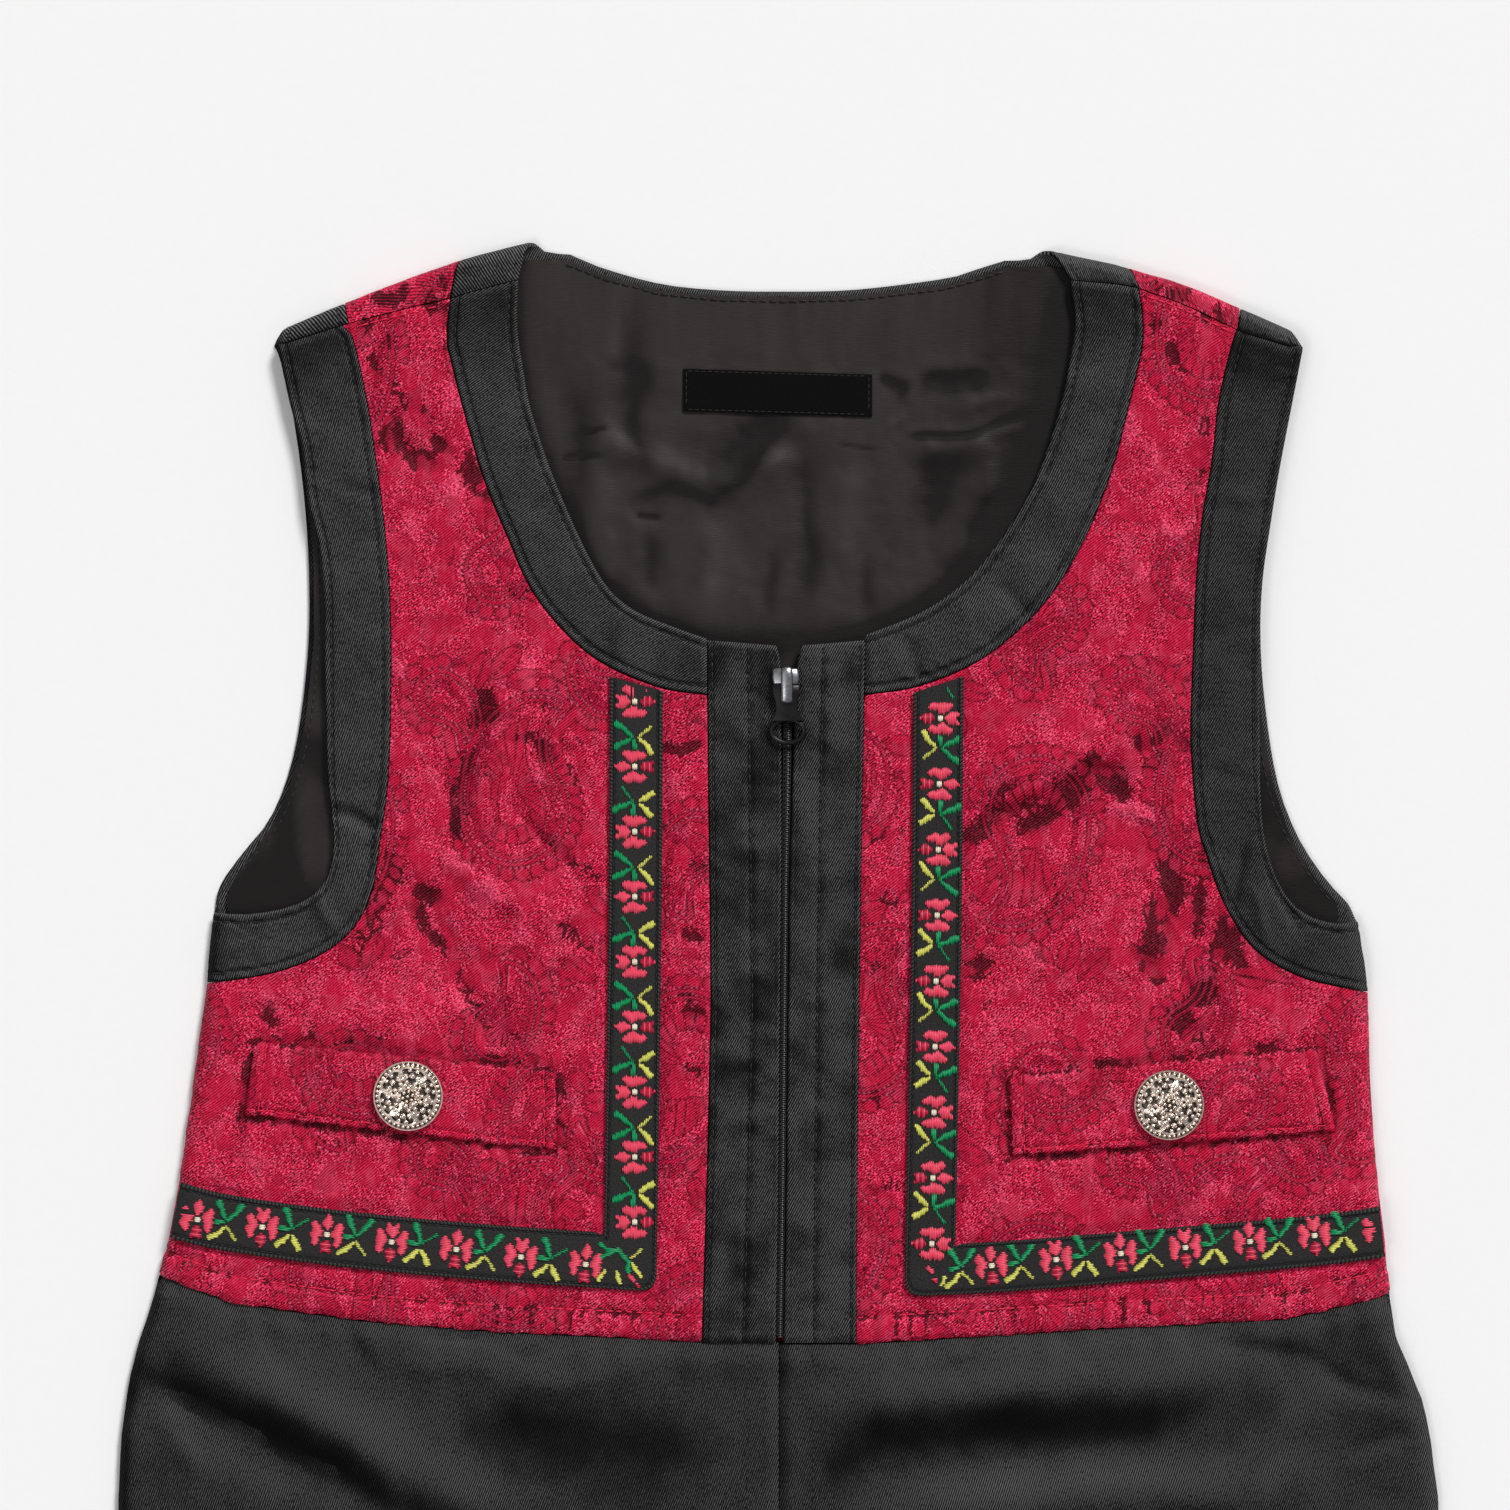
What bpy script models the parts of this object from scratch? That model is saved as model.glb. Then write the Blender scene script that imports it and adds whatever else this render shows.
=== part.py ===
"""Toddler's bunad-style festive romper, laid flat on its back.

A sleeveless brocade vest with black twill bands is joined at the waist to
black knee breeches.  It closes at the centre front with a zip between two
placket bands.  Two L-shaped flower ribbons, two false pocket flaps and two
pewter buttons lie on the fronts.

The garment lies on z = 0, face up, with its neck towards +Y.  Inside this file
a place on the garment is (x, drop) in millimetres: x to the right of the zip,
drop downwards from the top of the shoulders.  Lengths become metres at the end.
"""

import math
from collections import namedtuple

import bmesh
import bpy
from mathutils import Matrix, Vector

MM = 0.001

# ---------------------------------------------------------------- main sizes
LENGTH = 580.0            # shoulder to trouser hem
CLOTH = 1.0               # wall of every cloth piece
SEAM = 0.3                # gap between two pieces that are sewn together
LAY = 0.3                 # gap under what is sewn on top of a piece
BODY_HEIGHT = 5.2         # outer face of the front above the table
PLACKET_RISE = 0.5        # the bands beside the zip are this much thicker
LOWEST_FRONT = 4.5        # troughs stop here
LINING_HEIGHT = 2.3       # outer face of the back lining
FRONT_ROLL = 4.5          # width of the roll where the front turns to its side
FRONT_RIM = 2.3           # height of the front's side edge
BACK_CURL = 2.0           # radius of the back's turned-up side edge
FOLD_DEPTH = 2.6          # half depth of the fold along the shoulders
FOLD_CLOTH = 3.4          # cloth from the flat back to the top of that fold
CROTCH = 450.0            # drop of the crotch
WAIST = 266.3             # drop of the waist seam at the zip
FLAP_THICK = 1.6
BUTTON_SIDES = 24

# ------------------------------------------------------------ outline tables
Row = namedtuple("Row", "drop x")


def table(*rows):
    return [Row(*row) for row in rows]


# Side seams, from the underarm to the trouser hem.
SIDE_LEFT = table((159.3, -136.6), (175.7, -137.8), (202.8, -141.5), (222.1, -144.1),
                  (241.4, -147.7), (255.9, -151.4), (265.5, -154.5), (275.2, -157.2),
                  (289.7, -159.2), (304.2, -159.8), (340.0, -160.0), (400.0, -157.0),
                  (450.0, -153.0), (520.0, -148.0), (580.0, -144.5))
SIDE_RIGHT = table((159.3, 139.0), (175.7, 142.2), (202.8, 143.0), (222.1, 144.2),
                   (241.4, 146.6), (255.9, 147.8), (265.5, 149.3), (275.2, 153.3),
                   (280.0, 155.5), (289.7, 157.4), (304.2, 159.3), (340.0, 160.0),
                   (400.0, 157.0), (450.0, 153.0), (520.0, 148.0), (580.0, 144.5))
# Inside of each leg, as a distance from the middle.
INSEAM = table((450.0, 0.3), (454.0, 2.4), (462.0, 5.6), (480.0, 9.4), (510.0, 12.8),
               (545.0, 15.6), (580.0, 18.0))
# Armholes: the back's edge, the front's edge and the seam inside the band.
BACK_ARM_LEFT = table((21.0, -119.3), (24.6, -122.4), (29.0, -120.9), (38.6, -118.3),
                      (57.9, -115.4), (77.2, -113.9), (96.6, -113.9), (115.9, -115.9),
                      (129.1, -118.8), (140.0, -123.4), (148.2, -130.0), (155.7, -135.2),
                      (162.5, -136.9))
BACK_ARM_RIGHT = table((21.5, 123.4), (24.9, 127.0), (29.0, 126.0), (38.6, 124.1),
                       (57.9, 120.0), (77.2, 117.3), (96.6, 116.6), (114.7, 118.0),
                       (131.6, 120.9), (144.4, 125.8), (154.3, 132.3), (160.3, 137.8),
                       (164.5, 140.0))
FRONT_ARM_LEFT = table((25.0, -121.2), (38.6, -118.3), (49.0, -115.6), (63.7, -113.6),
                       (73.1, -111.3), (85.2, -110.1), (111.0, -109.6), (128.9, -109.1),
                       (145.1, -107.6), (154.7, -109.6), (160.0, -115.6), (162.6, -126.3),
                       (162.5, -136.9))
FRONT_ARM_RIGHT = table((25.5, 126.6), (38.9, 124.0), (55.0, 120.9), (67.8, 118.8),
                        (81.8, 116.8), (96.6, 116.1), (118.0, 116.0), (139.8, 116.6),
                        (152.6, 119.5), (161.3, 125.0), (164.9, 133.3), (164.5, 140.0))
ARM_SEAM_LEFT = table((21.0, -105.3), (24.1, -102.8), (38.6, -99.5), (53.1, -97.3),
                      (67.6, -95.4), (86.9, -93.9), (111.0, -93.7), (130.4, -94.4),
                      (144.8, -96.3), (156.9, -98.2), (165.6, -102.4), (171.9, -109.6),
                      (176.2, -119.7), (178.2, -129.0), (179.4, -138.2))
ARM_SEAM_RIGHT = table((19.3, 111.8), (24.1, 109.6), (38.6, 106.2), (53.1, 104.5),
                       (67.6, 102.1), (82.1, 100.7), (101.4, 99.9), (120.7, 99.4),
                       (140.0, 100.9), (148.2, 103.1), (160.0, 107.4), (170.9, 114.5),
                       (177.4, 124.8), (180.1, 134.5), (181.6, 142.4))
# Neck: the front's edge and the seam inside its band, then the same on the back.
NECK_EDGE_LEFT = table((9.4, -63.0), (20.5, -63.3), (31.0, -61.8), (42.0, -59.6),
                       (59.4, -53.6), (79.9, -44.0), (88.6, -36.2), (93.9, -24.1),
                       (96.2, -17.4))
NECK_EDGE_RIGHT = table((11.8, 70.2), (20.5, 71.3), (33.6, 69.3), (46.3, 66.1),
                        (59.4, 61.3), (71.2, 54.3), (81.8, 45.6), (89.6, 34.8),
                        (95.4, 20.8))
NECK_SEAM_LEFT = table((4.3, -77.0), (14.5, -79.4), (24.1, -80.2), (29.0, -79.2),
                       (38.6, -76.8), (53.1, -72.7), (62.8, -69.3), (72.4, -65.2),
                       (82.1, -61.0), (91.7, -54.4), (101.4, -43.8), (107.9, -29.0),
                       (109.8, -17.4))
NECK_SEAM_RIGHT = table((5.3, 85.0), (14.0, 87.2), (24.1, 87.8), (33.8, 85.9),
                        (43.5, 83.5), (53.1, 81.1), (62.8, 77.7), (72.4, 73.6),
                        (82.1, 68.1), (91.7, 60.4), (101.4, 48.5), (107.6, 34.0),
                        (109.8, 20.8))
BACK_NECK_EDGE = table((3.9, -50.5), (7.0, -43.2), (10.9, -28.7), (12.4, -14.0),
                       (12.7, 0.2), (12.3, 18.3), (9.7, 40.1), (7.7, 47.3), (5.4, 54.6))
BACK_NECK_SEAM = table((9.6, -73.5), (17.5, -62.0), (23.4, -46.0), (27.6, -22.0),
                       (28.8, 0.2), (28.2, 22.0), (24.8, 46.0), (19.0, 66.0),
                       (11.4, 80.5))
# The fold along the shoulders, and how far below it the shoulder seam lies.
SHOULDER = table((21.0, -119.3), (16.4, -108.4), (12.1, -97.5), (8.0, -86.7),
                 (4.3, -75.8), (1.4, -64.9), (0.0, -59.0), (1.9, 63.5), (3.9, 72.7),
                 (5.6, 81.0), (7.4, 87.1), (9.4, 94.4), (12.0, 101.6), (15.2, 108.9),
                 (18.3, 116.1), (21.5, 123.4))
SeamDepth = namedtuple("SeamDepth", "x depth")
SHOULDER_SEAM = [SeamDepth(*row) for row in (
    (-119.0, 4.0), (-104.0, 5.5), (-79.0, 8.6), (-60.0, 8.6),
    (70.0, 6.3), (86.0, 4.3), (112.0, 5.8), (124.0, 4.2))]
# Bottom of the vest, and the closed line of the zip.
HEM_LEFT = table((250.1, -149.4), (256.6, -131.6), (261.0, -99.2), (263.6, -66.9),
                 (265.1, -34.5), (266.0, -18.6))
HEM_RIGHT = table((254.6, 147.8), (260.5, 122.4), (262.2, 87.9), (264.3, 53.1),
                  (266.4, 18.7))
ZIP_LINE = table((96.0, 2.4), (108.6, 2.2), (159.3, 1.4), (229.3, 0.7), (266.5, 0.1),
                 (600.0, 0.0))
# Outer edges of the bands beside the zip, and half the gap between them.
PLACKET_LEFT = table((95.5, -17.4), (135.0, -17.0), (183.5, -16.4), (220.0, -17.2),
                     (266.5, -18.6))
PLACKET_RIGHT = table((95.0, 20.8), (135.2, 20.0), (190.0, 19.2), (246.2, 18.6),
                      (266.5, 18.6))
PLACKET_GAP = table((97.4, 2.9), (100.5, 2.2), (104.0, 1.65), (112.0, 1.6), (130.0, 1.3),
                    (149.0, 0.95), (266.5, 0.9))
# Ribbons: the outer edge goes down beside the zip and turns out to the side.
RIBBON_LEFT_DOWN = table((107.0, -28.0), (160.0, -28.3), (215.0, -29.0), (253.8, -29.6))
RIBBON_LEFT_OUT = table((253.8, -29.6), (251.3, -67.4), (248.0, -103.6), (243.9, -133.7),
                        (240.6, -147.6))
RIBBON_RIGHT_DOWN = table((107.0, 32.4), (160.0, 32.0), (215.0, 31.0), (255.0, 30.2))
RIBBON_RIGHT_OUT = table((255.0, 30.2), (253.7, 55.8), (250.8, 92.0), (247.7, 128.2),
                         (245.4, 147.0))
# Widths as they lie, beside the zip and out to the side.
RIBBON_WIDTH = {"left": (12.8, 13.5), "right": (12.1, 12.2)}

# ------------------------------------------------- folds of the laid-out cloth
# Each fold runs from one place to another; rise is above the cloth around it
# (negative for a trough) and spread is how far it reaches to either side.
Fold = namedtuple("Fold", "x drop to_x to_drop rise spread")
FRONT_FOLDS = [Fold(*row) for row in (
    (-64.0, 108.0, -72.0, 143.0, 1.8, 5.0),
    (-72.5, 112.0, -81.0, 143.0, -1.0, 4.0),
    (-78.0, 148.0, -54.0, 165.0, 1.3, 5.0),
    (-66.0, 138.0, -54.0, 150.0, -0.6, 4.5),
    (-90.0, 158.0, -67.0, 191.0, -1.0, 5.0),
    (-94.0, 44.0, -80.0, 55.0, -0.9, 6.0),
    (54.0, 135.0, 78.0, 121.0, 2.0, 5.5),
    (78.0, 121.0, 96.0, 112.0, 1.6, 5.5),
    (56.0, 147.0, 84.0, 136.0, -0.7, 5.0),
    (90.0, 148.0, 102.0, 174.0, -1.0, 7.0),
    (60.0, 189.0, 96.0, 176.0, -0.8, 6.0),
    (-112.0, 186.0, -80.0, 189.0, 0.9, 7.0),
    (-156.0, 277.0, -96.0, 306.0, -0.9, 8.0),
    (-134.0, 272.0, -72.0, 305.0, 2.0, 8.0),
    (-76.0, 301.0, -32.0, 287.0, -0.9, 11.0),
    (12.0, 281.0, 104.0, 274.0, 1.6, 8.0),
    (6.0, 297.0, 92.0, 288.0, -0.9, 9.0),
    (30.0, 309.0, 118.0, 302.0, 1.8, 8.0),
    (106.0, 266.0, 150.0, 277.0, -0.8, 7.0),
    (-18.0, 442.0, -78.0, 404.0, 1.8, 10.0),
    (18.0, 440.0, 84.0, 410.0, 1.6, 10.0),
    (-120.0, 372.0, -60.0, 352.0, 1.2, 12.0),
    (60.0, 350.0, 128.0, 378.0, 1.4, 12.0),
    (-132.0, 476.0, -64.0, 508.0, 1.5, 10.0),
    (52.0, 520.0, 128.0, 486.0, 1.4, 10.0))]
LINING_FOLDS = [Fold(*row) for row in (
    (-42.0, 49.0, -16.0, 60.0, 1.0, 4.0),
    (-16.0, 60.0, 1.0, 53.0, 1.2, 4.0),
    (34.0, 52.0, 50.0, 49.0, 1.0, 4.0))]

# ------------------------------------------------------------ zip slider sizes
SLIDER_TOP = 103.6        # drop of the slider's upper end
SLIDER_X = 1.9
SLIDER_PLATE_LENGTH = 8.0
SLIDER_PLATE_WIDTH = 6.4
SLIDER_FOOT_WIDTH = 4.6
SLIDER_PLATE = (6.0, 6.9)             # bottom and top heights
KEEL = (1.8, 6.6, 5.1)                # width, length, bottom height
BRIDGE_WIDTH = 2.8
BRIDGE_LENGTH = 8.6
BRIDGE_TOP = 9.8
BRIDGE_WALL = 0.8
PULL_AXIS_DROP = 109.4
PULL_AXIS_HEIGHT = 8.1
PULL_TILT = math.radians(6.5)         # from level down to its resting place
PULL_THICK = 1.2
PULL_ARM_OUTSIDE = 2.9
PULL_ARM_INSIDE = 1.8
PULL_WINDOW = 4.2                     # axis to the end of the window
PULL_NECK_HALF = 2.1
PULL_RING_CENTRE = 8.9
PULL_RING = (4.45, 3.6)               # half width and half length
PULL_RING_HOLE = (3.05, 2.3)
PULL_BAR_RADIUS = 0.6

# -------------------------------------------------------------------- colours
Finish = namedtuple("Finish", "colour roughness metallic")
BROCADE = Finish((0.44, 0.013, 0.055), 0.55, 0.0)
TWILL = Finish((0.026, 0.029, 0.029), 0.7, 0.0)
SATIN = Finish((0.038, 0.032, 0.032), 0.4, 0.0)
RIBBON = Finish((0.022, 0.020, 0.020), 0.6, 0.0)
PEWTER = Finish((0.55, 0.50, 0.47), 0.3, 1.0)
NYLON = Finish((0.02, 0.02, 0.02), 0.4, 0.0)
STEEL = Finish((0.42, 0.42, 0.43), 0.35, 1.0)
BLACK_METAL = Finish((0.015, 0.015, 0.016), 0.35, 0.6)


# ------------------------------------------------------------ curves and rows
def interpolate(rows, drop):
    """x of an outline at one drop, by straight runs, held beyond its ends."""
    if drop <= rows[0].drop:
        return rows[0].x
    for upper, lower in zip(rows, rows[1:]):
        if drop <= lower.drop:
            part = (drop - upper.drop) / (lower.drop - upper.drop)
            return upper.x + part * (lower.x - upper.x)
    return rows[-1].x


def across(rows, x, key):
    """Value of a table that is ordered by x, held beyond its ends."""
    if x <= rows[0].x:
        return getattr(rows[0], key)
    for first, second in zip(rows, rows[1:]):
        if x <= second.x:
            part = (x - first.x) / (second.x - first.x)
            return getattr(first, key) + part * (getattr(second, key) - getattr(first, key))
    return getattr(rows[-1], key)


def dense(rows, steps=8):
    """A smooth Catmull-Rom line through the rows, as Vectors (x, drop)."""
    points = [Vector((row.x, row.drop)) for row in rows]
    ends = [2 * points[0] - points[1]] + points + [2 * points[-1] - points[-2]]
    line = []
    for a, b, c, d in zip(ends, ends[1:], ends[2:], ends[3:]):
        for step in range(steps):
            t = step / steps
            line.append(0.5 * (2 * b + (c - a) * t + (2 * a - 5 * b + 4 * c - d) * t * t
                               + (3 * b - a - 3 * c + d) * t ** 3))
    return line + [points[-1]]


def lengths(line):
    total = [0.0]
    for a, b in zip(line, line[1:]):
        total.append(total[-1] + (b - a).length)
    return total


def pick(line, fractions):
    """Points at the given fractions of a line's length."""
    total = lengths(line)
    picked = []
    for fraction in fractions:
        want = min(max(fraction, 0.0), 1.0) * total[-1]
        index = max(k for k in range(len(line) - 1) if total[k] <= want + 1e-9)
        run = total[index + 1] - total[index]
        part = (want - total[index]) / run if run else 0.0
        picked.append(line[index].lerp(line[index + 1], min(part, 1.0)))
    return picked


def shift(line, distance):
    """The line moved sideways, to the left of its direction for positive."""
    moved = []
    for index, point in enumerate(line):
        before, after = line[max(index - 1, 0)], line[min(index + 1, len(line) - 1)]
        along = (after - before).normalized()
        moved.append(point + Vector((along.y, -along.x)) * distance)
    return moved


def below(line, drop_at):
    """The part of a line that starts at or under drop_at(x), cut cleanly there."""
    for index, point in enumerate(line):
        if point.y >= drop_at(point.x):
            start = point.copy()
            if index:
                start = line[index - 1].lerp(point, 0.5)
            start.y = drop_at(start.x)
            return [start] + line[index:]
    return line


def even(count):
    return [index / count for index in range(count + 1)]


def run_out(line, count, tail):
    """Even fractions, then closer ones at the tail distances (mm) before the end."""
    total = lengths(line)[-1]
    last = 1.0 - tail[0] / total
    return [last * part for part in even(count)] + [1.0 - mm / total for mm in tail[1:]]


def rule(first, second, columns):
    """Rows of points between two lines that have equally many points."""
    return [[a.lerp(b, column) for column in columns] for a, b in zip(first, second)]


# ------------------------------------------------------- surfaces of the cloth
def smoothstep(low, high, value):
    part = min(max((value - low) / (high - low), 0.0), 1.0)
    return part * part * (3 - 2 * part)


def fold_rise(folds, x, drop):
    """Sum of the folds at one place, each fading towards its ends."""
    rise = 0.0
    for fold in folds:
        run = Vector((fold.to_x - fold.x, fold.to_drop - fold.drop))
        place = Vector((x - fold.x, drop - fold.drop))
        along = place.dot(run) / run.length_squared
        if -0.25 < along < 1.25:
            away = (place - run * along).length
            fade = smoothstep(-0.25, 0.2, along) * smoothstep(1.25, 0.8, along)
            rise += fold.rise * fade * math.exp(-(away / fold.spread) ** 2)
    return rise


def front_height(x, drop):
    """Height of the front's outer face, before it rolls down at its sides."""
    middle = x - interpolate(ZIP_LINE, drop)
    placket = PLACKET_RISE * smoothstep(34.0, 18.0, abs(middle)) * smoothstep(280.0, 262.0, drop)
    folds = fold_rise(FRONT_FOLDS, x, drop) * smoothstep(14.0, 26.0, abs(middle))
    return max(BODY_HEIGHT + placket + folds, LOWEST_FRONT)


def side_gap(x, drop):
    """Distance in from the side seam or the inseam, its direction and its strength."""
    side = interpolate(SIDE_LEFT if x < 0 else SIDE_RIGHT, drop)
    gap, inward, strength = abs(side - x), (1.0 if x < 0 else -1.0), 1.0
    if abs(x) > abs(side):
        gap = 0.0
    if drop > CROTCH - 4:
        inner = abs(x) - interpolate(INSEAM, drop)
        if inner < gap:
            gap, inward = max(inner, 0.0), -inward
            strength = smoothstep(CROTCH - 4, CROTCH + 14, drop)
    return gap, inward, strength


def front_surface(place):
    """Point and outward direction on the front's outer face."""
    x, drop = place
    gap, inward, strength = side_gap(x, drop)
    height = front_height(x, drop)
    slope_x = (front_height(x + 0.5, drop) - front_height(x - 0.5, drop))
    slope_drop = (front_height(x, drop + 0.5) - front_height(x, drop - 0.5))
    sine = max(1.0 - gap / FRONT_ROLL, 0.0)
    cosine = math.sqrt(1.0 - sine * sine)
    deep = (height - FRONT_RIM) * strength
    point = Vector((x, -drop, height - deep * (1.0 - cosine)))
    rolled = Vector((-inward * deep * sine / FRONT_ROLL, 0.0, 1.0 - strength * (1.0 - cosine)))
    normal = rolled + Vector((-slope_x, slope_drop, 0.0)) * cosine
    return point, normal.normalized()


def fold_line(x):
    return across(SHOULDER, x, "drop")


def seam_line(x):
    return fold_line(x) + across(SHOULDER_SEAM, x, "depth")


def over(x, drop):
    """Unfolded drop of back cloth that has come over the shoulder to this drop."""
    fold = fold_line(x)
    return fold - FOLD_CLOTH - (drop - fold - FOLD_DEPTH)


def back_surface(place):
    """Point and outward direction on the back; small drops go over the shoulder."""
    x, drop = place
    fold = fold_line(x)
    past = fold - drop
    if past > -FOLD_CLOTH:
        half = front_height(x, fold + FOLD_DEPTH) / 2
        turn = min((past + FOLD_CLOTH) / (2 * FOLD_CLOTH), 1.0) * math.pi
        if past > FOLD_CLOTH:
            here = fold + FOLD_DEPTH + past - FOLD_CLOTH
            return Vector((x, -here, front_height(x, here))), Vector((0, 0, 1))
        point = Vector((x, -(fold + FOLD_DEPTH - FOLD_DEPTH * math.sin(turn)),
                        half * (1 - math.cos(turn))))
        return point, Vector((0.0, math.sin(turn), -math.cos(turn)))
    if drop < fold + 30:
        drop = drop + (FOLD_DEPTH - FOLD_CLOTH) * smoothstep(30.0, FOLD_CLOTH, -past)
    gap, inward, strength = side_gap(x, drop)
    if drop < CROTCH - 4:
        strength = smoothstep(159.0, 166.0, drop)
    sine = max(1.0 - gap / BACK_CURL, 0.0) * strength
    cosine = math.sqrt(1.0 - sine * sine)
    point = Vector((x, -drop, BACK_CURL * (1.0 - cosine)))
    return point, Vector((-inward * sine, 0.0, -cosine)).normalized()


def lining_surface(place):
    """Point and inward direction on the lining's face."""
    x, drop = place
    rise = fold_rise(LINING_FOLDS, x, drop) * smoothstep(97.0, 84.0, drop)
    return Vector((x, -drop, LINING_HEIGHT + rise)), Vector((0, 0, 1))


# -------------------------------------------------------------- making solids
def material(name, finish):
    found = bpy.data.materials.get(name)
    if found is None:
        found = bpy.data.materials.new(name)
        found.use_nodes = True
        shader = found.node_tree.nodes["Principled BSDF"]
        shader.inputs["Base Color"].default_value = (*finish.colour, 1.0)
        shader.inputs["Roughness"].default_value = finish.roughness
        shader.inputs["Metallic"].default_value = finish.metallic
    return found


def add_object(name, mesh_data, finish, smooth=True):
    """Turn a bmesh in garment millimetres into a named object in metres."""
    bmesh.ops.recalc_face_normals(mesh_data, faces=mesh_data.faces)
    mesh = bpy.data.meshes.new(name)
    mesh_data.to_mesh(mesh)
    mesh_data.free()
    mesh.materials.append(material(name + "_finish", finish))
    if smooth:
        mesh.shade_smooth()
        mesh.set_sharp_from_angle(angle=math.radians(40))
    item = bpy.data.objects.new(name, mesh)
    bpy.context.scene.collection.objects.link(item)
    return item


def to_world(point):
    return Vector((point.x, point.y + LENGTH / 2, point.z)) * MM


def cloth(name, rows, surface, high, low, finish):
    """A closed wall over a grid of places; None leaves a hole in the grid."""
    mesh = bmesh.new()
    outer, inner = {}, {}
    for j, row in enumerate(rows):
        for i, place in enumerate(row):
            if place is not None:
                point, normal = surface(place)
                outer[i, j] = mesh.verts.new(to_world(point + normal * high))
                inner[i, j] = mesh.verts.new(to_world(point + normal * low))
    edges = {}
    for i, j in outer:
        corners = [(i, j), (i + 1, j), (i + 1, j + 1), (i, j + 1)]
        if all(corner in outer for corner in corners):
            mesh.faces.new([outer[corner] for corner in corners])
            mesh.faces.new([inner[corner] for corner in reversed(corners)])
            for start, end in zip(corners, corners[1:] + corners[:1]):
                if (end, start) in edges:
                    del edges[end, start]
                else:
                    edges[start, end] = True
    for start, end in edges:
        mesh.faces.new([outer[end], outer[start], inner[start], inner[end]])
    return add_object(name, mesh, finish)


# ------------------------------------------------------------ pieces of cloth
ROLL_IN = [FRONT_ROLL * (1 - math.sin(math.radians(angle))) for angle in (0, 30, 60, 90)]
CURL_IN = [BACK_CURL * (1 - math.sin(math.radians(angle))) for angle in (0, 35, 90)]
ARM_STEPS = 17
NECK_STEPS = 12


def side_columns(width, roll, count):
    """Fractions across a panel that starts at its side, closer inside the roll."""
    near = [mm / width for mm in reversed(roll)]
    return near + [near[-1] + (1 - near[-1]) * part for part in even(count)[1:]]


def under_seam(x):
    return seam_line(x) + SEAM / 2


def seam_points(rows, top, steps, tail=None):
    """The points that the two pieces along a seam share, before their gap."""
    line = below(dense(rows), top)
    return pick(line, run_out(line, steps, tail) if tail else even(steps))


def to_side(line, side):
    """Put a line's last point on the side seam."""
    line[-1] = Vector((interpolate(side, line[-1].y), line[-1].y))
    return line


def front_bodice(name, side, arm_seam, neck_seam, placket, hem, sign):
    """Vest front: armhole seam and side on one hand, neck seam and band on the other."""
    arm = seam_points(arm_seam, under_seam, ARM_STEPS, ROLL_IN)
    arm = to_side(shift(arm, sign * SEAM / 2), side)
    neck = shift(seam_points(neck_seam, under_seam, NECK_STEPS), -sign * SEAM / 2)
    neck[-1] = Vector((placket[0].x - sign * SEAM, neck_seam[-1].drop + SEAM / 2))
    turn = 196.0
    steps = len(arm) - len(neck)
    level = [neck[-1].y + (turn - neck[-1].y) * part ** 0.7 for part in even(steps)[1:]]
    level += [turn + (hem[-1].drop - turn) * part for part in even(6)[1:]]
    inside = neck + [Vector((interpolate(placket, drop) - sign * SEAM, drop)) for drop in level]
    under = [arm[-1].y + (hem[0].drop - arm[-1].y) * part for part in even(6)[1:]]
    outside = arm + [Vector((interpolate(side, drop), drop)) for drop in under]
    rows = rule(outside, inside, side_columns(120.0, ROLL_IN, 7))
    for place in rows[0]:
        place.y = under_seam(place.x)
    for place in rows[-1]:
        place.y = waist_drop(hem, place.x)
    cloth(name, rows, front_surface, 0.0, -CLOTH, BROCADE)


def front_trouser(name, side, hem, sign):
    """Trouser front, from under the vest's hem to the plain trouser hem."""
    columns = side_columns(155.0, ROLL_IN, 8)
    rows = []
    for level in (0.0, 9.0, 19.0, 29.0, 39.0, 52.0, 70.0, 92.0, 116.0, 140.0, 162.0, 183.5):
        part = level / 183.5
        row = []
        for column in columns:
            drop = hem[0].drop + (CROTCH - hem[0].drop) * part
            for _ in range(3):
                x = interpolate(side, drop) * (1 - column) - sign * 0.15 * column
                drop = (1 - part) * (waist_drop(hem, x) + SEAM) + part * (CROTCH - 0.5)
            row.append(Vector((x, drop)))
        rows.append(row)
    for drop in (CROTCH + 3, CROTCH + 8, CROTCH + 16, CROTCH + 34, CROTCH + 62, CROTCH + 95,
                 LENGTH):
        inside, outside = -sign * interpolate(INSEAM, drop), interpolate(side, drop)
        columns[-2] = max(columns[-2], 1 - 0.9 * FRONT_ROLL / abs(outside - inside))
        rows.append([Vector((outside + (inside - outside) * c, drop)) for c in columns])
    cloth(name, rows, front_surface, 0.0, -CLOTH, TWILL)


def waist_drop(hem, x):
    """Drop of the waist seam at x, level across the placket bands."""
    return across(sorted(hem, key=lambda row: row.x), x, "drop")


def front_band(name, edge, seam, steps, tail, sign, side=None):
    """A front band between its free edge and its seam; an armhole's ends at the side."""
    inner = shift(seam_points(seam, under_seam, steps, tail), -sign * SEAM / 2)
    outer = seam_points(edge, under_seam, steps, tail)
    if side:
        inner, outer = to_side(inner, side), to_side(outer, side)
    rows = rule(outer, inner, even(2))
    for place in rows[0]:
        place.y = under_seam(place.x)
    cloth(name, rows, front_surface, 0.0, -CLOTH, TWILL)


OverX = namedtuple("OverX", "seam fold back")     # x where it is sewn, folded, and flat


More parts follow.
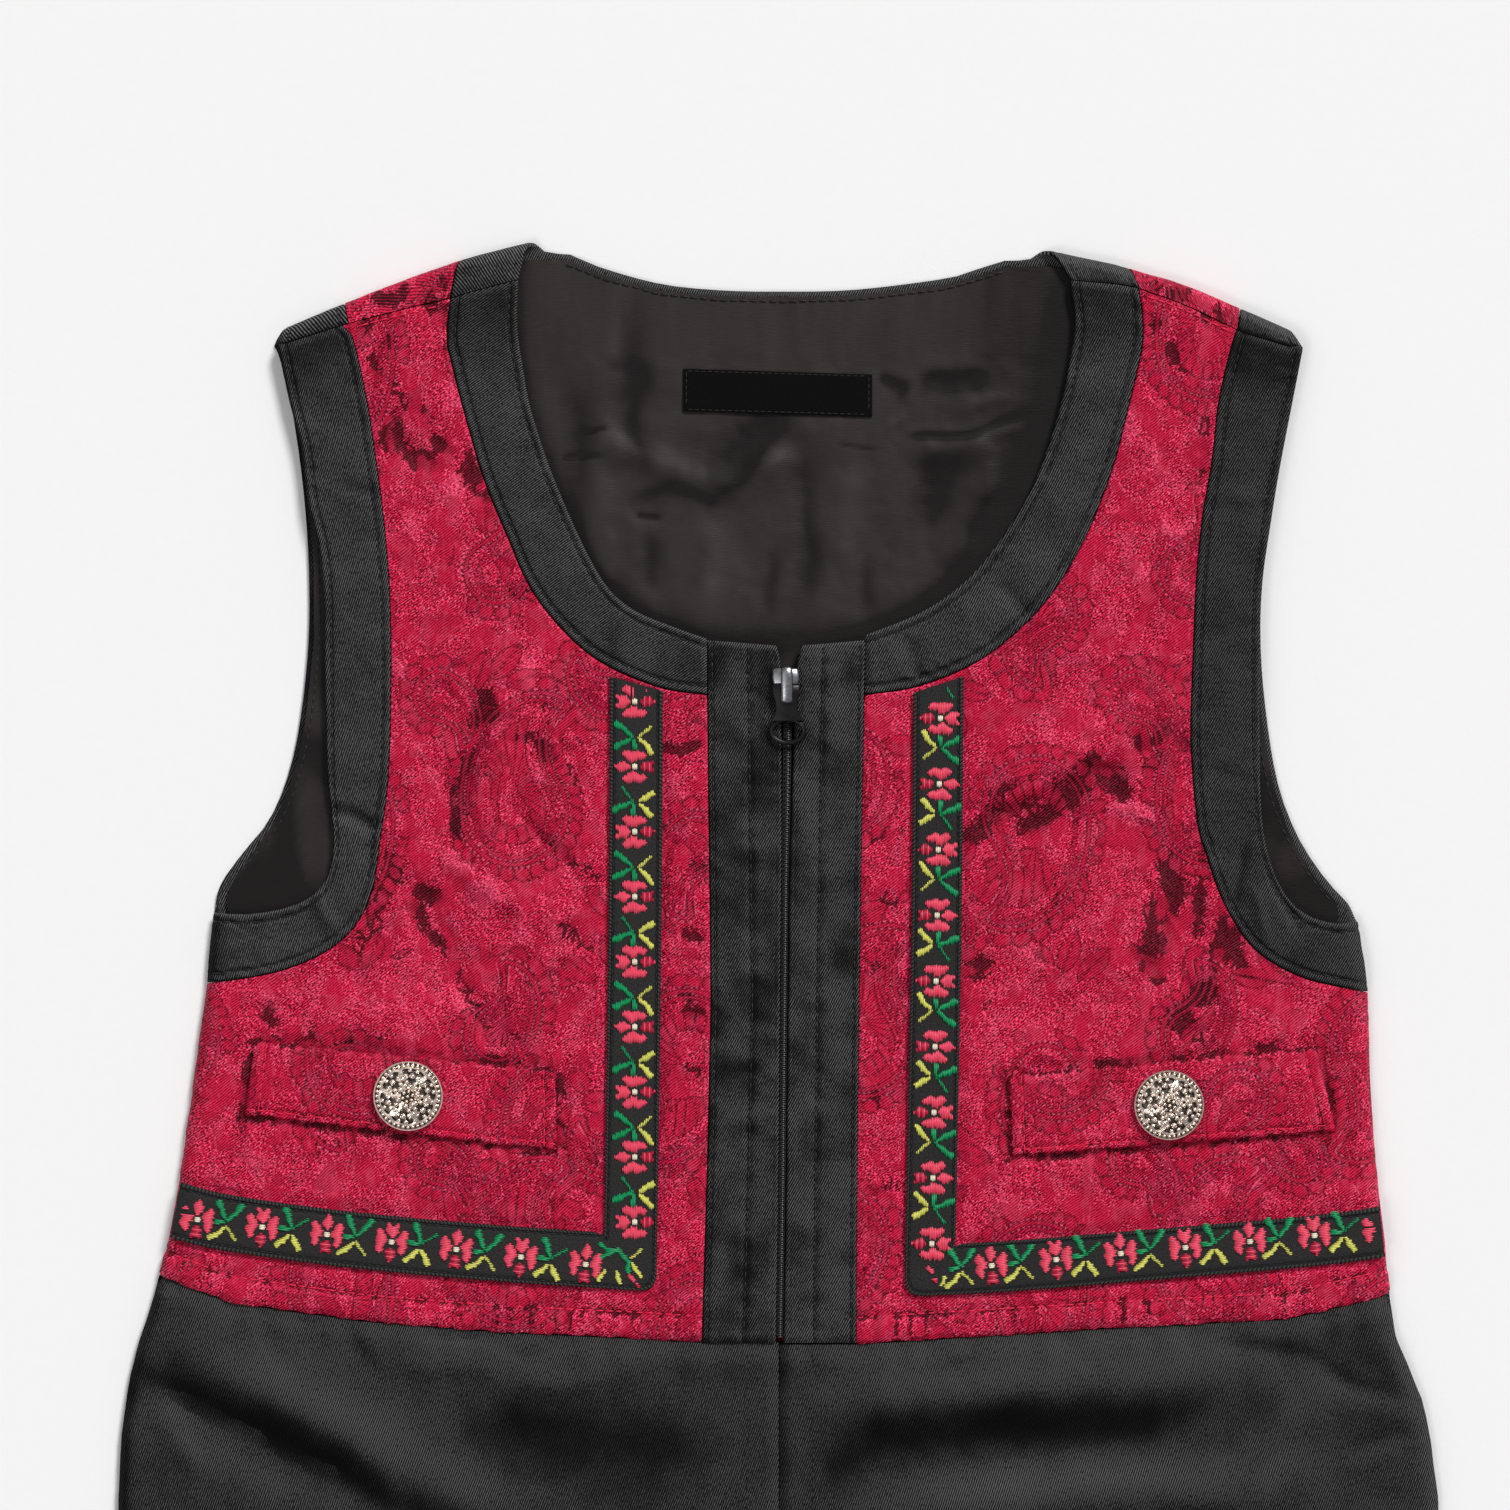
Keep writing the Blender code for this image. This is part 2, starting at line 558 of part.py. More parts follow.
def wrapped(first, second, count):
    """Rows that bring a back piece over the shoulder, from the shoulder seam down."""
    rows = []
    for past in (None, FOLD_CLOTH, 1.7, 0.0, -1.7, -FOLD_CLOTH):
        ends = []
        for line in (first, second):
            if past is None:
                ends.append(line.seam)
            elif past > 0:
                ends.append(line.fold + (line.seam - line.fold) * 0.5 * past / FOLD_CLOTH)
            else:
                ends.append(line.fold - (line.back - line.fold) * past / FOLD_CLOTH)
        row = []
        for part in even(count):
            x = ends[0] + (ends[1] - ends[0]) * part
            drop = over(x, seam_line(x) - SEAM / 2) if past is None else fold_line(x) - past
            row.append(Vector((x, drop)))
        rows.append(row)
    return rows


# Lines of the back's seams and edges where they come over the shoulders.
NECK_OVER = (OverX(-63.0, -60.0, -56.5), OverX(-79.3, -77.0, -75.5),
             OverX(70.2, 65.0, 60.5), OverX(87.2, 84.6, 82.6))
ARM_OVER = (OverX(-121.0, -119.5, -121.6), OverX(-104.0, -105.2, -104.0),
            OverX(126.0, 123.6, 125.9), OverX(110.8, 111.6, 111.4))
NECK_COLUMNS = 10


def beside(line, gap):
    return OverX(line.seam + gap, line.fold + gap, line.back + gap)


def under_fold(x):
    return fold_line(x) + 5.0


def back_neck_band():
    edge = pick(dense(BACK_NECK_EDGE), even(NECK_COLUMNS))
    seam = shift(pick(dense(BACK_NECK_SEAM), even(NECK_COLUMNS)), SEAM / 2)
    rows = wrapped(NECK_OVER[0], NECK_OVER[1], 2)
    rows += rule(edge, seam, even(2))
    rows += wrapped(NECK_OVER[2], NECK_OVER[3], 2)[::-1]
    cloth("back_neck_band", rows, back_surface, 0.0, -CLOTH, TWILL)


def back_arm_band(name, edge, seam, side, over_lines, sign):
    outer = to_side(seam_points(edge, under_fold, ARM_STEPS, CURL_IN), side)
    inner = shift(seam_points(seam, under_fold, ARM_STEPS, CURL_IN), -sign * SEAM / 2)
    rows = wrapped(*over_lines, 2) + rule(outer, to_side(inner, side), even(2))
    cloth(name, rows, back_surface, 0.0, -CLOTH, TWILL)


def back_rows(left, right, neck, tops, sides):
    """Rows of a back with two shoulders and a neck between them, bottom first.

    left and right run down from the shoulders; tops are the rows over each shoulder.
    """
    columns = len(tops[0][0]) - 1
    top = [left[0].lerp(neck[0], part) for part in even(columns)]
    top += neck[1:-1] + [neck[-1].lerp(right[0], part) for part in even(columns)]
    shares = [(place.x - top[0].x) / (top[-1].x - top[0].x) for place in top]
    rows = []
    for first, second in zip(left[:0:-1], right[:0:-1]):
        row = [first.lerp(second, share) for share in shares]
        if first.y > sides:
            row[1].x, row[-2].x = first.x + BACK_CURL, second.x - BACK_CURL
        rows.append(row)
    rows.append(top)
    for left_row, right_row in zip(*tops):
        rows.append(left_row + [None] * (len(neck) - 2) + right_row)
    return rows


def back_bodice():
    """Vest back, with its shoulders brought over to the front."""
    lines = []
    for seam, side, sign in ((ARM_SEAM_LEFT, SIDE_LEFT, 1), (ARM_SEAM_RIGHT, SIDE_RIGHT, -1)):
        arm = shift(seam_points(seam, under_fold, ARM_STEPS, CURL_IN), sign * SEAM / 2)
        arm = to_side(arm, side)
        drops = [arm[-1].y + (249.8 - arm[-1].y) * part for part in even(4)[1:]]
        lines.append(arm + [Vector((interpolate(side, drop), drop)) for drop in drops])
    neck = shift(pick(dense(BACK_NECK_SEAM), even(NECK_COLUMNS)), -SEAM / 2)
    tops = (wrapped(beside(ARM_OVER[1], SEAM), beside(NECK_OVER[1], -SEAM), 4)[::-1],
            wrapped(beside(NECK_OVER[3], SEAM), beside(ARM_OVER[3], -SEAM), 4)[::-1])
    rows = back_rows(*lines, neck, tops, 178.8)
    for place in rows[0]:
        place.y = back_waist(place.x) - SEAM
    cloth("back_bodice", rows, back_surface, 0.0, -CLOTH, BROCADE)


def back_waist(x):
    """Drop of the waist seam across the back."""
    return WAIST - 16.0 * (x / 150.0) ** 2


def back_lining():
    """Lining of the vest back, seen through the neck and the armholes."""
    levels = (26.0, 36.0, 48.0, 60.0, 72.0, 84.0, 96.0, 112.0, 130.0, 142.0, 150.0, 158.0,
              172.0, 200.0, 225.0, 246.0)
    lines = []
    for arm, side, sign in ((BACK_ARM_LEFT, SIDE_LEFT, 1), (BACK_ARM_RIGHT, SIDE_RIGHT, -1)):
        line = []
        for drop in levels:
            reach = abs(interpolate(side, drop)) - 3.2
            if drop <= arm[-2].drop:
                reach = min(abs(interpolate(arm, drop)) - 1.4, reach)
            if 146.0 < drop < 176.0:
                reach = min(abs(interpolate(side, drop)) - 8.0, reach)
            line.append(Vector((-sign * reach, drop)))
        lines.append(line)
    neck = shift(pick(dense(BACK_NECK_EDGE), even(NECK_COLUMNS)), -0.9)
    tops = []
    for first, second in ((-118.4, -62.0), (64.5, 122.0)):
        xs = [first + (second - first) * part for part in even(4)]
        tops.append([[Vector((x, fold_line(x) + 3.9)) for x in xs]])
    rows = back_rows(*lines, neck, tops, 1000.0)
    for place in rows[0]:
        place.y = back_waist(place.x) - 1.5
    cloth("back_lining", rows, lining_surface, 0.0, -CLOTH, SATIN)


def back_trouser(name, side, sign):
    rows = []
    for extra in (0.0, 0.12, 0.26, 0.44, 0.62, 0.8, 1.0):
        row = []
        for column in side_columns(155.0, CURL_IN, 6):
            x = interpolate(side, 256.0 + 190.0 * extra) * (1 - column) - sign * 0.15 * column
            drop = (1 - extra) * (back_waist(x) + SEAM / 2) + extra * (CROTCH - 0.5)
            x = interpolate(side, drop) * (1 - column) - sign * 0.15 * column
            row.append(Vector((x, drop)))
        rows.append(row)
    for drop in (CROTCH + 3, CROTCH + 8, CROTCH + 16, CROTCH + 50, CROTCH + 90, LENGTH):
        inside, outside = -sign * interpolate(INSEAM, drop), interpolate(side, drop)
        columns = side_columns(155.0, CURL_IN, 6)
        columns[-2] = 1 - BACK_CURL / abs(outside - inside)
        rows.append([Vector((outside + (inside - outside) * c, drop)) for c in columns])
    cloth(name, rows, back_surface, 0.0, -CLOTH, TWILL)


def placket(name, outer, sign):
    """Band beside the zip, from the neck edge to the waist seam."""
    rows = []
    for drop in [98.5, 100.5, 104.0, 109.0, 115.0, 124.0, 136.0, 149.0, 165.0, 182.0, 199.0,
                 216.0, 233.0, 250.0, WAIST - 0.3]:
        far = interpolate(outer, drop)
        near = interpolate(ZIP_LINE, drop) - sign * interpolate(PLACKET_GAP, drop)
        if drop == 98.5:
            rows.append([Vector((far + (near - far) * c, 96.6 + 1.3 * c)) for c in even(3)])
        else:
            rows.append([Vector((far + (near - far) * c, drop)) for c in even(3)])
    cloth(name, rows, front_surface, 0.0, -CLOTH, TWILL)


def ribbon(name, hand, down, out, side, tops, sign):
    """L-shaped ribbon laid on the vest front: down beside the zip, out to the side."""
    down_width, out_width = RIBBON_WIDTH[hand]
    outer_down, outer_out = dense(down), dense(out)
    inner_down = shift(outer_down, -sign * down_width)
    inner_out = shift(outer_out, -sign * out_width)
    corner = Vector((inner_down[-1].x, inner_out[0].y))
    starts = [Vector((line[0].x, top)) for line, top in zip((outer_down, inner_down), tops)]
    outer_down = [starts[0]] + [p for p in outer_down if p.y > tops[0] + 1]
    inner_down = [starts[1]] + [p for p in inner_down if tops[1] + 1 < p.y < corner.y - 1]
    inner_out = [corner] + [p for p in inner_out if abs(p.x) > abs(corner.x) + 1]
    far = [to_side(outer_out, side), to_side(inner_out, side)]
    outside = pick(outer_down, even(11)) + pick(far[0], run_out(far[0], 9, ROLL_IN))[1:]
    inside = pick(inner_down + [corner], even(11)) + pick(far[1], run_out(far[1], 9, ROLL_IN))[1:]
    cloth(name, rule(outside, inside, even(2)), front_surface, LAY + CLOTH, LAY, RIBBON)


def flap(name, corners):
    """False pocket flap from its four corners, laid on the vest front."""
    top_left, top_right, low_right, low_left = [Vector(corner) for corner in corners]
    rows = [[top_left.lerp(low_left, v).lerp(top_right.lerp(low_right, v), u)
             for u in even(9)] for v in even(3)]
    cloth(name, rows, front_surface, LAY + FLAP_THICK, LAY, BROCADE)


def label():
    """Woven size label on the lining, left blank."""
    corners = [Vector(c) for c in ((-23.2, 30.9), (22.5, 32.3), (22.5, 42.6), (-23.2, 41.2))]
    rows = [[corners[0].lerp(corners[3], v).lerp(corners[1].lerp(corners[2], v), u)
             for u in even(6)] for v in even(1)]
    cloth("label", rows, lining_surface, LAY + CLOTH, LAY, RIBBON)


# --------------------------------------------------------- buttons and the zip
Ring = namedtuple("Ring", "radius height")
BUTTON_PROFILE = [Ring(*row) for row in (
    (7.4, 0.0), (8.2, 0.5), (8.5, 1.1), (8.25, 1.8), (7.6, 2.0), (7.0, 1.6),
    (6.2, 2.1), (4.4, 2.8), (2.2, 3.2))]


def button(name, x, drop):
    """Domed button with a raised rim, turned about its own axis."""
    mesh = bmesh.new()
    rings = []
    for ring in BUTTON_PROFILE:
        rings.append([mesh.verts.new((ring.radius * MM * math.cos(turn),
                                      ring.radius * MM * math.sin(turn), ring.height * MM))
                      for turn in [2 * math.pi * k / BUTTON_SIDES for k in range(BUTTON_SIDES)]])
    for low, high in zip(rings, rings[1:]):
        for k in range(BUTTON_SIDES):
            n = (k + 1) % BUTTON_SIDES
            mesh.faces.new([low[k], low[n], high[n], high[k]])
    mesh.faces.new(rings[0][::-1])
    mesh.faces.new(rings[-1])
    item = add_object(name, mesh, PEWTER)
    seat = max(front_height(x + dx, drop + dd) for dx in (-6, 0, 6) for dd in (-6, 0, 6))
    item.location = to_world(Vector((x, -drop, seat + LAY + FLAP_THICK + LAY)))
    return item


def strip(name, near, far, start, end, count, high, low, finish):
    """A strip along the zip, between two distances from its line."""
    rows = []
    for drop in [start + (end - start) * part for part in even(count)]:
        x = interpolate(ZIP_LINE, drop)
        rows.append([Vector((x + near(drop), drop)), Vector((x + far(drop), drop))])
    cloth(name, rows, front_surface, high, low, finish)


def prism(points, low, high):
    """Closed upright prism from its outline (x, y) in millimetres."""
    mesh = bmesh.new()
    bottom = [mesh.verts.new((x * MM, y * MM, low * MM)) for x, y in points]
    top = [mesh.verts.new((x * MM, y * MM, high * MM)) for x, y in points]
    mesh.faces.new(bottom[::-1])
    mesh.faces.new(top)
    for k in range(len(points)):
        n = (k + 1) % len(points)
        mesh.faces.new([bottom[k], bottom[n], top[n], top[k]])
    return mesh


def helper(name, mesh_data, target, operation):
    """A hidden shape that is joined to, or cut from, the target."""
    item = add_object(name, mesh_data, STEEL, smooth=False)
    item.hide_render = True
    item.display_type = "WIRE"
    item.parent = target
    step = target.modifiers.new(name, "BOOLEAN")
    step.operation = operation
    step.solver = "EXACT"
    step.object = item
    return item


def turned(mesh_data, matrix):
    bmesh.ops.transform(mesh_data, matrix=matrix, verts=mesh_data.verts)
    return mesh_data


def zip_slider():
    """Slider: tapered plate, keel over the coil and the bridge that holds the pull."""
    half, foot, length = SLIDER_PLATE_WIDTH / 2, SLIDER_FOOT_WIDTH / 2, SLIDER_PLATE_LENGTH
    outline = [(-half + 0.9, 0), (half - 0.9, 0), (half, -0.9), (half, -3.4), (foot, -5.6),
               (foot, -length + 0.6), (foot - 0.6, -length), (-foot + 0.6, -length),
               (-foot, -length + 0.6), (-foot, -5.6), (-half, -3.4), (-half, -0.9)]
    slider = add_object("zip_slider", prism(outline, *SLIDER_PLATE), STEEL)
    slider.location = to_world(Vector((SLIDER_X, -SLIDER_TOP, 0.0)))
    width, deep, bottom = KEEL[0] / 2, KEEL[1], KEEL[2]
    keel = prism([(-width, -0.5), (width, -0.5), (width, -deep), (-width, -deep)],
                 bottom, SLIDER_PLATE[0] + 0.3)
    helper("slider_keel", keel, slider, "UNION")
    top, wall, long = BRIDGE_TOP, BRIDGE_WALL, BRIDGE_LENGTH
    low = SLIDER_PLATE[1] - 0.3
    arch = [(0.0, low), (0.0, top - 1.3), (-0.9, top - 0.3), (-2.2, top), (-long + 2.2, top),
            (-long + 0.9, top - 0.3), (-long, top - 1.2), (-long, low + 0.5),
            (-long + wall, low + 0.5), (-long + wall, top - wall - 0.5),
            (-long + wall + 0.7, top - wall), (-wall - 0.7, top - wall),
            (-wall, top - wall - 0.5), (-wall, low)]
    bridge = prism([(y, z) for y, z in arch], -BRIDGE_WIDTH / 2, BRIDGE_WIDTH / 2)
    axes = Matrix(((0, 0, 1, 0), (1, 0, 0, 0), (0, 1, 0, 0), (0, 0, 0, 1)))
    helper("slider_bridge", turned(bridge, axes), slider, "UNION")
    return slider


def oval(half_width, half_length, centre, sides):
    return [(half_width * math.cos(turn), centre + half_length * math.sin(turn))
            for turn in [2 * math.pi * k / sides for k in range(sides)]]


def zip_pull():
    """Pull tab hung on the slider's bridge; its origin lies on the hinge's axis."""
    outside, inside, window = PULL_ARM_OUTSIDE, PULL_ARM_INSIDE, PULL_WINDOW
    neck = PULL_NECK_HALF
    ring = [point for point in oval(*PULL_RING, -PULL_RING_CENTRE, 28)
            if not (point[1] > -PULL_RING_CENTRE + 2.9)]
    right = sorted([p for p in ring if p[0] > 0], key=lambda p: -p[1])
    left = sorted([p for p in ring if p[0] < 0], key=lambda p: p[1])
    outline = [(-outside, 0.2), (-outside + 0.4, 0.6), (outside - 0.4, 0.6), (outside, 0.2),
               (outside, -window + 0.2), (neck, -window - 1.0)]
    outline += right + left + [(-neck, -window - 1.0), (-outside, -window + 0.2)]
    outline = outline[::-1]
    half = PULL_THICK / 2
    pull = add_object("zip_pull", prism(outline, -half, half), BLACK_METAL)
    pull.location = to_world(Vector((SLIDER_X, -PULL_AXIS_DROP, PULL_AXIS_HEIGHT)))
    pull.rotation_euler = (PULL_TILT, 0.0, 0.0)
    gate = prism([(-inside, 2.0), (-inside, -window), (inside, -window), (inside, 2.0)],
                 -half - 0.5, half + 0.5)
    helper("pull_window", gate, pull, "DIFFERENCE")
    hole = prism(oval(*PULL_RING_HOLE, -PULL_RING_CENTRE, 24), -half - 0.5, half + 0.5)
    helper("pull_hole", hole, pull, "DIFFERENCE")
    bar = prism(oval(PULL_BAR_RADIUS, PULL_BAR_RADIUS, 0.0, 12), -inside - 0.4, inside + 0.4)
    axes = Matrix(((0, 0, 1, 0), (1, 0, 0, 0), (0, 1, 0, 0), (0, 0, 0, 1)))
    helper("pull_bar", turned(bar, axes), pull, "UNION")
    return pull


def main():
    for item in list(bpy.data.objects):
        bpy.data.objects.remove(item, do_unlink=True)

    back_bodice()
    back_neck_band()
    back_arm_band("back_armhole_band_left", BACK_ARM_LEFT, ARM_SEAM_LEFT, SIDE_LEFT,
                  ARM_OVER[:2], 1)
    back_arm_band("back_armhole_band_right", BACK_ARM_RIGHT, ARM_SEAM_RIGHT, SIDE_RIGHT,
                  ARM_OVER[2:], -1)
    back_lining()
    label()
    back_trouser("back_trouser_left", SIDE_LEFT, 1)
    back_trouser("back_trouser_right", SIDE_RIGHT, -1)

    front_bodice("front_bodice_left", SIDE_LEFT, ARM_SEAM_LEFT, NECK_SEAM_LEFT,
                 PLACKET_LEFT, HEM_LEFT, 1)
    front_bodice("front_bodice_right", SIDE_RIGHT, ARM_SEAM_RIGHT, NECK_SEAM_RIGHT,
                 PLACKET_RIGHT, HEM_RIGHT, -1)
    front_band("front_neck_band_left", NECK_EDGE_LEFT, NECK_SEAM_LEFT, NECK_STEPS, None, -1)
    front_band("front_neck_band_right", NECK_EDGE_RIGHT, NECK_SEAM_RIGHT, NECK_STEPS, None, 1)
    front_band("front_armhole_band_left", FRONT_ARM_LEFT, ARM_SEAM_LEFT, ARM_STEPS, ROLL_IN,
               1, SIDE_LEFT)
    front_band("front_armhole_band_right", FRONT_ARM_RIGHT, ARM_SEAM_RIGHT, ARM_STEPS, ROLL_IN,
               -1, SIDE_RIGHT)
    placket("placket_left", PLACKET_LEFT, 1)
    placket("placket_right", PLACKET_RIGHT, -1)
    front_trouser("front_trouser_left", SIDE_LEFT, HEM_LEFT, 1)
    front_trouser("front_trouser_right", SIDE_RIGHT, HEM_RIGHT, -1)
    ribbon("ribbon_left", "left", RIBBON_LEFT_DOWN, RIBBON_LEFT_OUT, SIDE_LEFT,
           (108.9, 105.3), 1)
    ribbon("ribbon_right", "right", RIBBON_RIGHT_DOWN, RIBBON_RIGHT_OUT, SIDE_RIGHT,
           (109.3, 105.3), -1)
    flap("flap_left", ((-126.7, 193.4), (-53.6, 200.1), (-53.3, 219.9), (-128.9, 211.2)))
    flap("flap_right", ((55.3, 201.6), (129.6, 194.6), (134.5, 215.1), (56.2, 221.1)))
    button("button_left", -89.3, 206.4)
    button("button_right", 93.9, 208.6)

    strip("zip_tape_left", lambda d: -13.0, lambda d: -0.15, 103.0, 262.0, 10,
          -CLOTH - LAY, -2 * CLOTH - LAY, NYLON)
    strip("zip_tape_right", lambda d: 0.15, lambda d: 13.0, 103.0, 262.0, 10,
          -CLOTH - LAY, -2 * CLOTH - LAY, NYLON)

    def half_coil(drop):
        return interpolate(PLACKET_GAP, drop) - 0.3
    strip("zip_coil", lambda d: -half_coil(d), half_coil, 111.0, 265.8, 14,
          -0.2, -CLOTH, NYLON)
    zip_slider()
    zip_pull()


main()
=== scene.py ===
"""Looks of the laid-out festive romper: cloth, ribbons, flowers, buttons and zip.

A place on the garment is (x, drop) in millimetres: x to the right of the zip, drop
downwards from the top of the shoulders.  Meshes are made in metres at the end.
"""

import math
from collections import namedtuple
from itertools import product

import bpy
import numpy as np
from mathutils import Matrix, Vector


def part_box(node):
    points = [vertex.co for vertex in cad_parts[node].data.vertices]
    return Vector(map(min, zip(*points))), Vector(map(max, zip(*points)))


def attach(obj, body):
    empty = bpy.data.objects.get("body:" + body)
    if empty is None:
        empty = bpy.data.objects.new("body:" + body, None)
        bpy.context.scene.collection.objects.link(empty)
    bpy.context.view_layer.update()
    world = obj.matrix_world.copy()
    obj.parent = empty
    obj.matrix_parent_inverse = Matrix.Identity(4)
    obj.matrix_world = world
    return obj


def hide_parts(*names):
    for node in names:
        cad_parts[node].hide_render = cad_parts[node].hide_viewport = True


bl_info = {
    "name": "Festive Romper",
    "version": (1, 0, 0),
    "blender": (4, 5, 0),
    "location": "View3D > Sidebar > Romper",
    "description": "Dresses the laid-out romper in brocade, twill, ribbon, stitching and metal",
    "category": "Object",
}

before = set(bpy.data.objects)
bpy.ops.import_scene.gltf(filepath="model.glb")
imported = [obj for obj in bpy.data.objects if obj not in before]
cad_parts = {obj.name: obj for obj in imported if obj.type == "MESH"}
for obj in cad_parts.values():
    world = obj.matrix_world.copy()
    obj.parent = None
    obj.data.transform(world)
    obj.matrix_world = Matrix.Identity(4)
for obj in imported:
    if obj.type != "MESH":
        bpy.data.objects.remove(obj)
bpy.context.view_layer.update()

MM = 0.001
LENGTH = 580.0            # shoulder to trouser hem
BODY_HEIGHT = 5.2         # outer face of the front above the table
PLACKET_RISE = 0.5        # how much higher the cloth beside the zip lies
LOWEST_FRONT = 4.5        # the front's folds never dip below this height
LINING_HEIGHT = 2.3       # outer face of the lining above the table
FRONT_ROLL = 4.5          # how far in from a side seam the front starts to roll down
FRONT_RIM = 2.3           # height of the front's outer face at a side seam
BACK_CURL = 2.0           # how far the back curls up at the side seams
FOLD_DEPTH = 2.6          # reach of the rounded fold over the shoulders
FOLD_CLOTH = 3.4          # cloth on each side of that fold's middle
CROTCH = 450.0            # drop of the crotch
WAIST = 266.3             # drop of the waist seam at the zip
SIDE_WAIST = 249.8        # drop of the back's waist seam at the sides
LINING_INSET = 3.2        # the lining ends this far in from the side seams
LAY = 0.3                 # gap under what is sewn on top of a piece
SEAM = 0.12               # half the gap between two pieces that are sewn together
BAND_WIDTH = 15.0         # how wide the front and neck bands are, for spacing their grids
BACK_ARM_WIDTH = 16.0     # the same for the back armhole bands
PLACKET_WIDTH = 18.0      # the same for the plackets
RIBBON_GROUND = 13.0      # the same for the ribbons
BAND_INSET = 2.0          # stitching of a band, in from its edges
WRAP_ROWS = 18            # rows of a back piece around the fold over the shoulder
HEM_INSET = 6.3           # stitching of the vest's hem, up from its edge
PLACKET_EDGE = 1.2        # first line of stitching, in from the placket's outer edge
PLACKET_STITCH = 10.0     # second line of stitching, in from the same edge
RIBBON_STITCH = 1.3       # stitching of a ribbon, in from its edges
FLAP_HEM_STITCH = 1.6     # stitching of a flap, in from its lower edge
FLAP_SIDE_STITCH = 3.2    # stitching of a flap, in from its sides
RIBBON_FACE = LAY + 1.0   # outer face of a ribbon above the brocade
FLAP_FACE = LAY + 1.6     # outer face of a flap above the brocade
LABEL_FACE = LAY + 0.6    # outer face of the label above the lining
COARSE = 4                # steps on the face of a cloth to one on its hidden back
HANDS = ("left", "right")

Row = namedtuple("Row", "drop x")
# A fold runs from one place to another; its rise is negative for a crease.
Fold = namedtuple("Fold", "x drop to_x to_drop rise spread")


def table(*rows):
    return [Row(*row) for row in rows]


def folds(*rows):
    return [Fold(*row) for row in rows]


# ------------------------------------------------------------ outline tables
# Left and right are those of the viewer.
SIDE = {
    "left": table(
        (159.3, -136.6), (175.7, -137.8), (202.8, -141.5), (222.1, -144.1), (241.4, -147.7),
        (255.9, -151.4), (265.5, -154.5), (275.2, -157.2), (289.7, -159.2), (304.2, -159.8), (340, -160),
        (400, -157), (450, -153), (520, -148), (580, -144.5)),
    "right": table(
        (159.3, 139), (175.7, 142.2), (202.8, 143), (222.1, 144.2), (241.4, 146.6), (255.9, 147.8),
        (265.5, 149.3), (275.2, 153.3), (280, 155.5), (289.7, 157.4), (304.2, 159.3), (340, 160),
        (400, 157), (450, 153), (520, 148), (580, 144.5))}
INSEAM = table(
    (450, 0.3), (454, 2.4), (462, 5.6), (480, 9.4), (510, 12.8), (545, 15.6), (580, 18))
BACK_ARM = {
    "left": table(
        (21, -119.3), (24.6, -122.4), (29, -120.9), (38.6, -118.3), (57.9, -115.4), (77.2, -113.9),
        (96.6, -113.9), (115.9, -115.9), (129.1, -118.8), (140, -123.4), (148.2, -130), (155.7, -135.2),
        (162.5, -136.9)),
    "right": table(
        (21.5, 123.4), (24.9, 127), (29, 126), (38.6, 124.1), (57.9, 120), (77.2, 117.3), (96.6, 116.6),
        (114.7, 118), (131.6, 120.9), (144.4, 125.8), (154.3, 132.3), (160.3, 137.8), (164.5, 140))}
FRONT_ARM = {
    "left": table(
        (25, -121.2), (38.6, -118.3), (49, -115.6), (63.7, -113.6), (73.1, -111.3), (85.2, -110.1),
        (111, -109.6), (128.9, -109.1), (145.1, -107.6), (154.7, -109.6), (160, -115.6), (162.6, -126.3),
        (162.5, -136.9)),
    "right": table(
        (25.5, 126.6), (38.9, 124), (55, 120.9), (67.8, 118.8), (81.8, 116.8), (96.6, 116.1), (118, 116),
        (139.8, 116.6), (152.6, 119.5), (161.3, 125), (164.9, 133.3), (164.5, 140))}
ARM_SEAM = {
    "left": table(
        (21, -105.3), (24.1, -102.8), (38.6, -99.5), (53.1, -97.3), (67.6, -95.4), (86.9, -93.9),
        (111, -93.7), (130.4, -94.4), (144.8, -96.3), (156.9, -98.2), (165.6, -102.4), (171.9, -109.6),
        (176.2, -119.7), (178.2, -129), (179.4, -138.2)),
    "right": table(
        (19.3, 111.8), (24.1, 109.6), (38.6, 106.2), (53.1, 104.5), (67.6, 102.1), (82.1, 100.7),
        (101.4, 99.9), (120.7, 99.4), (140, 100.9), (148.2, 103.1), (160, 107.4), (170.9, 114.5),
        (177.4, 124.8), (180.1, 134.5), (181.6, 142.4))}
NECK_EDGE = {
    "left": table(
        (9.4, -63), (20.5, -63.3), (31, -61.8), (42, -59.6), (59.4, -53.6), (79.9, -44), (88.6, -36.2),
        (93.9, -24.1), (96.2, -17.4)),
    "right": table(
        (11.8, 70.2), (20.5, 71.3), (33.6, 69.3), (46.3, 66.1), (59.4, 61.3), (71.2, 54.3), (81.8, 45.6),
        (89.6, 34.8), (95.4, 20.8))}
NECK_SEAM = {
    "left": table(
        (4.3, -77), (14.5, -79.4), (24.1, -80.2), (29, -79.2), (38.6, -76.8), (53.1, -72.7), (62.8, -69.3),
        (72.4, -65.2), (82.1, -61), (91.7, -54.4), (101.4, -43.8), (107.9, -29), (109.8, -17.4)),
    "right": table(
        (5.3, 85), (14, 87.2), (24.1, 87.8), (33.8, 85.9), (43.5, 83.5), (53.1, 81.1), (62.8, 77.7),
        (72.4, 73.6), (82.1, 68.1), (91.7, 60.4), (101.4, 48.5), (107.6, 34), (109.8, 20.8))}
BACK_NECK_EDGE = table(
    (3.9, -50.5), (7, -43.2), (10.9, -28.7), (12.4, -14), (12.7, 0.2), (12.3, 18.3), (9.7, 40.1),
    (7.7, 47.3), (5.4, 54.6))
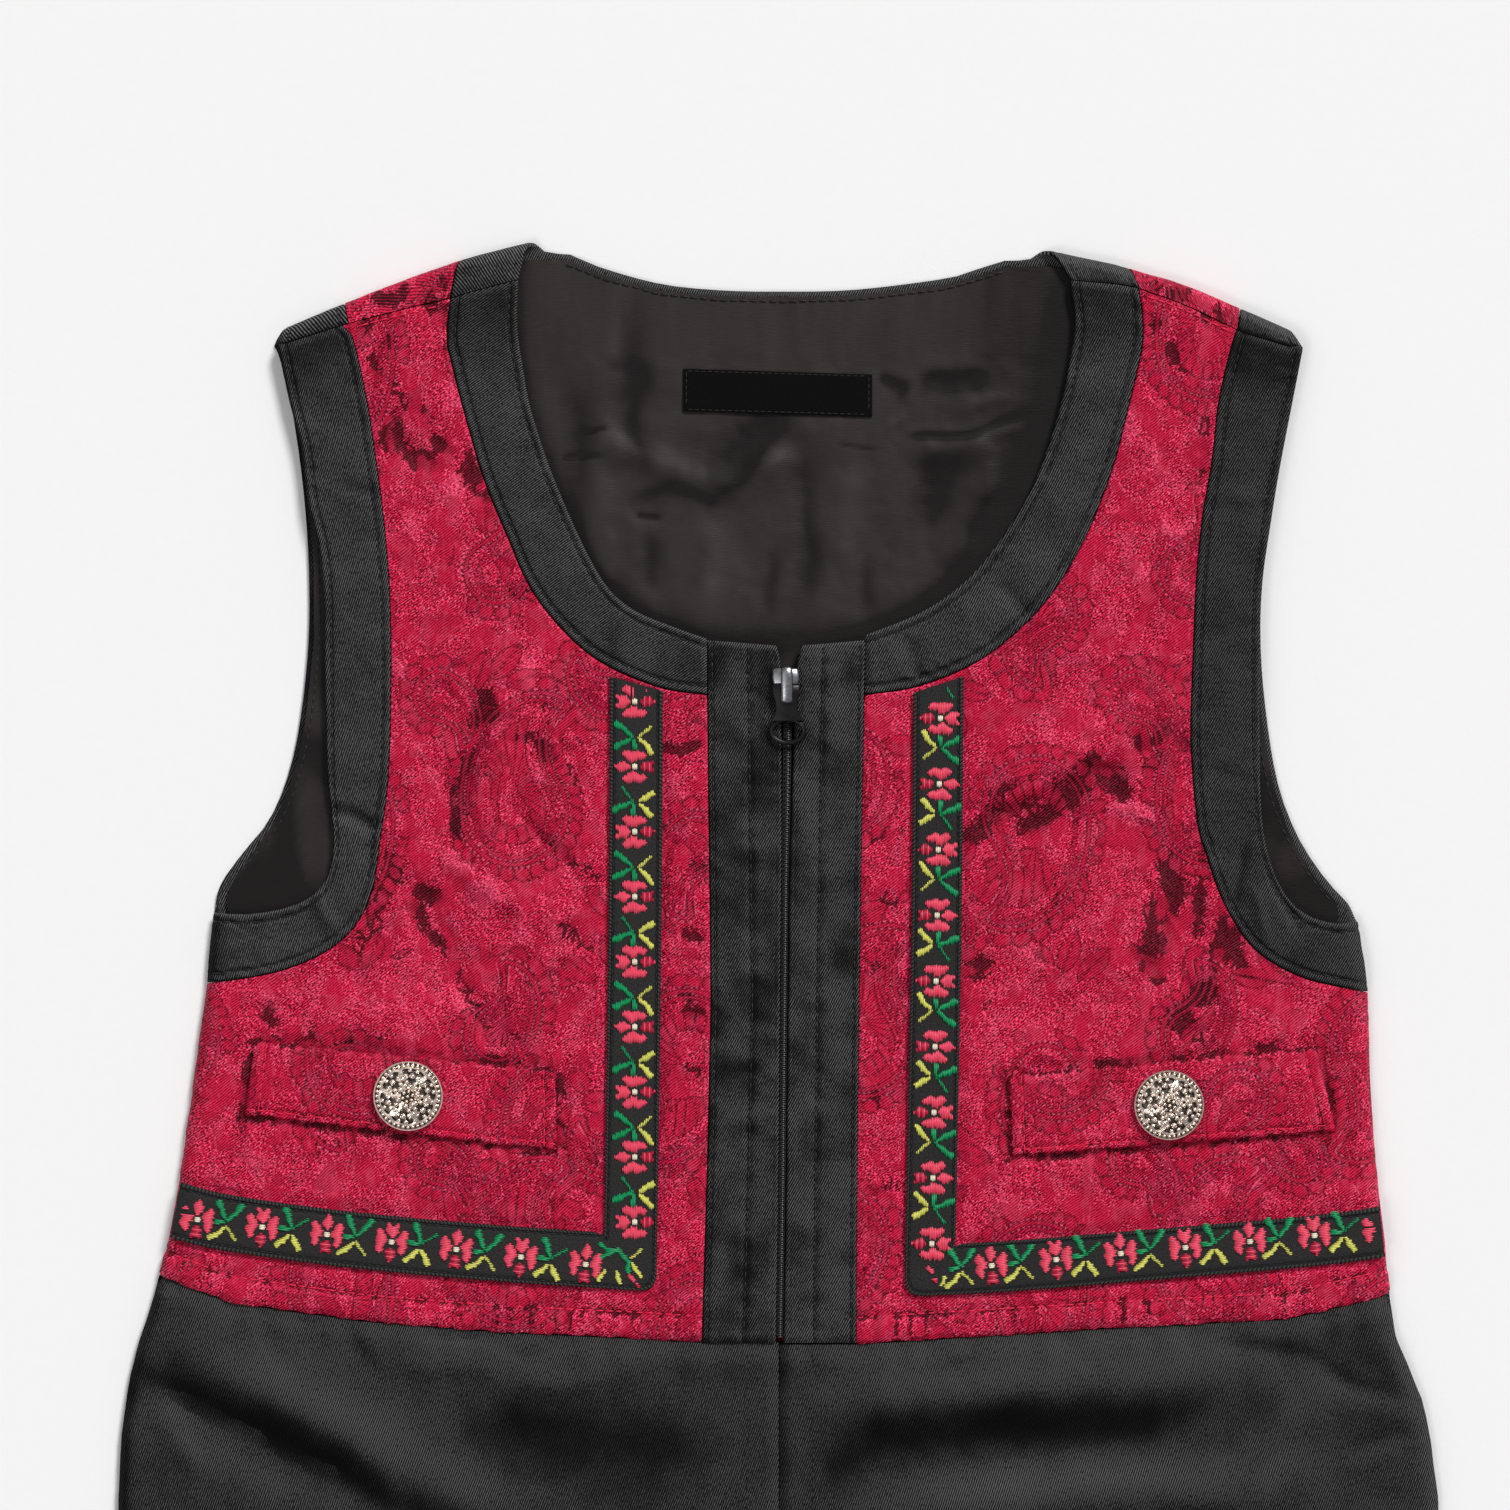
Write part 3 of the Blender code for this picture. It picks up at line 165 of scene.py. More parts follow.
BACK_NECK_SEAM = table(
    (9.6, -73.5), (17.5, -62), (23.4, -46), (27.6, -22), (28.8, 0.2), (28.2, 22), (24.8, 46), (19, 66),
    (11.4, 80.5))
SHOULDER = table(
    (21, -119.3), (16.4, -108.4), (12.1, -97.5), (8, -86.7), (4.3, -75.8), (1.4, -64.9), (0, -59),
    (1.9, 63.5), (3.9, 72.7), (5.6, 81), (7.4, 87.1), (9.4, 94.4), (12, 101.6), (15.2, 108.9),
    (18.3, 116.1), (21.5, 123.4))
# Depth of the shoulder seam below the fold: that depth and x.
SHOULDER_SEAM = table(
    (4, -119), (5.5, -104), (8.6, -79), (8.6, -60), (6.3, 70), (4.3, 86), (5.8, 112), (4.2, 124))
HEM = {
    "left": table(
        (250.1, -149.4), (256.6, -131.6), (261, -99.2), (263.6, -66.9), (265.1, -34.5), (266, -18.6)),
    "right": table(
        (266.4, 18.7), (264.3, 53.1), (262.2, 87.9), (260.5, 122.4), (254.6, 147.8))}
ZIP_LINE = table(
    (96, 2.4), (108.6, 2.2), (159.3, 1.4), (229.3, 0.7), (266.5, 0.1), (600, 0))
PLACKET = {
    "left": table(
        (95.5, -17.4), (135, -17), (183.5, -16.4), (220, -17.2), (266.5, -18.6)),
    "right": table(
        (95, 20.8), (135.2, 20), (190, 19.2), (246.2, 18.6), (266.5, 18.6))}
# Lower edge of the neck opening, ordered by x.
PLACKET_TOP = table(
    (70, -60), (86, -40), (92.5, -28), (96.2, -17.4), (97, 0), (95.4, 20.8), (91, 33), (82, 45.5), (70, 56))
PLACKET_GAP = table(
    (97.4, 2.9), (100.5, 2.2), (104, 1.65), (112, 1.6), (130, 1.3), (149, 0.95), (266.5, 0.9))
RIBBON_DOWN = {
    "left": table(
        (107, -28), (160, -28.3), (215, -29), (253.8, -29.6)),
    "right": table(
        (107, 32.4), (160, 32), (215, 31), (255, 30.2))}
RIBBON_OUT = {
    "left": table(
        (253.8, -29.6), (251.3, -67.4), (248, -103.6), (243.9, -133.7), (240.6, -147.6)),
    "right": table(
        (255, 30.2), (253.7, 55.8), (250.8, 92), (247.7, 128.2), (245.4, 147))}
RIBBON_WIDTH = {"left": (12.8, 13.5), "right": (12.1, 12.2)}
RIBBON_TOP = {"left": (108.9, 105.3), "right": (109.3, 105.3)}
FLAP = {"left": ((-126.7, 193.4), (-53.6, 200.1), (-53.3, 219.9), (-128.9, 211.2)),
        "right": ((55.3, 201.6), (129.6, 194.6), (134.5, 215.1), (56.2, 221.1))}
BUTTON = {"left": (-89.3, 206.4), "right": (93.9, 208.6)}
LABEL = ((-23.2, 30.9), (22.5, 32.3), (22.5, 42.6), (-23.2, 41.2))
SIGN = {"left": 1, "right": -1}
# Painted sheen: the way across the cloth towards the key light, and how strongly a slope leaning that way
# is painted lighter, or darker when it leans away.
SHEEN_WAY, SHEEN_GAIN = (0.53, 0.85), 2.6

# ------------------------------------------------------ folds of the laid cloth
FRONT_FOLDS = folds(
    (-64, 108, -72, 143, 1.8, 5), (-72.5, 112, -81, 143, -1, 4), (-78, 148, -54, 165, 1.3, 5),
    (-66, 138, -54, 150, -0.6, 4.5), (-90, 158, -67, 191, -1, 5), (-94, 44, -80, 55, -0.9, 6),
    (54, 135, 78, 121, 2, 5.5), (78, 121, 96, 112, 1.6, 5.5), (56, 147, 84, 136, -0.7, 5),
    (90, 148, 102, 174, -1, 7), (60, 189, 96, 176, -0.8, 6), (-112, 186, -80, 189, 0.9, 7),
    (-156, 277, -96, 306, -0.9, 8), (-134, 272, -72, 305, 2, 8), (-76, 301, -32, 287, -0.9, 11),
    (12, 281, 104, 274, 1.6, 8), (6, 297, 92, 288, -0.9, 9), (30, 309, 118, 302, 1.8, 8),
    (106, 266, 150, 277, -0.8, 7), (-18, 442, -78, 404, 1.8, 10), (18, 440, 84, 410, 1.6, 10),
    (-120, 372, -60, 352, 1.2, 12), (60, 350, 128, 378, 1.4, 12), (-132, 476, -64, 508, 1.5, 10),
    (52, 520, 128, 486, 1.4, 10))
LINING_FOLDS = folds(
    (-42, 49, -16, 60, 1, 4), (-16, 60, 1, 53, 1.2, 4), (34, 52, 50, 49, 1, 4))
# Finer creases that only the shown cloth has.
VEST_CREASES = folds(
    (-69.5, 110, -78, 143, -0.55, 1.3), (-68, 111, -56, 121, 0.35, 1.8), (-56, 121, -46, 138, 0.35, 1.8),
    (-57.5, 118, -51, 124, -0.6, 1.5), (-88, 156, -80, 163, -0.6, 1.6), (-84, 161, -70, 188, -0.4, 1.2),
    (-77, 149, -46, 170, -0.35, 1.4), (-62, 142, -46, 157, -0.45, 1.3), (-66, 136, -54, 150, -0.5, 1.6),
    (-93, 46, -84, 54, -0.5, 2), (-100, 152, -92, 170, -0.4, 1.6), (-104, 162, -96, 178, 0.3, 1.8),
    (47, 143, 74, 128, -0.6, 1.4), (74, 128, 84, 126, -0.7, 1.8), (76, 131, 97, 118, -0.4, 1.4),
    (48, 137, 70, 126, 0.4, 1.6), (86, 150, 100, 170, -0.35, 1.5), (98, 178, 108, 190, -0.35, 1.6),
    (60, 188, 90, 177, -0.35, 1.4), (-38, 116, -24, 118, -0.3, 1.1), (-17, 122, -21.5, 122.6, -0.5, 1.1),
    (-17.2, 135.5, -20.5, 135, -0.45, 1), (-17, 155.5, -21.5, 156.2, -0.5, 1.2),
    (-16.8, 169, -20.6, 168.4, -0.45, 1.1), (-17, 186.5, -21, 186.9, -0.5, 1.1),
    (-17.4, 197, -20.6, 196.2, -0.45, 1), (-17.6, 232, -21.4, 231, -0.5, 1.2),
    (20.3, 136, 24.6, 136.6, -0.5, 1.1), (20, 152, 24, 151.4, -0.45, 1.1),
    (19.6, 160, 23.4, 160.4, -0.45, 1), (19.3, 182, 23.4, 182.6, -0.5, 1.2),
    (19, 207, 23, 206.4, -0.5, 1.1), (19, 226, 22.6, 226.6, -0.45, 1), (112, 60, 108, 96, 0.25, 3),
    (-136, 190, -146, 236, 0.3, 3), (136, 190, 141, 236, 0.3, 3))
# Where the brocade falls into shade, and where its raised threads catch the light.
VEST_SHADES = folds(
    (-101.1, 19.8, -98.2, 21.7, 0.8, 2.2), (-95.1, 23.2, -93.4, 26.6, 0.6, 2.2),
    (-98.2, 13.5, -91.5, 15, 0.8, 1.7), (-90.3, 10.4, -90.3, 14, 0.8, 1.4),
    (-85.5, 13.5, -82.8, 15.2, 0.9, 1.6), (-84.2, 15.4, -83.8, 17.4, 0.8, 1.5),
    (-81.1, 14.5, -80.4, 21.7, 0.7, 1.3), (-81.8, 8.4, -80.1, 12.1, 0.6, 1.6),
    (-97, 19.5, -93.4, 18.3, 0.5, 1.2), (-93.4, 31.4, -92, 38.6, 0.4, 1.8),
    (-95.1, 44.7, -93.4, 49.5, 0.6, 2), (-83, 48.3, -81.8, 51.2, 0.6, 1.8),
    (-74.6, 50.7, -72.7, 57.9, 0.5, 1.8), (-99.5, 26, -96, 34, 0.35, 2), (89.6, 10.9, 92, 12.1, 0.7, 1.5),
    (93.2, 12.6, 98, 14, 0.8, 1.5), (89.6, 19.3, 91.5, 21.7, 0.9, 1.7), (93.9, 25.3, 95.8, 29.5, 0.8, 1.4),
    (102.4, 16.9, 103.6, 21.7, 0.6, 1.2), (105.3, 14.5, 106.9, 21.7, 0.5, 1.2),
    (99.2, 10.9, 98, 14.5, 0.4, 1.5), (96, 29.5, 101, 36, 0.35, 1.2), (103, 41, 102, 57.9, 0.45, 1.6),
    (59.4, 142.9, 68.3, 135.9, 1, 2.6), (68.3, 135.9, 73.1, 129.1, 1, 3.2), (73.9, 128.4, 78, 125, 1, 3),
    (78.2, 126.7, 83.8, 134.5, 1.1, 2.6), (45.1, 145.3, 51.4, 139.5, 0.8, 2.3),
    (50.9, 138.8, 61.8, 134, 0.5, 2.6), (50.5, 135.2, 63, 128.4, 0.45, 1.9),
    (85.2, 121.2, 93.4, 120.2, 0.6, 2.3), (87.6, 127.5, 93.9, 125.5, 0.5, 1.9),
    (93.4, 116.4, 99.7, 122.6, 0.55, 2.3), (92.5, 147.7, 95.8, 160.8, 0.5, 3),
    (90, 159.3, 89.6, 174.3, 0.65, 2.3), (96.3, 154.5, 93.4, 171.9, 0.6, 1.9),
    (102.1, 154.5, 100.7, 167, 0.65, 1.9), (106.9, 159.3, 107.9, 174.3, 0.6, 1.9),
    (84.7, 171.4, 89.6, 174.3, 0.5, 2.3), (110.3, 164.2, 111.3, 177.7, 0.5, 1.9),
    (99.2, 179.8, 96.8, 191.2, 0.5, 1.9), (103.1, 179.8, 101.1, 184.9, 0.9, 1.9),
    (89.6, 174.3, 92, 180.1, 0.7, 2.3), (45.6, 178.2, 50.5, 173.3, 0.65, 2.6),
    (102.6, 144.8, 102.6, 151.1, 0.5, 2.3), (106, 166.6, 104.5, 183.5, 0.55, 1.9),
    (111.3, 173.8, 116.6, 182.5, 0.4, 2.3), (67.8, 155, 64.5, 166.6, 0.3, 3.2),
    (50.9, 154.5, 60.6, 152.1, 0.3, 2.6), (92, 185.4, 101.6, 193.1, 0.4, 3.2),
    (-90.3, 38.1, -83.8, 43.5, 0.5, 2.3), (-92.5, 41.5, -91, 51.2, 0.5, 1.9),
    (-85.7, 51.2, -84.2, 56, 1, 1.9), (-83.3, 47.8, -78.9, 52.1, 0.9, 1.6),
    (-90, 51.2, -87.1, 55, 0.8, 1.6), (-77, 55.5, -69.8, 63.2, 0.5, 2.3),
    (-95.4, 45.9, -93.4, 53.1, 0.4, 1.9), (-70.7, 108.6, -72.7, 117.3, 0.95, 1.9),
    (-68.1, 111, -70.7, 116.4, 0.8, 1.6), (-74.6, 123.6, -78, 134.7, 0.7, 1.6),
    (-77.5, 132.8, -78.2, 145.3, 0.8, 1.4), (-65.4, 121.2, -57.7, 119.5, 0.6, 1.4),
    (-57.7, 121.2, -54.6, 126, 1.1, 1.9), (-50.9, 126.7, -48, 133.3, 0.4, 1.6),
    (-87.9, 156.9, -82.3, 158.4, 0.9, 1.9), (-89.6, 160.5, -86.7, 162.7, 0.8, 1.6),
    (-86.7, 162.7, -81.8, 170.9, 0.7, 1.6), (-81.8, 170.2, -73.6, 184.4, 0.45, 1.4),
    (-73.6, 185.4, -69.3, 193.6, 0.45, 1.6), (-95.8, 151.6, -102.1, 172.8, 0.45, 1.9),
    (-92.5, 152.1, -98.2, 171.4, 0.35, 1.6), (-94.9, 146.8, -92.5, 155, 0.5, 1.9),
    (-55.8, 144.4, -42.7, 154.5, 0.4, 1.9), (-52.9, 165.1, -45.6, 171.4, 0.45, 1.9),
    (-56.5, 111, -52.9, 115.9, 0.3, 2.3), (-124.8, 186.4, -121.4, 189.3, 0.55, 2.3),
    (-111.3, 191.2, -115.6, 193.6, 0.5, 1.9), (-105.5, 193.1, -95.4, 193.6, 0.5, 1.6),
    (-67.4, 191.7, -63.5, 192.2, 0.5, 1.9), (-67.8, 152.1, -58.7, 155.7, 0.3, 2.6),
    (-65.9, 85.9, -57.7, 84, 0.4, 2.3), (-27.8, 122.6, -19.1, 122.1, 0.7, 1.4),
    (-22, 150.2, -18.1, 152.6, 0.5, 1.9), (-23.4, 166.6, -19.1, 168.5, 0.6, 1.9),
    (-22.9, 185.9, -18.1, 186.8, 0.8, 1.9), (-22.5, 198.4, -19.1, 201.3, 0.5, 1.9),
    (-21, 231.7, -17.6, 232.7, 0.6, 1.6), (-23.9, 181.5, -21.5, 183.9, 0.4, 1.6),
    (21, 144.4, 30.2, 142.9, 0.4, 1.9), (24.4, 158.8, 29.2, 159.8, 0.5, 1.9),
    (22.5, 176.7, 26.3, 175.7, 0.4, 1.6), (21.5, 206.4, 25.3, 208.6, 0.5, 1.9),
    (23.4, 231.7, 29.2, 226.9, 0.35, 1.9))
VEST_LIGHTS = folds(
    (-80.4, 34.3, -78.9, 41.5, 0.7, 1.7), (-77.5, 57.5, -79.9, 64.7, 1, 2.4),
    (-88.6, 66.6, -87.6, 73.9, 0.7, 1.7), (-65.4, 91.2, -65.9, 101.4, 0.8, 1.2),
    (-62, 101.4, -60.1, 109.1, 0.9, 1.4), (-57.7, 96.6, -61.1, 106.2, 0.6, 1.2),
    (-91.5, 102.4, -90.5, 107.2, 0.6, 1.7), (-52.4, 100.9, -52.9, 107.2, 0.6, 1.7),
    (-88.1, 119.3, -87.1, 123.6, 0.7, 1.7), (-85.2, 128.9, -82.8, 130.4, 0.6, 1.7),
    (-57.7, 128.9, -56.2, 131.8, 0.8, 1.4), (-56.5, 120.2, -53.8, 121.7, 0.5, 1.4),
    (-80.4, 149.7, -74.1, 152.6, 0.9, 1.9), (-72.2, 154, -67.8, 159.8, 1, 2.2),
    (-63, 161.3, -61.1, 169.5, 0.7, 1.4), (-56.2, 171.4, -54.8, 176.7, 0.6, 1.4),
    (-92.9, 150.2, -96.3, 154.5, 0.4, 1.4), (-124.8, 180.6, -122.4, 183.9, 0.6, 1.4),
    (-117.6, 179.6, -116.6, 183.5, 0.5, 1.2), (-113.2, 181.1, -111.3, 184.9, 0.5, 1.2),
    (-103.1, 182.5, -102.1, 186.4, 0.6, 1.4), (-97.3, 181.1, -95.8, 193.1, 0.5, 1.2),
    (-91, 183.5, -88.6, 196, 0.6, 1.4), (-78, 182.5, -76.5, 187.8, 0.4, 1.4),
    (-126.3, 221.1, -124.3, 227.9, 0.6, 1.7), (-110.3, 222.1, -107.9, 232.2, 0.6, 1.7),
    (-91.5, 226.4, -90.5, 231.7, 0.5, 1.4), (-144.6, 197.9, -139.8, 207.6, 0.4, 1.9),
    (83.8, 38.1, 85.2, 48.8, 0.6, 1.4), (89.6, 50.2, 91.5, 57, 0.7, 1.4), (92, 68.6, 96.3, 71.5, 0.9, 1.7),
    (85.7, 77.2, 87.1, 82.1, 0.9, 1.7), (93.9, 83, 95.4, 84, 0.7, 1.4), (79.9, 85.9, 81.4, 91.2, 0.5, 1.2),
    (67.4, 86.4, 69.3, 92.2, 0.6, 1.2), (84.2, 96.1, 85.7, 101.4, 0.5, 1.2),
    (58.7, 106.2, 61.6, 108.6, 0.4, 1.7), (79.4, 111, 80.9, 116.4, 0.4, 1.4),
    (89.6, 98, 91.5, 101.4, 0.4, 1.4), (81.8, 135.9, 90, 139, 1, 2.2), (49.5, 148.7, 52.4, 151.6, 0.5, 1.7),
    (62, 170.9, 63.5, 176.7, 0.7, 1.9), (50.5, 187.8, 52.4, 191.7, 0.5, 1.7),
    (138.3, 182.5, 140.7, 189.3, 0.6, 1.4), (118, 184.4, 123.4, 193.1, 0.5, 1.9),
    (134.9, 227.4, 140.7, 229.3, 0.6, 2.2), (125.8, 185.9, 128.7, 190.7, 0.4, 1.4),
    (53.3, 226.9, 54.8, 232.7, 0.5, 1.7), (72.2, 222.1, 75.6, 225, 0.4, 1.7),
    (101.6, 226.9, 108.9, 231.7, 0.4, 1.9), (63, 113.5, 65.4, 120.7, 0.4, 1.4),
    (22, 115.9, 24.4, 120.7, 0.4, 1.4), (-25.8, 130.4, -22.9, 135.2, 0.4, 1.4),
    (-24.4, 212.4, -21.5, 217.3, 0.4, 1.4))
LINING_SHADES = folds(
    (2, 43, -14, 59, 0.75, 3.4), (-0.7, 41.5, -16.2, 55.5, 0.5, 5.5), (-34.5, 62.4, -24.9, 59.5, 0.4, 2.4),
    (-24.9, 59.5, -15.7, 64.7, 0.45, 2.2), (-33.6, 66.6, -29.2, 67.4, 0.9, 0.8),
    (-51.9, 52.1, -42.7, 52.9, 1, 0.8), (-48.5, 45.4, -42.2, 43.9, 0.9, 0.7),
    (-49, 36.7, -49, 72.4, 0.45, 3.4), (-34.5, 26.6, -34, 53.6, 0.5, 3.1),
    (-30.9, 72.4, -31.1, 85, 0.4, 2.2), (-2.2, 76.3, -1.9, 89.8, 0.4, 2.2), (6.5, 54.6, 6, 87.4, 0.45, 3.1),
    (22.5, 77.2, 22, 88.4, 0.4, 1.9), (37.9, 49.7, 36.5, 67.6, 0.6, 4.8),
    (24.4, 34.8, 30.7, 37.2, 0.9, 1.4), (35.5, 35.2, 49.5, 33.8, 1.2, 2.2), (34, 46.3, 46.6, 45.4, 1.3, 1),
    (46.6, 45.1, 59.1, 41.8, 0.6, 1), (14.7, 49.7, 22.5, 50.2, 0.5, 0.7),
    (43.7, 23.2, 63.5, 22.7, 0.6, 1.4), (47.6, 72.4, 55.8, 60.4, 0.5, 2.9), (-40, 28, -37, 36, 0.4, 3),
    (-19.1, 73.6, -21.5, 86.9, 0.25, 2.4))
LINING_LIGHTS = folds(
    (-42.2, 57.9, -41.8, 86.9, 0.35, 2.9), (-19.1, 67.6, -18.1, 91.7, 0.6, 5.8),
    (17.6, 55.5, 17.1, 77.2, 0.4, 3.9), (50.9, 46.3, 56.7, 44.4, 0.5, 1.4),
    (-40.8, 21.7, -40.3, 29, 0.4, 1.9), (12.3, 33.8, 14.2, 45.9, 0.25, 2.4),
    (43.7, 38.6, 55.8, 37.7, 0.5, 1.4), (26.8, 43.5, 31.6, 41.5, 0.4, 1.2),
    (-9.4, 62.8, -4.6, 57.9, 0.3, 2.4))
BAND_CREASES = folds(
    (112, 147, 109.5, 161, -0.7, 1.6), (119.5, 152, 124.5, 165, -0.6, 1.5), (106, 150, 101.5, 158, 0.5, 2),
    (115, 156, 116.5, 168, 0.4, 1.8), (104, 128, 113, 131, -0.3, 1.6), (-109, 137, -98, 142, -0.7, 1.5),
    (-100, 149, -98.5, 141, -0.45, 1.5), (-112, 158, -106, 166, 0.4, 1.8),
    (-126, 164, -128, 176, -0.35, 1.6), (-106, 60, -96, 63, -0.25, 1.6), (-60, 66, -52, 60, -0.3, 1.8),
    (52, 84, 62, 90, -0.35, 1.8), (30, 96, 34, 106, -0.3, 1.6), (-36, 90, -40, 102, 0.3, 1.8),
    (100, 60, 116, 62, 0.25, 2.2), (102, 96, 114, 92, -0.25, 1.8))
TROUSER_CREASES = folds(
    (-154, 278, -99, 306, -0.7, 5), (-140, 271, -80, 304, 0.7, 5.5), (-74, 291, -28, 291, -0.6, 8),
    (12, 280, 104, 274, 0.5, 6.5), (9, 296, 92, 285, -0.6, 7), (30, 308, 110, 300, 0.6, 6),
    (-60, 276, -30, 272, 0.5, 4), (-150, 330, -90, 352, 0.9, 7), (70, 330, 150, 318, 0.9, 7),
    (-120, 400, -60, 420, -0.8, 7), (50, 396, 120, 410, -0.8, 8), (-120, 540, -40, 556, 0.7, 7),
    (40, 470, 120, 458, 0.8, 7), (36, 548, 110, 560, 0.7, 6), (-84, 264, -62, 270, -0.4, 1.6),
    (-62, 270, -48, 264, -0.35, 1.6), (-88, 270, -70, 276, 0.3, 2.2), (-104, 264, -96, 273, -0.3, 2),
    (-128, 262, -120, 272, -0.3, 2.4), (104, 266, 152, 278, -0.4, 2.6), (111, 302, 124, 288, -0.5, 2.6),
    (138, 291, 150, 286, -0.4, 2.2), (-149, 285, -141, 298, 0.5, 3), (-153, 276, -96, 304, -0.4, 3),
    (40, 268, 46, 276, -0.25, 2), (70, 266, 78, 274, -0.25, 2))
# Painted light and shade along the trousers' folds: a positive rise is painted lighter, a negative one
# darker.
TROUSER_LIGHT_AND_SHADE = folds(
    (-155.2, 279.1, -130.1, 288.7, -0.24, 4.7), (-130.1, 288.7, -101.1, 304.2, -0.35, 6.1),
    (-141, 271.8, -118, 284.3, 0.21, 5.4), (-116, 284.3, -84.7, 303.2, 0.24, 6.8),
    (-78.2, 289.7, -21.5, 292.3, -0.35, 9.5), (-66.5, 299, -33.6, 300.3, -0.17, 8.1),
    (-86.7, 266.5, -33.6, 276.4, 0.21, 8.1), (8.7, 295.7, 53.4, 290.9, -0.39, 7.4),
    (53.4, 290.9, 94.4, 283.6, -0.32, 6.1), (9.9, 279.8, 96.8, 273, 0.21, 6.8),
    (24.4, 306.4, 101.6, 299.3, 0.24, 6.1), (34, 272.3, 50.9, 266.7, -0.24, 1.3),
    (125.8, 277.6, 117.3, 301.8, 0.21, 3.5), (119.9, 278.8, 107.7, 289.7, -0.17, 4.1),
    (133, 280, 149.9, 282.4, -0.24, 5.4), (-150, 330, -90, 352, 0.21, 9.5), (70, 330, 150, 318, 0.21, 9.5),
    (-120, 400, -60, 420, -0.21, 10.8), (50, 396, 120, 410, -0.21, 10.8), (-124, 470, -50, 452, 0.21, 10.8),
    (50, 478, 120, 462, -0.21, 10.8), (-120, 540, -40, 556, -0.21, 9.5), (36, 548, 110, 560, 0.21, 9.5))
LINING_CREASES = folds(
    (44, 23, 62, 25, 0.4, 2.4), (-50, 34, -47, 74, -0.5, 4), (-38, 28, -35, 54, -0.45, 3.4),
    (-31, 73, -31, 86, -0.4, 2.6), (-2, 76, -2, 90, -0.4, 2.6), (6.3, 54, 5.6, 88, -0.5, 3),
    (22, 77, 21, 90, -0.35, 2.6), (38, 50, 33, 70, -0.45, 3.4), (50, 55, 44, 78, 0.5, 4),
    (-20, 70, -22, 90, 0.5, 4), (-44, 40, -42, 76, 0.5, 3), (-112, 60, -108, 120, 0.5, 2),
    (-108, 130, -122, 150, 0.5, 3), (122, 130, 130, 152, 0.5, 3), (118, 90, 119, 124, 0.4, 1.6))


# ------------------------------------------------------------ lines and grids
def at(rows, drop):
    """x of an outline at each drop, held beyond its ends."""
    return np.interp(drop, [row.drop for row in rows], [row.x for row in rows])


def across(rows, x):
    """First column of a table that is ordered by x."""
    return np.interp(x, [row.x for row in rows], [row.drop for row in rows])


def smooth(low, high, value):
    """0 at low and 1 at high, easing in and out; high may be the smaller."""
    part = np.clip((value - low) / (high - low), 0.0, 1.0)
    return part * part * (3 - 2 * part)


def bell(value, width):
    """1 where the value is zero, fading smoothly on both sides."""
    return np.exp(-(value / width) ** 2)


def line_of(rows, steps=10):
    """A smooth Catmull-Rom line through the rows, as an array of (x, drop)."""
    points = np.array([(row.x, row.drop) for row in rows], float)
    ends = np.vstack([2 * points[0] - points[1], points, 2 * points[-1] - points[-2]])
    t = (np.arange(steps) / steps)[:, None]
    runs = [0.5 * (2 * b + (c - a) * t + (2 * a - 5 * b + 4 * c - d) * t * t
                   + (3 * b - a - 3 * c + d) * t ** 3)
            for a, b, c, d in zip(ends, ends[1:], ends[2:], ends[3:])]
    return np.vstack(runs + [points[-1:]])


def travelled(line):
    """Length of a line up to each of its points."""
    return np.concatenate([[0.0], np.cumsum(np.linalg.norm(np.diff(line, axis=0), axis=1))])


def pick(line, parts):
    """Points at the given parts of a line's length."""
    run = travelled(line)
    want = np.clip(parts, 0.0, 1.0) * run[-1]
    return np.column_stack([np.interp(want, run, line[:, k]) for k in range(line.shape[1])])


def even(count):
    """Parts from 0 to 1 in this many even steps."""
    return np.linspace(0.0, 1.0, count + 1)


def shift(line, distance):
    """The line moved sideways, to the left of its direction for positive."""
    along = np.gradient(line, axis=0)
    along /= np.linalg.norm(along, axis=1)[:, None]
    return line + np.column_stack([along[:, 1], -along[:, 0]]) * distance


def below(line, drop_at):
    """The part of a line that starts at or under drop_at(x)."""
    first = int(np.argmax(line[:, 1] >= drop_at(line[:, 0])))
    start = line[first].copy()
    if first:
        start = (line[first - 1] + line[first]) / 2
    start[1] = drop_at(start[0])
    return np.vstack([start, line[first:]])


def rule(first, second, columns):
    """Grid (rows, columns, 2) between two lines that have equally many points."""
    columns = np.asarray(columns)[None, :, None]
    return first[:, None, :] * (1 - columns) + second[:, None, :] * columns


def finer(width, inset, size):
    """Parts across a strip, closer around its edges and its stitching."""
    near = [0.0, 0.2, 0.5, 0.9, inset - 0.5, inset - 0.2, inset, inset + 0.2, inset + 0.5]
    middle = list(np.linspace(inset + 1.1, width - inset - 1.1,
                              max(int((width - 2 * inset) / size), 2)))
    found = near + middle + [width - value for value in near[::-1]]
    while (len(found) - 1) % COARSE:
        gaps = np.diff(found)
        widest = int(np.argmax(gaps))
        found.insert(widest + 1, found[widest] + gaps[widest] / 2)
    return np.array(found) / width


def meet(places, row, drop_at, reach):
    """Bend the rows near one end so that the end row lies on drop = drop_at(x)."""
    end = places[row].copy()
    miss = drop_at(end[:, 0]) - end[:, 1]
    gone = np.abs(places[:, :, 1] - end[:, 1])
    places[:, :, 1] += miss * smooth(reach, 0.0, gone)


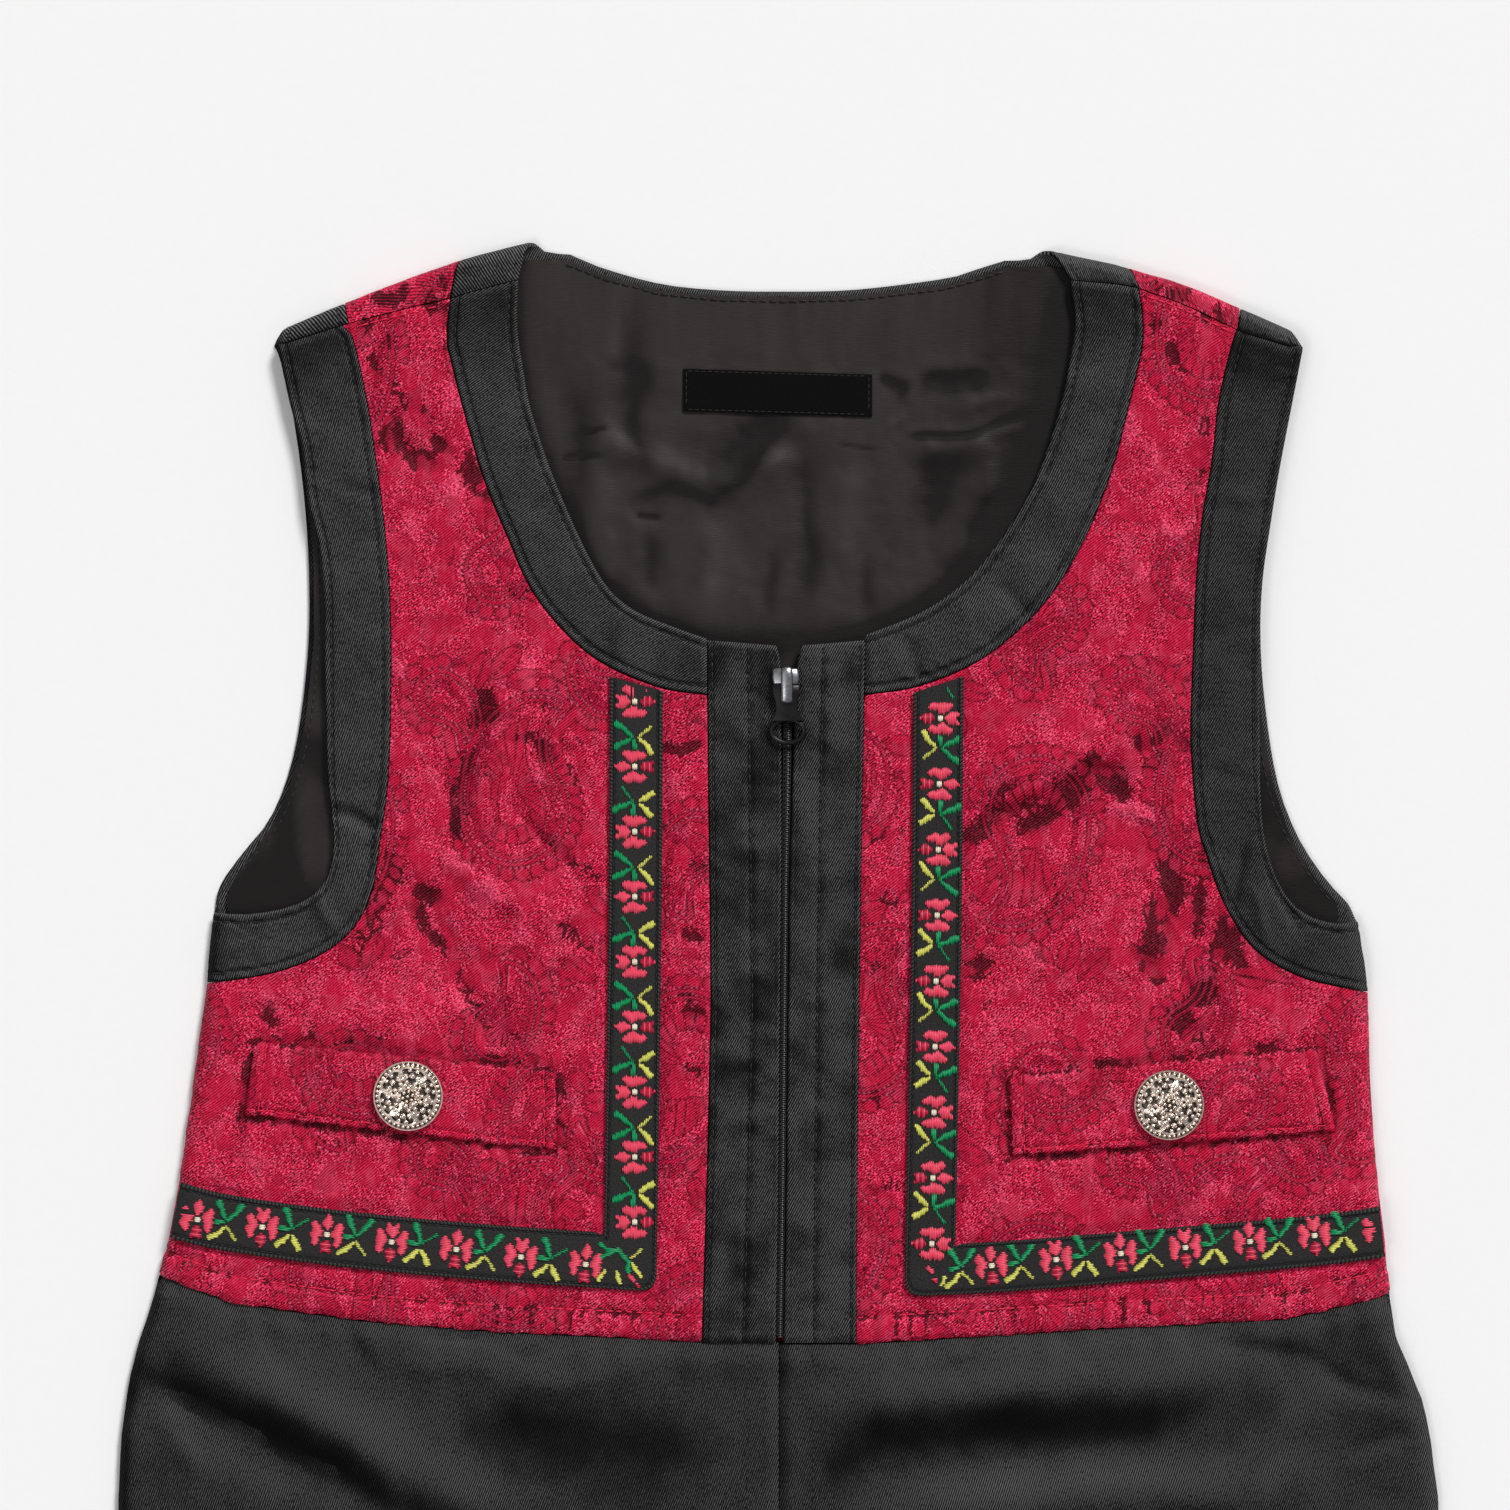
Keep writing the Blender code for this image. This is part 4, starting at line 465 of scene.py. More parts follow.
def grain(x, y, size, seed):
    """Smooth random values from -1 to 1 in blots of about this size."""
    u, v = x / size, y / size
    i, j = np.floor(u), np.floor(v)

    def corner(di, dj):
        value = np.sin((i + di) * 127.1 + (j + dj) * 311.7 + seed * 74.7) * 43758.5453
        return (value - np.floor(value)) * 2 - 1
    s, t = smooth(0, 1, u - i), smooth(0, 1, v - j)
    return ((corner(0, 0) * (1 - s) + corner(1, 0) * s) * (1 - t)
            + (corner(0, 1) * (1 - s) + corner(1, 1) * s) * t)


def stripes(x, size, seed):
    """Like grain, but changing one way only."""
    return grain(x, 0 * x, size, seed)


# ------------------------------------------------------- surfaces of the cloth
def course(fold, x, drop):
    """A fold's length, and each place's part of the way along it and distance beside it."""
    run_x, run_drop = fold.to_x - fold.x, fold.to_drop - fold.drop
    size = math.hypot(run_x, run_drop)
    along = ((x - fold.x) * run_x + (drop - fold.drop) * run_drop) / size ** 2
    away = ((x - fold.x) * run_drop - (drop - fold.drop) * run_x) / size
    return size, along, away


def fold_rise(rows, x, drop):
    """Sum of the folds at each place, each fading towards its ends."""
    rise = np.zeros_like(x)
    for fold in rows:
        _, along, away = course(fold, x, drop)
        fade = smooth(-0.25, 0.2, along) * smooth(1.25, 0.8, along)
        rise += fold.rise * fade * bell(away, fold.spread)
    return rise


def creased(rows, x, drop):
    """Sum of sharp creases: a trough, a ridge beside it and small ticks along it."""
    rise = np.zeros_like(x)
    for fold in rows:
        size, along, away = course(fold, x, drop)
        away = away / fold.spread
        near = (np.abs(away) < 7) & (along > -0.3) & (along < 1.3)
        if not near.any():
            continue
        a, s = away[near], along[near]
        fade = smooth(-0.25, 0.25, s) * smooth(1.25, 0.75, s)
        ticks = 1 - 0.45 * (0.5 + 0.5 * np.sin(s * size * 2.5 + 2 * a))
        profile = bell(a, 1) * ticks - 0.5 * bell(a - 2.3, 1) + 0.3 * ticks * bell(a - 4.4, 0.7)
        rise[near] += fold.rise * fade * profile
    return rise


def bent(x, drop, size, reach, seed):
    """Places moved about a little, so that creases made there aren't straight."""
    return (x + reach * grain(x, drop, size, seed), drop + reach * grain(x, drop, size, seed + 1))


def front_height(x, drop):
    middle = np.abs(x - at(ZIP_LINE, drop))
    placket = PLACKET_RISE * smooth(34.0, 18.0, middle) * smooth(280.0, 262.0, drop)
    rise = fold_rise(FRONT_FOLDS, x, drop) * smooth(14.0, 26.0, middle)
    return np.maximum(BODY_HEIGHT + placket + rise, LOWEST_FRONT)


def side_gap(x, drop):
    """Distance in from the side seam or the inseam, its direction and its strength."""
    side = np.where(x < 0, at(SIDE["left"], drop), at(SIDE["right"], drop))
    gap = np.where(np.abs(x) > np.abs(side), 0.0, np.abs(side - x))
    inward = np.where(x < 0, 1.0, -1.0)
    inner = np.maximum(np.abs(x) - at(INSEAM, drop), 0.0)
    leg = (drop > CROTCH - 4) & (inner < gap)
    strength = np.where(leg, smooth(CROTCH - 4, CROTCH + 14, drop), 1.0)
    return np.where(leg, inner, gap), np.where(leg, -inward, inward), strength


def stack(x, y, z):
    """Points from their parts, where x and y may be single numbers."""
    return np.stack([x + 0 * z, y + 0 * z, z], axis=-1)


def unit(vectors):
    return vectors / np.maximum(np.linalg.norm(vectors, axis=-1, keepdims=True), 1e-9)


def front_surface(places):
    """Points and outward directions on the front's outer face."""
    x, drop = places[..., 0], places[..., 1]
    gap, inward, strength = side_gap(x, drop)
    height = front_height(x, drop)
    sine = np.maximum(1.0 - gap / FRONT_ROLL, 0.0)
    cosine = np.sqrt(1.0 - sine * sine)
    deep = (height - FRONT_RIM) * strength
    points = stack(x, -drop, height - deep * (1.0 - cosine))
    normals = stack(-inward * deep * sine / FRONT_ROLL, 0 * x,
                    1.0 - strength * (1.0 - cosine) + 1e-6)
    return points, unit(normals)


def fold_line(x):
    """Drop of the fold over the shoulders."""
    return across(SHOULDER, x)


def seam_line(x):
    """Drop of the shoulder seams on the front."""
    return fold_line(x) + across(SHOULDER_SEAM, x)


def under_seam(x):
    return seam_line(x) + SEAM


def under_fold(x):
    return fold_line(x) + 5.0


def back_surface(places):
    """Points and outward directions on the back; small drops go over the shoulder."""
    x, drop = places[..., 0], places[..., 1]
    fold = fold_line(x)
    past = fold - drop
    half = front_height(x, fold + FOLD_DEPTH) / 2
    turn = np.clip((past + FOLD_CLOTH) / (2 * FOLD_CLOTH), 0.0, 1.0) * math.pi
    here = fold + FOLD_DEPTH + past - FOLD_CLOTH
    flat = drop + (FOLD_DEPTH - FOLD_CLOTH) * smooth(30.0, FOLD_CLOTH, -past)
    gap, inward, strength = side_gap(x, flat)
    strength = np.where(flat < CROTCH - 4, smooth(159.0, 166.0, flat), strength)
    sine = np.maximum(1.0 - gap / BACK_CURL, 0.0) * strength
    cosine = np.sqrt(1.0 - sine * sine)
    lying = stack(x, -flat, BACK_CURL * (1.0 - cosine))
    lying_out = unit(stack(-inward * sine, 0 * x, -cosine - 1e-6))
    rolled = stack(x, -(fold + FOLD_DEPTH - FOLD_DEPTH * np.sin(turn)),
                   half * (1 - np.cos(turn)))
    rolled_out = stack(0 * x, np.sin(turn), -np.cos(turn))
    front = stack(x, -here, front_height(x, here))
    front_out = stack(0 * x, 0 * x, np.ones_like(x))
    over, folded = (past > FOLD_CLOTH)[..., None], (past > -FOLD_CLOTH)[..., None]
    return (np.where(over, front, np.where(folded, rolled, lying)),
            np.where(over, front_out, np.where(folded, rolled_out, lying_out)))


def lining_surface(places):
    x, drop = places[..., 0], places[..., 1]
    rise = fold_rise(LINING_FOLDS, x, drop) * smooth(97.0, 84.0, drop)
    return stack(x, -drop, LINING_HEIGHT + rise), stack(0 * x, 0 * x, np.ones_like(x))


def back_waist(x):
    """Drop of the back's waist seam."""
    return WAIST - 16.0 * (x / 150.0) ** 2


# ---------------------------------------------------------------- mesh making
def to_world(points):
    """Metres around the garment's middle from millimetres."""
    return (np.asarray(points) + np.array([0.0, LENGTH / 2, 0.0])) * MM


def new_object(name, points, faces, finishes, slots=None, smooth_angle=50.0):
    """Mesh object from garment points in millimetres, face index lists and finishes."""
    mesh = bpy.data.meshes.new(name)
    mesh.from_pydata(to_world(points).tolist(), [], faces)
    for finish in finishes:
        mesh.materials.append(finish)
    if slots is not None:
        mesh.polygons.foreach_set("material_index", np.asarray(slots, np.int32))
    mesh.shade_smooth()
    mesh.set_sharp_from_angle(angle=math.radians(smooth_angle))
    mesh.validate()
    mesh.update()
    item = bpy.data.objects.new(name, mesh)
    bpy.context.scene.collection.objects.link(item)
    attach(item, "garment")
    return item


def store_values(item, name, values):
    """A value at each point, for the finish to read."""
    layer = item.data.attributes.new(name, "FLOAT", "POINT")
    layer.data.foreach_set("value", np.asarray(values, np.float32))


def store_places(item, places):
    """UV map whose units are metres of cloth."""
    layer = item.data.uv_layers.new(name="Cloth")
    corners = np.empty(len(item.data.loops), np.int32)
    item.data.loops.foreach_get("vertex_index", corners)
    layer.data.foreach_set("uv", (places[corners] * MM * [1, -1]).astype(np.float32).ravel())


def side_distances(points):
    """Distance of each grid point from the grid's four sides: first and last column, rows."""
    wide = np.linalg.norm(np.diff(points, axis=1), axis=2)
    wide = np.concatenate([np.zeros((len(points), 1)), np.cumsum(wide, axis=1)], axis=1)
    deep = np.linalg.norm(np.diff(points, axis=0), axis=2)
    deep = np.concatenate([np.zeros((1, points.shape[1])), np.cumsum(deep, axis=0)], axis=0)
    return wide, wide[:, -1:] - wide, deep, deep[-1:, :] - deep


def sheen(points, normals):
    """How far each grid point leans towards the light, from -1 to 1."""
    facing = unit(np.cross(np.gradient(points, axis=1), np.gradient(points, axis=0)))
    facing = facing * np.sign(np.sum(facing * normals, axis=-1, keepdims=True))
    return np.clip(SHEEN_GAIN * (facing[..., :2] @ np.array(SHEEN_WAY)), -1.0, 1.0)


Rim = namedtuple("Rim", "radius depth")
NO_RIM = Rim(1.0, 0.0)
LEAST_CUT = 10.0          # no sheet is declared narrower or shorter than this
BENT_SHARE = 0.35         # a strip that fills less of its box than this is bent


def shell(name, places, surface, high, low, finish, relief=None, rims=(NO_RIM,) * 4,
          hole=None, values=None):
    """Closed wall over a grid of places; hole marks the grid points that are left out.

    Its rims round off the first column's edge, the last column's, the first row's and the
    last row's.  A wall without a hole has a coarser back.
    """
    rows, columns = places.shape[:2]
    points, normals = surface(places)
    lift = np.zeros((rows, columns)) if relief is None else relief.copy()
    for distance, rim in zip(side_distances(points), rims):
        part = np.clip(1 - distance / rim.radius, 0.0, 1.0)
        lift = lift - rim.depth * (1 - np.sqrt(1 - part * part))
    outer = points + normals * (high + lift)[..., None]
    inner = points + normals * low
    solid = np.ones((rows - 1, columns - 1), bool)
    if hole is not None:
        solid = ~(hole[:-1, :-1] | hole[1:, :-1] | hole[:-1, 1:] | hole[1:, 1:])
    j, i = np.argwhere(solid)[0]
    near, right, down = outer[j, i], outer[j, i + 1], outer[j + 1, i]
    flip = np.dot(np.cross(right - near, down - near), normals[j, i]) < 0
    number = np.arange(rows * columns).reshape(rows, columns)
    quads = np.stack([number[:-1, :-1], number[:-1, 1:], number[1:, 1:], number[1:, :-1]],
                     axis=-1)
    if hole is None:
        faces = quads.reshape(-1, 4).tolist()
        few = number[::COARSE, ::COARSE]
        inside = np.arange(few.size).reshape(few.shape) + rows * columns
        back = np.stack([inside[:-1, :-1], inside[1:, :-1], inside[1:, 1:], inside[:-1, 1:]],
                        axis=-1)
        faces += back.reshape(-1, 4).tolist()
        for line, inner_line, turn in ((number[0], inside[0], False),
                                       (number[-1], inside[-1], True),
                                       (number[:, 0], inside[:, 0], True),
                                       (number[:, -1], inside[:, -1], False)):
            for k in range(len(inner_line) - 1):
                ring = list(line[COARSE * k:COARSE * k + COARSE + 1][::-1])
                ring += [inner_line[k], inner_line[k + 1]]
                faces.append([int(v) for v in (ring[::-1] if turn else ring)])
        verts = np.concatenate([outer.reshape(-1, 3), inner[::COARSE, ::COARSE].reshape(-1, 3)])
        source = np.concatenate([number.ravel(), few.ravel()])
    else:
        faces, edges, more = [], {}, rows * columns
        for quad in quads[solid]:
            a, b, c, d = (int(v) for v in quad)
            faces.append([a, b, c, d])
            faces.append([d + more, c + more, b + more, a + more])
            for start, end in ((a, b), (b, c), (c, d), (d, a)):
                if (end, start) in edges:
                    del edges[end, start]
                else:
                    edges[start, end] = True
        faces += [[e, s, s + more, e + more] for s, e in edges]
        verts = np.concatenate([outer.reshape(-1, 3), inner.reshape(-1, 3)])
        source = np.tile(number.ravel(), 2)
        used = np.unique([v for face in faces for v in face])
        renumber = np.full(len(verts), -1)
        renumber[used] = np.arange(len(used))
        faces = [[int(renumber[v]) for v in face] for face in faces]
        verts, source = verts[used], source[used]
    if flip:
        faces = [face[::-1] for face in faces]
    item = new_object(name, verts, faces, [finish])
    store_places(item, places.reshape(-1, 2)[source])
    # glow is painted sheen and shade, from how far the face leans towards the light.
    for key, value in dict(values or {}, glow=sheen(outer, normals)).items():
        store_values(item, key, np.broadcast_to(value, (rows, columns)).ravel()[source])
    return item


def lay(name, node, slot, under, finish, places, surface, high=0.0, low=-1.0, hole=None, **how):
    """Make a piece of cloth from its cut's name and hide the plain node that it stands for; what it lies on
    is not used.
    """
    item = shell(name, places, surface, high, low, FINISHES[finish], hole=hole, **how)
    cut = places.copy()
    if hole is not None:
        cut[hole] = np.nan
    flat_x, flat_drop = cut[..., 0], cut[..., 1]
    one, two = cut[1:, 1:] - cut[:-1, :-1], cut[1:, :-1] - cut[:-1, 1:]
    area = float(np.nansum(np.abs(one[..., 0] * two[..., 1] - one[..., 1] * two[..., 0])) / 2)
    width = max(float(np.nanmax(flat_x) - np.nanmin(flat_x)), LEAST_CUT) * MM
    length = max(float(np.nanmax(flat_drop) - np.nanmin(flat_drop)), LEAST_CUT) * MM
    area *= MM * MM
    if area < BENT_SHARE * width * length:      # a bent strip is measured by its run
        run = travelled(cut[:, cut.shape[1] // 2])[-1] * MM
        width, length = area / run, run
    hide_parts(node)


def inset_line(places, surface, from_first, distance):
    """Places at a distance in from the grid's first or last column."""
    grid = places if from_first else places[:, ::-1]
    wide = side_distances(surface(grid)[0])[0]
    line = []
    for row, run in zip(grid, wide):
        if run[-1] > distance * 1.5:
            line.append([np.interp(distance, run, row[:, k]) for k in (0, 1)])
    return np.array(line)


# ------------------------------------------------------------- shader wiring
class Wire:
    """One output socket, so that shader sums read as plain expressions."""

    def __init__(self, finish, socket):
        self.finish, self.socket = finish, socket

    def maths(self, operation, *others):
        return self.finish.node("Math", {"operation": operation},
                                dict(enumerate((self,) + others)))

    def __add__(self, other):
        return self.maths("ADD", other)

    __radd__ = __add__

    def __sub__(self, other):
        return self.maths("SUBTRACT", other)

    def __rsub__(self, other):
        return self.finish.node("Math", {"operation": "SUBTRACT"}, {0: other, 1: self})

    def __mul__(self, other):
        return self.maths("MULTIPLY", other)

    __rmul__ = __mul__

    def __truediv__(self, other):
        return self.maths("DIVIDE", other)

    def wave(self, pitch):
        """Sine with this distance from crest to crest, from -1 to 1."""
        return (self * (2 * math.pi / pitch)).maths("SINE")

    def size(self):
        return self.maths("ABSOLUTE")

    def gapped(self, pitch):
        """Distance from the middle of the nearest of evenly spaced marks."""
        return self.maths("WRAP", pitch / 2, -pitch / 2)

    def reach(self, other):
        """Length of a step of this much one way and of the other across it."""
        return (self * self + other * other).maths("SQRT")

    def power(self, other):
        return self.maths("POWER", other)

    def least(self, other):
        return self.maths("MINIMUM", other)

    def most(self, other):
        return self.maths("MAXIMUM", other)

    def between(self, low, high):
        """0 below low, 1 above high, smooth in between; high may be the smaller."""
        return self.finish.node("MapRange", {"interpolation_type": "SMOOTHSTEP"},
                                {0: self, 1: low, 2: high, 3: 0.0, 4: 1.0})


def socket_name(key):
    """The shader's own name for a socket: specular_ior_level is Specular IOR Level."""
    return key.replace("_", " ").title().replace("Ior", "IOR")


class Finish:
    """A material with a Principled shader and short ways to wire it."""

    def __init__(self, name, **uniform):
        self.material = bpy.data.materials.new(name)
        self.material.use_nodes = True
        self.tree = self.material.node_tree
        self.shader = self.tree.nodes["Principled BSDF"]
        for key, value in uniform.items():
            self.shader.inputs[socket_name(key)].default_value = value

    def node(self, kind, settings=(), inputs=(), output=0):
        made = self.tree.nodes.new("ShaderNode" + kind)
        for key, value in dict(settings).items():
            setattr(made, key, value)
        for key, value in dict(inputs).items():
            if isinstance(value, Wire):
                self.tree.links.new(value.socket, made.inputs[key])
            else:
                made.inputs[key].default_value = value
        return Wire(self, made.outputs[output])

    def cloth(self):
        """Place on the cloth in millimetres, x to the right and y up."""
        return self.millimetres(self.node("UVMap", {"uv_map": "Cloth"}))

    def spot(self):
        """Place on the object in millimetres."""
        return self.millimetres(self.node("TexCoord", (), (), "Object"))

    def millimetres(self, place):
        return [self.node("SeparateXYZ", (), {0: place}, k) * (1 / MM) for k in (0, 1)]

    def value(self, name):
        return self.node("Attribute", {"attribute_name": name}, (), "Fac")

    def noise(self, x, y, wide, tall, detail=1.0, seed=0.0):
        """Noise from 0 to 1 whose blots are wide by tall millimetres."""
        vector = self.node("CombineXYZ", (), {0: x / wide + seed, 1: y / tall})
        return self.node("TexNoise", {"noise_dimensions": "2D"},
                         {"Vector": vector, "Scale": 1.0, "Detail": detail})

    def cells(self, x, y, wide, tall):
        """Distance to the edge of uneven cells of about this size."""
        vector = self.node("CombineXYZ", (), {0: x / wide, 1: y / tall})
        settings = {"voronoi_dimensions": "2D", "feature": "DISTANCE_TO_EDGE"}
        return self.node("TexVoronoi", settings, {"Vector": vector, "Scale": 1.0}) * wide

    def mix(self, part, first, second):
        return self.node("Mix", {"data_type": "RGBA"}, {0: part, 6: first, 7: second}, 2)

    def wear(self, **sockets):
        """Link wires to the shader's sockets."""
        for key, wire in sockets.items():
            self.tree.links.new(wire.socket, self.shader.inputs[socket_name(key)])

    def bump(self, height, distance, strength=1.0):
        normal = self.node("Bump", (), {"Height": height, "Distance": distance * MM,
                                        "Strength": strength})
        self.wear(normal=normal)
        return self.material


def linear(red, green, blue):
    """Linear colour from the 0 to 255 values that a screen shows."""
    parts = [value / 255 for value in (red, green, blue)]
    return tuple(part / 12.92 if part <= 0.04045 else ((part + 0.055) / 1.055) ** 2.4
                 for part in parts)


def shade(colour, factor):
    """The colour made darker or brighter, with its alpha."""
    return tuple(min(part * factor, 1.0) for part in colour[:3]) + (1.0,)


def diagonal(x, y, degrees):
    """Distance across lines that rise to the right at this angle."""
    turn = math.radians(degrees)
    return y * math.cos(turn) - x * math.sin(turn)


def brocade_finish(colours, sizes):
    """Slanting ribs in the woven figure, a speckled ground, painted shade in the folds and painted
    highlights.
    """
    finish = Finish("Brocade", roughness=0.5, specular_ior_level=0.1)
    x, y = finish.cloth()
    pitch = sizes.rib_pitch / MM
    drift = finish.noise(x, y, 6.0, 6.0)
    lean = diagonal(x, y, 36.0) + drift * 0.9
    rib = lean.wave(pitch) * 0.5 + 0.5
    gap, run, leaf = (finish.value(name) for name in ("gap", "run", "leaf"))
    light, depth, glow = (finish.value(name) for name in ("light", "depth", "glow"))
    reach = diagonal(x, y, 126.0)
    fleck = finish.noise(reach, lean, 0.7, 0.3, 1.0, 29.0)
    curl = finish.noise(reach, lean, 0.62, 0.42, 1.0, 11.0)
    patch = finish.noise(x, y, 7.0, 10.0, 3.0, 3.0)
    part = (finish.noise(x, y, 17.0, 19.0, 1.0, 71.0) - 0.5) * 16.0
    toes = (1.2 - run.gapped(2.7).reach((gap - 2.4) * 0.75)).least(part + 1.0)
    beads = (0.6 - run.gapped(1.8).reach(gap + 3.2)).least(0.6 - part)
    petals = (-5.0 - gap).least(run.gapped(3.4).size() - 0.3).least(part + 0.8)
    cords = (0.42 - gap.size()).most((0.36 - (gap + 1.6).size()).least(part + 1.5))
    drawn = cords.most(toes).most(beads).most(petals).most(leaf.least(1.0 - part))
    scale = finish.cells(x + drift * 3.0, y + drift * 2.0, 2.3, 3.0)
    ragged = (curl - 0.5) * 0.9 + (rib - 0.5) * 0.2
    woven = (drawn.most((patch - 0.56) * 9.0) + ragged).between(-0.1, 0.14)
    brink = (drawn + ragged * 0.9 + 0.1).size().between(0.2, 0.04)
    # Cover keeps the woven figure, and the weave's cells at the rim of the painted fold shade, red under
    # that shade.
    rows = (scale - 0.36 + ragged * 0.3).least(0.66 - depth * 1.05)
    cover = woven.most(rows.between(-0.06, 0.08))
    streak = finish.noise(x, y, 1.2, 3.4, 3.0, 61.0)
    # Painted highlights: the light and glow values make pale specks, wisps and blots denser and dark pits
    # fewer where folds catch the light; elsewhere they are the weave's own marks.
    bright = glow * 0.05 + light * 0.1 + (patch - 0.5) * 0.1
    specks = (fleck + bright).between(0.575, 0.63) * (1.0 - woven * 0.85)
    pits = (curl - bright * 0.8).between(0.61, 0.66) * (1.0 - woven * 0.8)
    beside = (gap.size() - 0.9).size().between(0.45, 0.15) * streak.between(0.35, 0.55)
    knot = run.gapped(1.1).size().between(0.2, 0.34)
    wisps = (streak + light * 0.22 + glow * 0.04).between(0.6, 0.68)
    blot = finish.noise(x + streak * 2.0, y, 4.6, 7.0, 3.0, 87.0)
    blots = (blot + light * 0.2 + (curl - 0.5) * 0.1 + glow * 0.03).between(0.56, 0.59)
    # Ribs, with painted sheen where the glow value is high.
    colour = finish.mix((rib.power(1.3) * 1.05 + fleck * 0.2 + glow * 0.14).least(1.0),
                        shade(colours.brocade_deep, 0.75), shade(colours.brocade, 1.1))
    colour = finish.mix((wisps * 0.24).most(blots * (rib * 0.34 + 0.02)), colour,
                        shade(colours.brocade_light, 1.0))
    colour = finish.mix(woven * 0.14, colour, shade(colours.brocade_deep, 1.0))
    colour = finish.mix((specks * 0.8).most(beside * knot * 0.6), colour,
                        shade(colours.brocade_light, 1.35))
    outline = (drawn + ragged * 0.5 + 0.05).size().between(0.5, 0.1) * streak.between(0.38, 0.52)
    dim = finish.noise(x, y, 8.0, 5.0, 3.0, 47.0).between(0.54, 0.6)
    colour = finish.mix((outline * 0.36).most(dim * 0.16), colour, shade(colours.brocade_deep, 0.8))
    marks = (brink * curl.between(0.42, 0.54) * 0.85).most(beside * (1.0 - knot) * 0.6)
    colour = finish.mix((pits * 0.9).most(marks), colour, shade(colours.brocade_deep, 0.22))
    # Painted shade in the folds, from the depth value: the ground goes almost black, the woven figure only
    # a little darker.
    folded = depth + (curl - 0.5) * 0.5 + (streak - 0.5) * 0.35
    ground_shade = folded.between(0.28, 0.35) * (1.0 - cover) * (0.98 - rib * 0.26)
    figure_shade = folded.between(0.1, 1.2) * 0.4
    colour = finish.mix(ground_shade.most(figure_shade), colour, shade(colours.brocade_deep, 0.17))
    finish.wear(base_color=colour, roughness=0.56 - woven * 0.08)
    return finish.bump(rib * 0.3 + woven * 0.6 + specks * 0.2 - pits * 0.4 - brink * 0.25, 0.24)


def twill_finish(name, colours, sizes, degrees, painted_brightness):
    finish = Finish(name, roughness=0.6, specular_ior_level=0.08)
    x, y = finish.cloth()
    pitch = sizes.twill_pitch / MM
    drift = finish.noise(x, y, 16.0, 16.0)
    lean = diagonal(x, y, degrees) + drift * 0.6
    rib = (lean.wave(pitch) * 0.5 + 0.5).power(2.6)
    yarn = finish.noise(x, y, 0.45, 0.8, 1.0, 7.0)
    cloud = finish.noise(x, y, 9.0, 12.0, 2.0, 17.0)
    # Painted sheen and shade: glow and the light value make the raised lines lighter or darker as the light
    # falls; cloud varies at random.
    lit = finish.value("glow") * 0.8 + finish.value("light") + cloud * 0.6 + 0.3
    lit = (lit + (lit * lit + 0.06).power(0.5)) * 0.5
    amount = rib * (yarn * 3.2 - 0.24) * lit
    colour = finish.mix(amount.least(1.0), shade(colours.twill_deep, 0.5 * painted_brightness),
                        shade(colours.twill_light, painted_brightness))
    finish.wear(base_color=colour, roughness=0.66 - amount * 0.16)
    return finish.bump(rib * 0.6 + yarn * 0.4, 0.05)


def lining_finish(colours):
    finish = Finish("LiningSatin", roughness=0.45, specular_ior_level=0.14)
    x, y = finish.cloth()
    weft = finish.noise(x, y, 3.0, 0.25, 2.0, 5.0)
    cloud = finish.noise(x, y, 7.0, 18.0, 2.0, 9.0)
    # Painted light and shade: glow, the light value and the depth value's painted shade, with random weft
    # and cloud.
    lit = (finish.value("glow") * 0.35 + finish.value("light") * 0.45
           - finish.value("depth") * 0.75 + weft * 0.2 + cloud * 0.3 + 0.24)
    colour = finish.mix(lit.least(1.0).most(0.0), shade(colours.lining, 0.25),
                        shade(colours.lining, 1.75))
    finish.wear(base_color=colour, roughness=0.42 + weft * 0.12)
    return finish.bump(weft + cloud * 2.0, 0.05)


def ribbon_finish(colours):
    finish = Finish("RibbonGround", roughness=0.6, specular_ior_level=0.15)
    along, edge = finish.value("along"), finish.value("edge")
    x, y = finish.cloth()
    fine = finish.noise(x, y, 0.32, 0.32, 1.0, 2.0)
    weave = along.wave(0.5) * edge.wave(0.46)
    bars = along.wave(0.97) * 0.5 + 0.5
    rim = edge.between(1.15, 0.8)
    channel = edge.between(0.7, 1.1) * edge.between(1.7, 1.3)
    amount = (weave * 0.22 + fine * 1.0 - 0.22) * (1.0 - rim) + bars * rim * (fine * 0.6 + 0.6)
    colour = finish.mix((amount * (1.0 - channel * 0.9)).least(1.0), shade(colours.ribbon, 0.35),
                        shade(colours.ribbon, 4.0))
    finish.wear(base_color=colour)
    return finish.bump(weave * 0.15 * (1.0 - rim) + bars * rim - channel * 0.6, 0.14)


def tape_finish(colours):
    finish = Finish("LabelTape", roughness=0.7, specular_ior_level=0.06)
    x, y = finish.cloth()
    weave = x.wave(0.4) * y.wave(0.33)
    fine = finish.noise(x, y, 0.5, 0.3, 1.0)
    colour = finish.mix(weave * 0.25 + fine * 0.5, shade(colours.ribbon, 0.04),
                        shade(colours.ribbon, 0.6))
    finish.wear(base_color=colour)
    return finish.bump(weave, 0.03)


def thread_finish(name, colour, roughness=0.45):
    finish = Finish(name, roughness=roughness, specular_ior_level=0.25)
    x, y = finish.spot()
    twist = finish.noise(x, y, 0.3, 0.3, 2.0)
    wave = finish.noise(x, y, 2.6, 2.6, 1.0, 5.0)
    mixed = finish.mix(twist * 0.5 + wave * 0.5, shade(colour, 0.62), shade(colour, 1.38))
    finish.wear(base_color=mixed)
    return finish.bump(twist, 0.05)


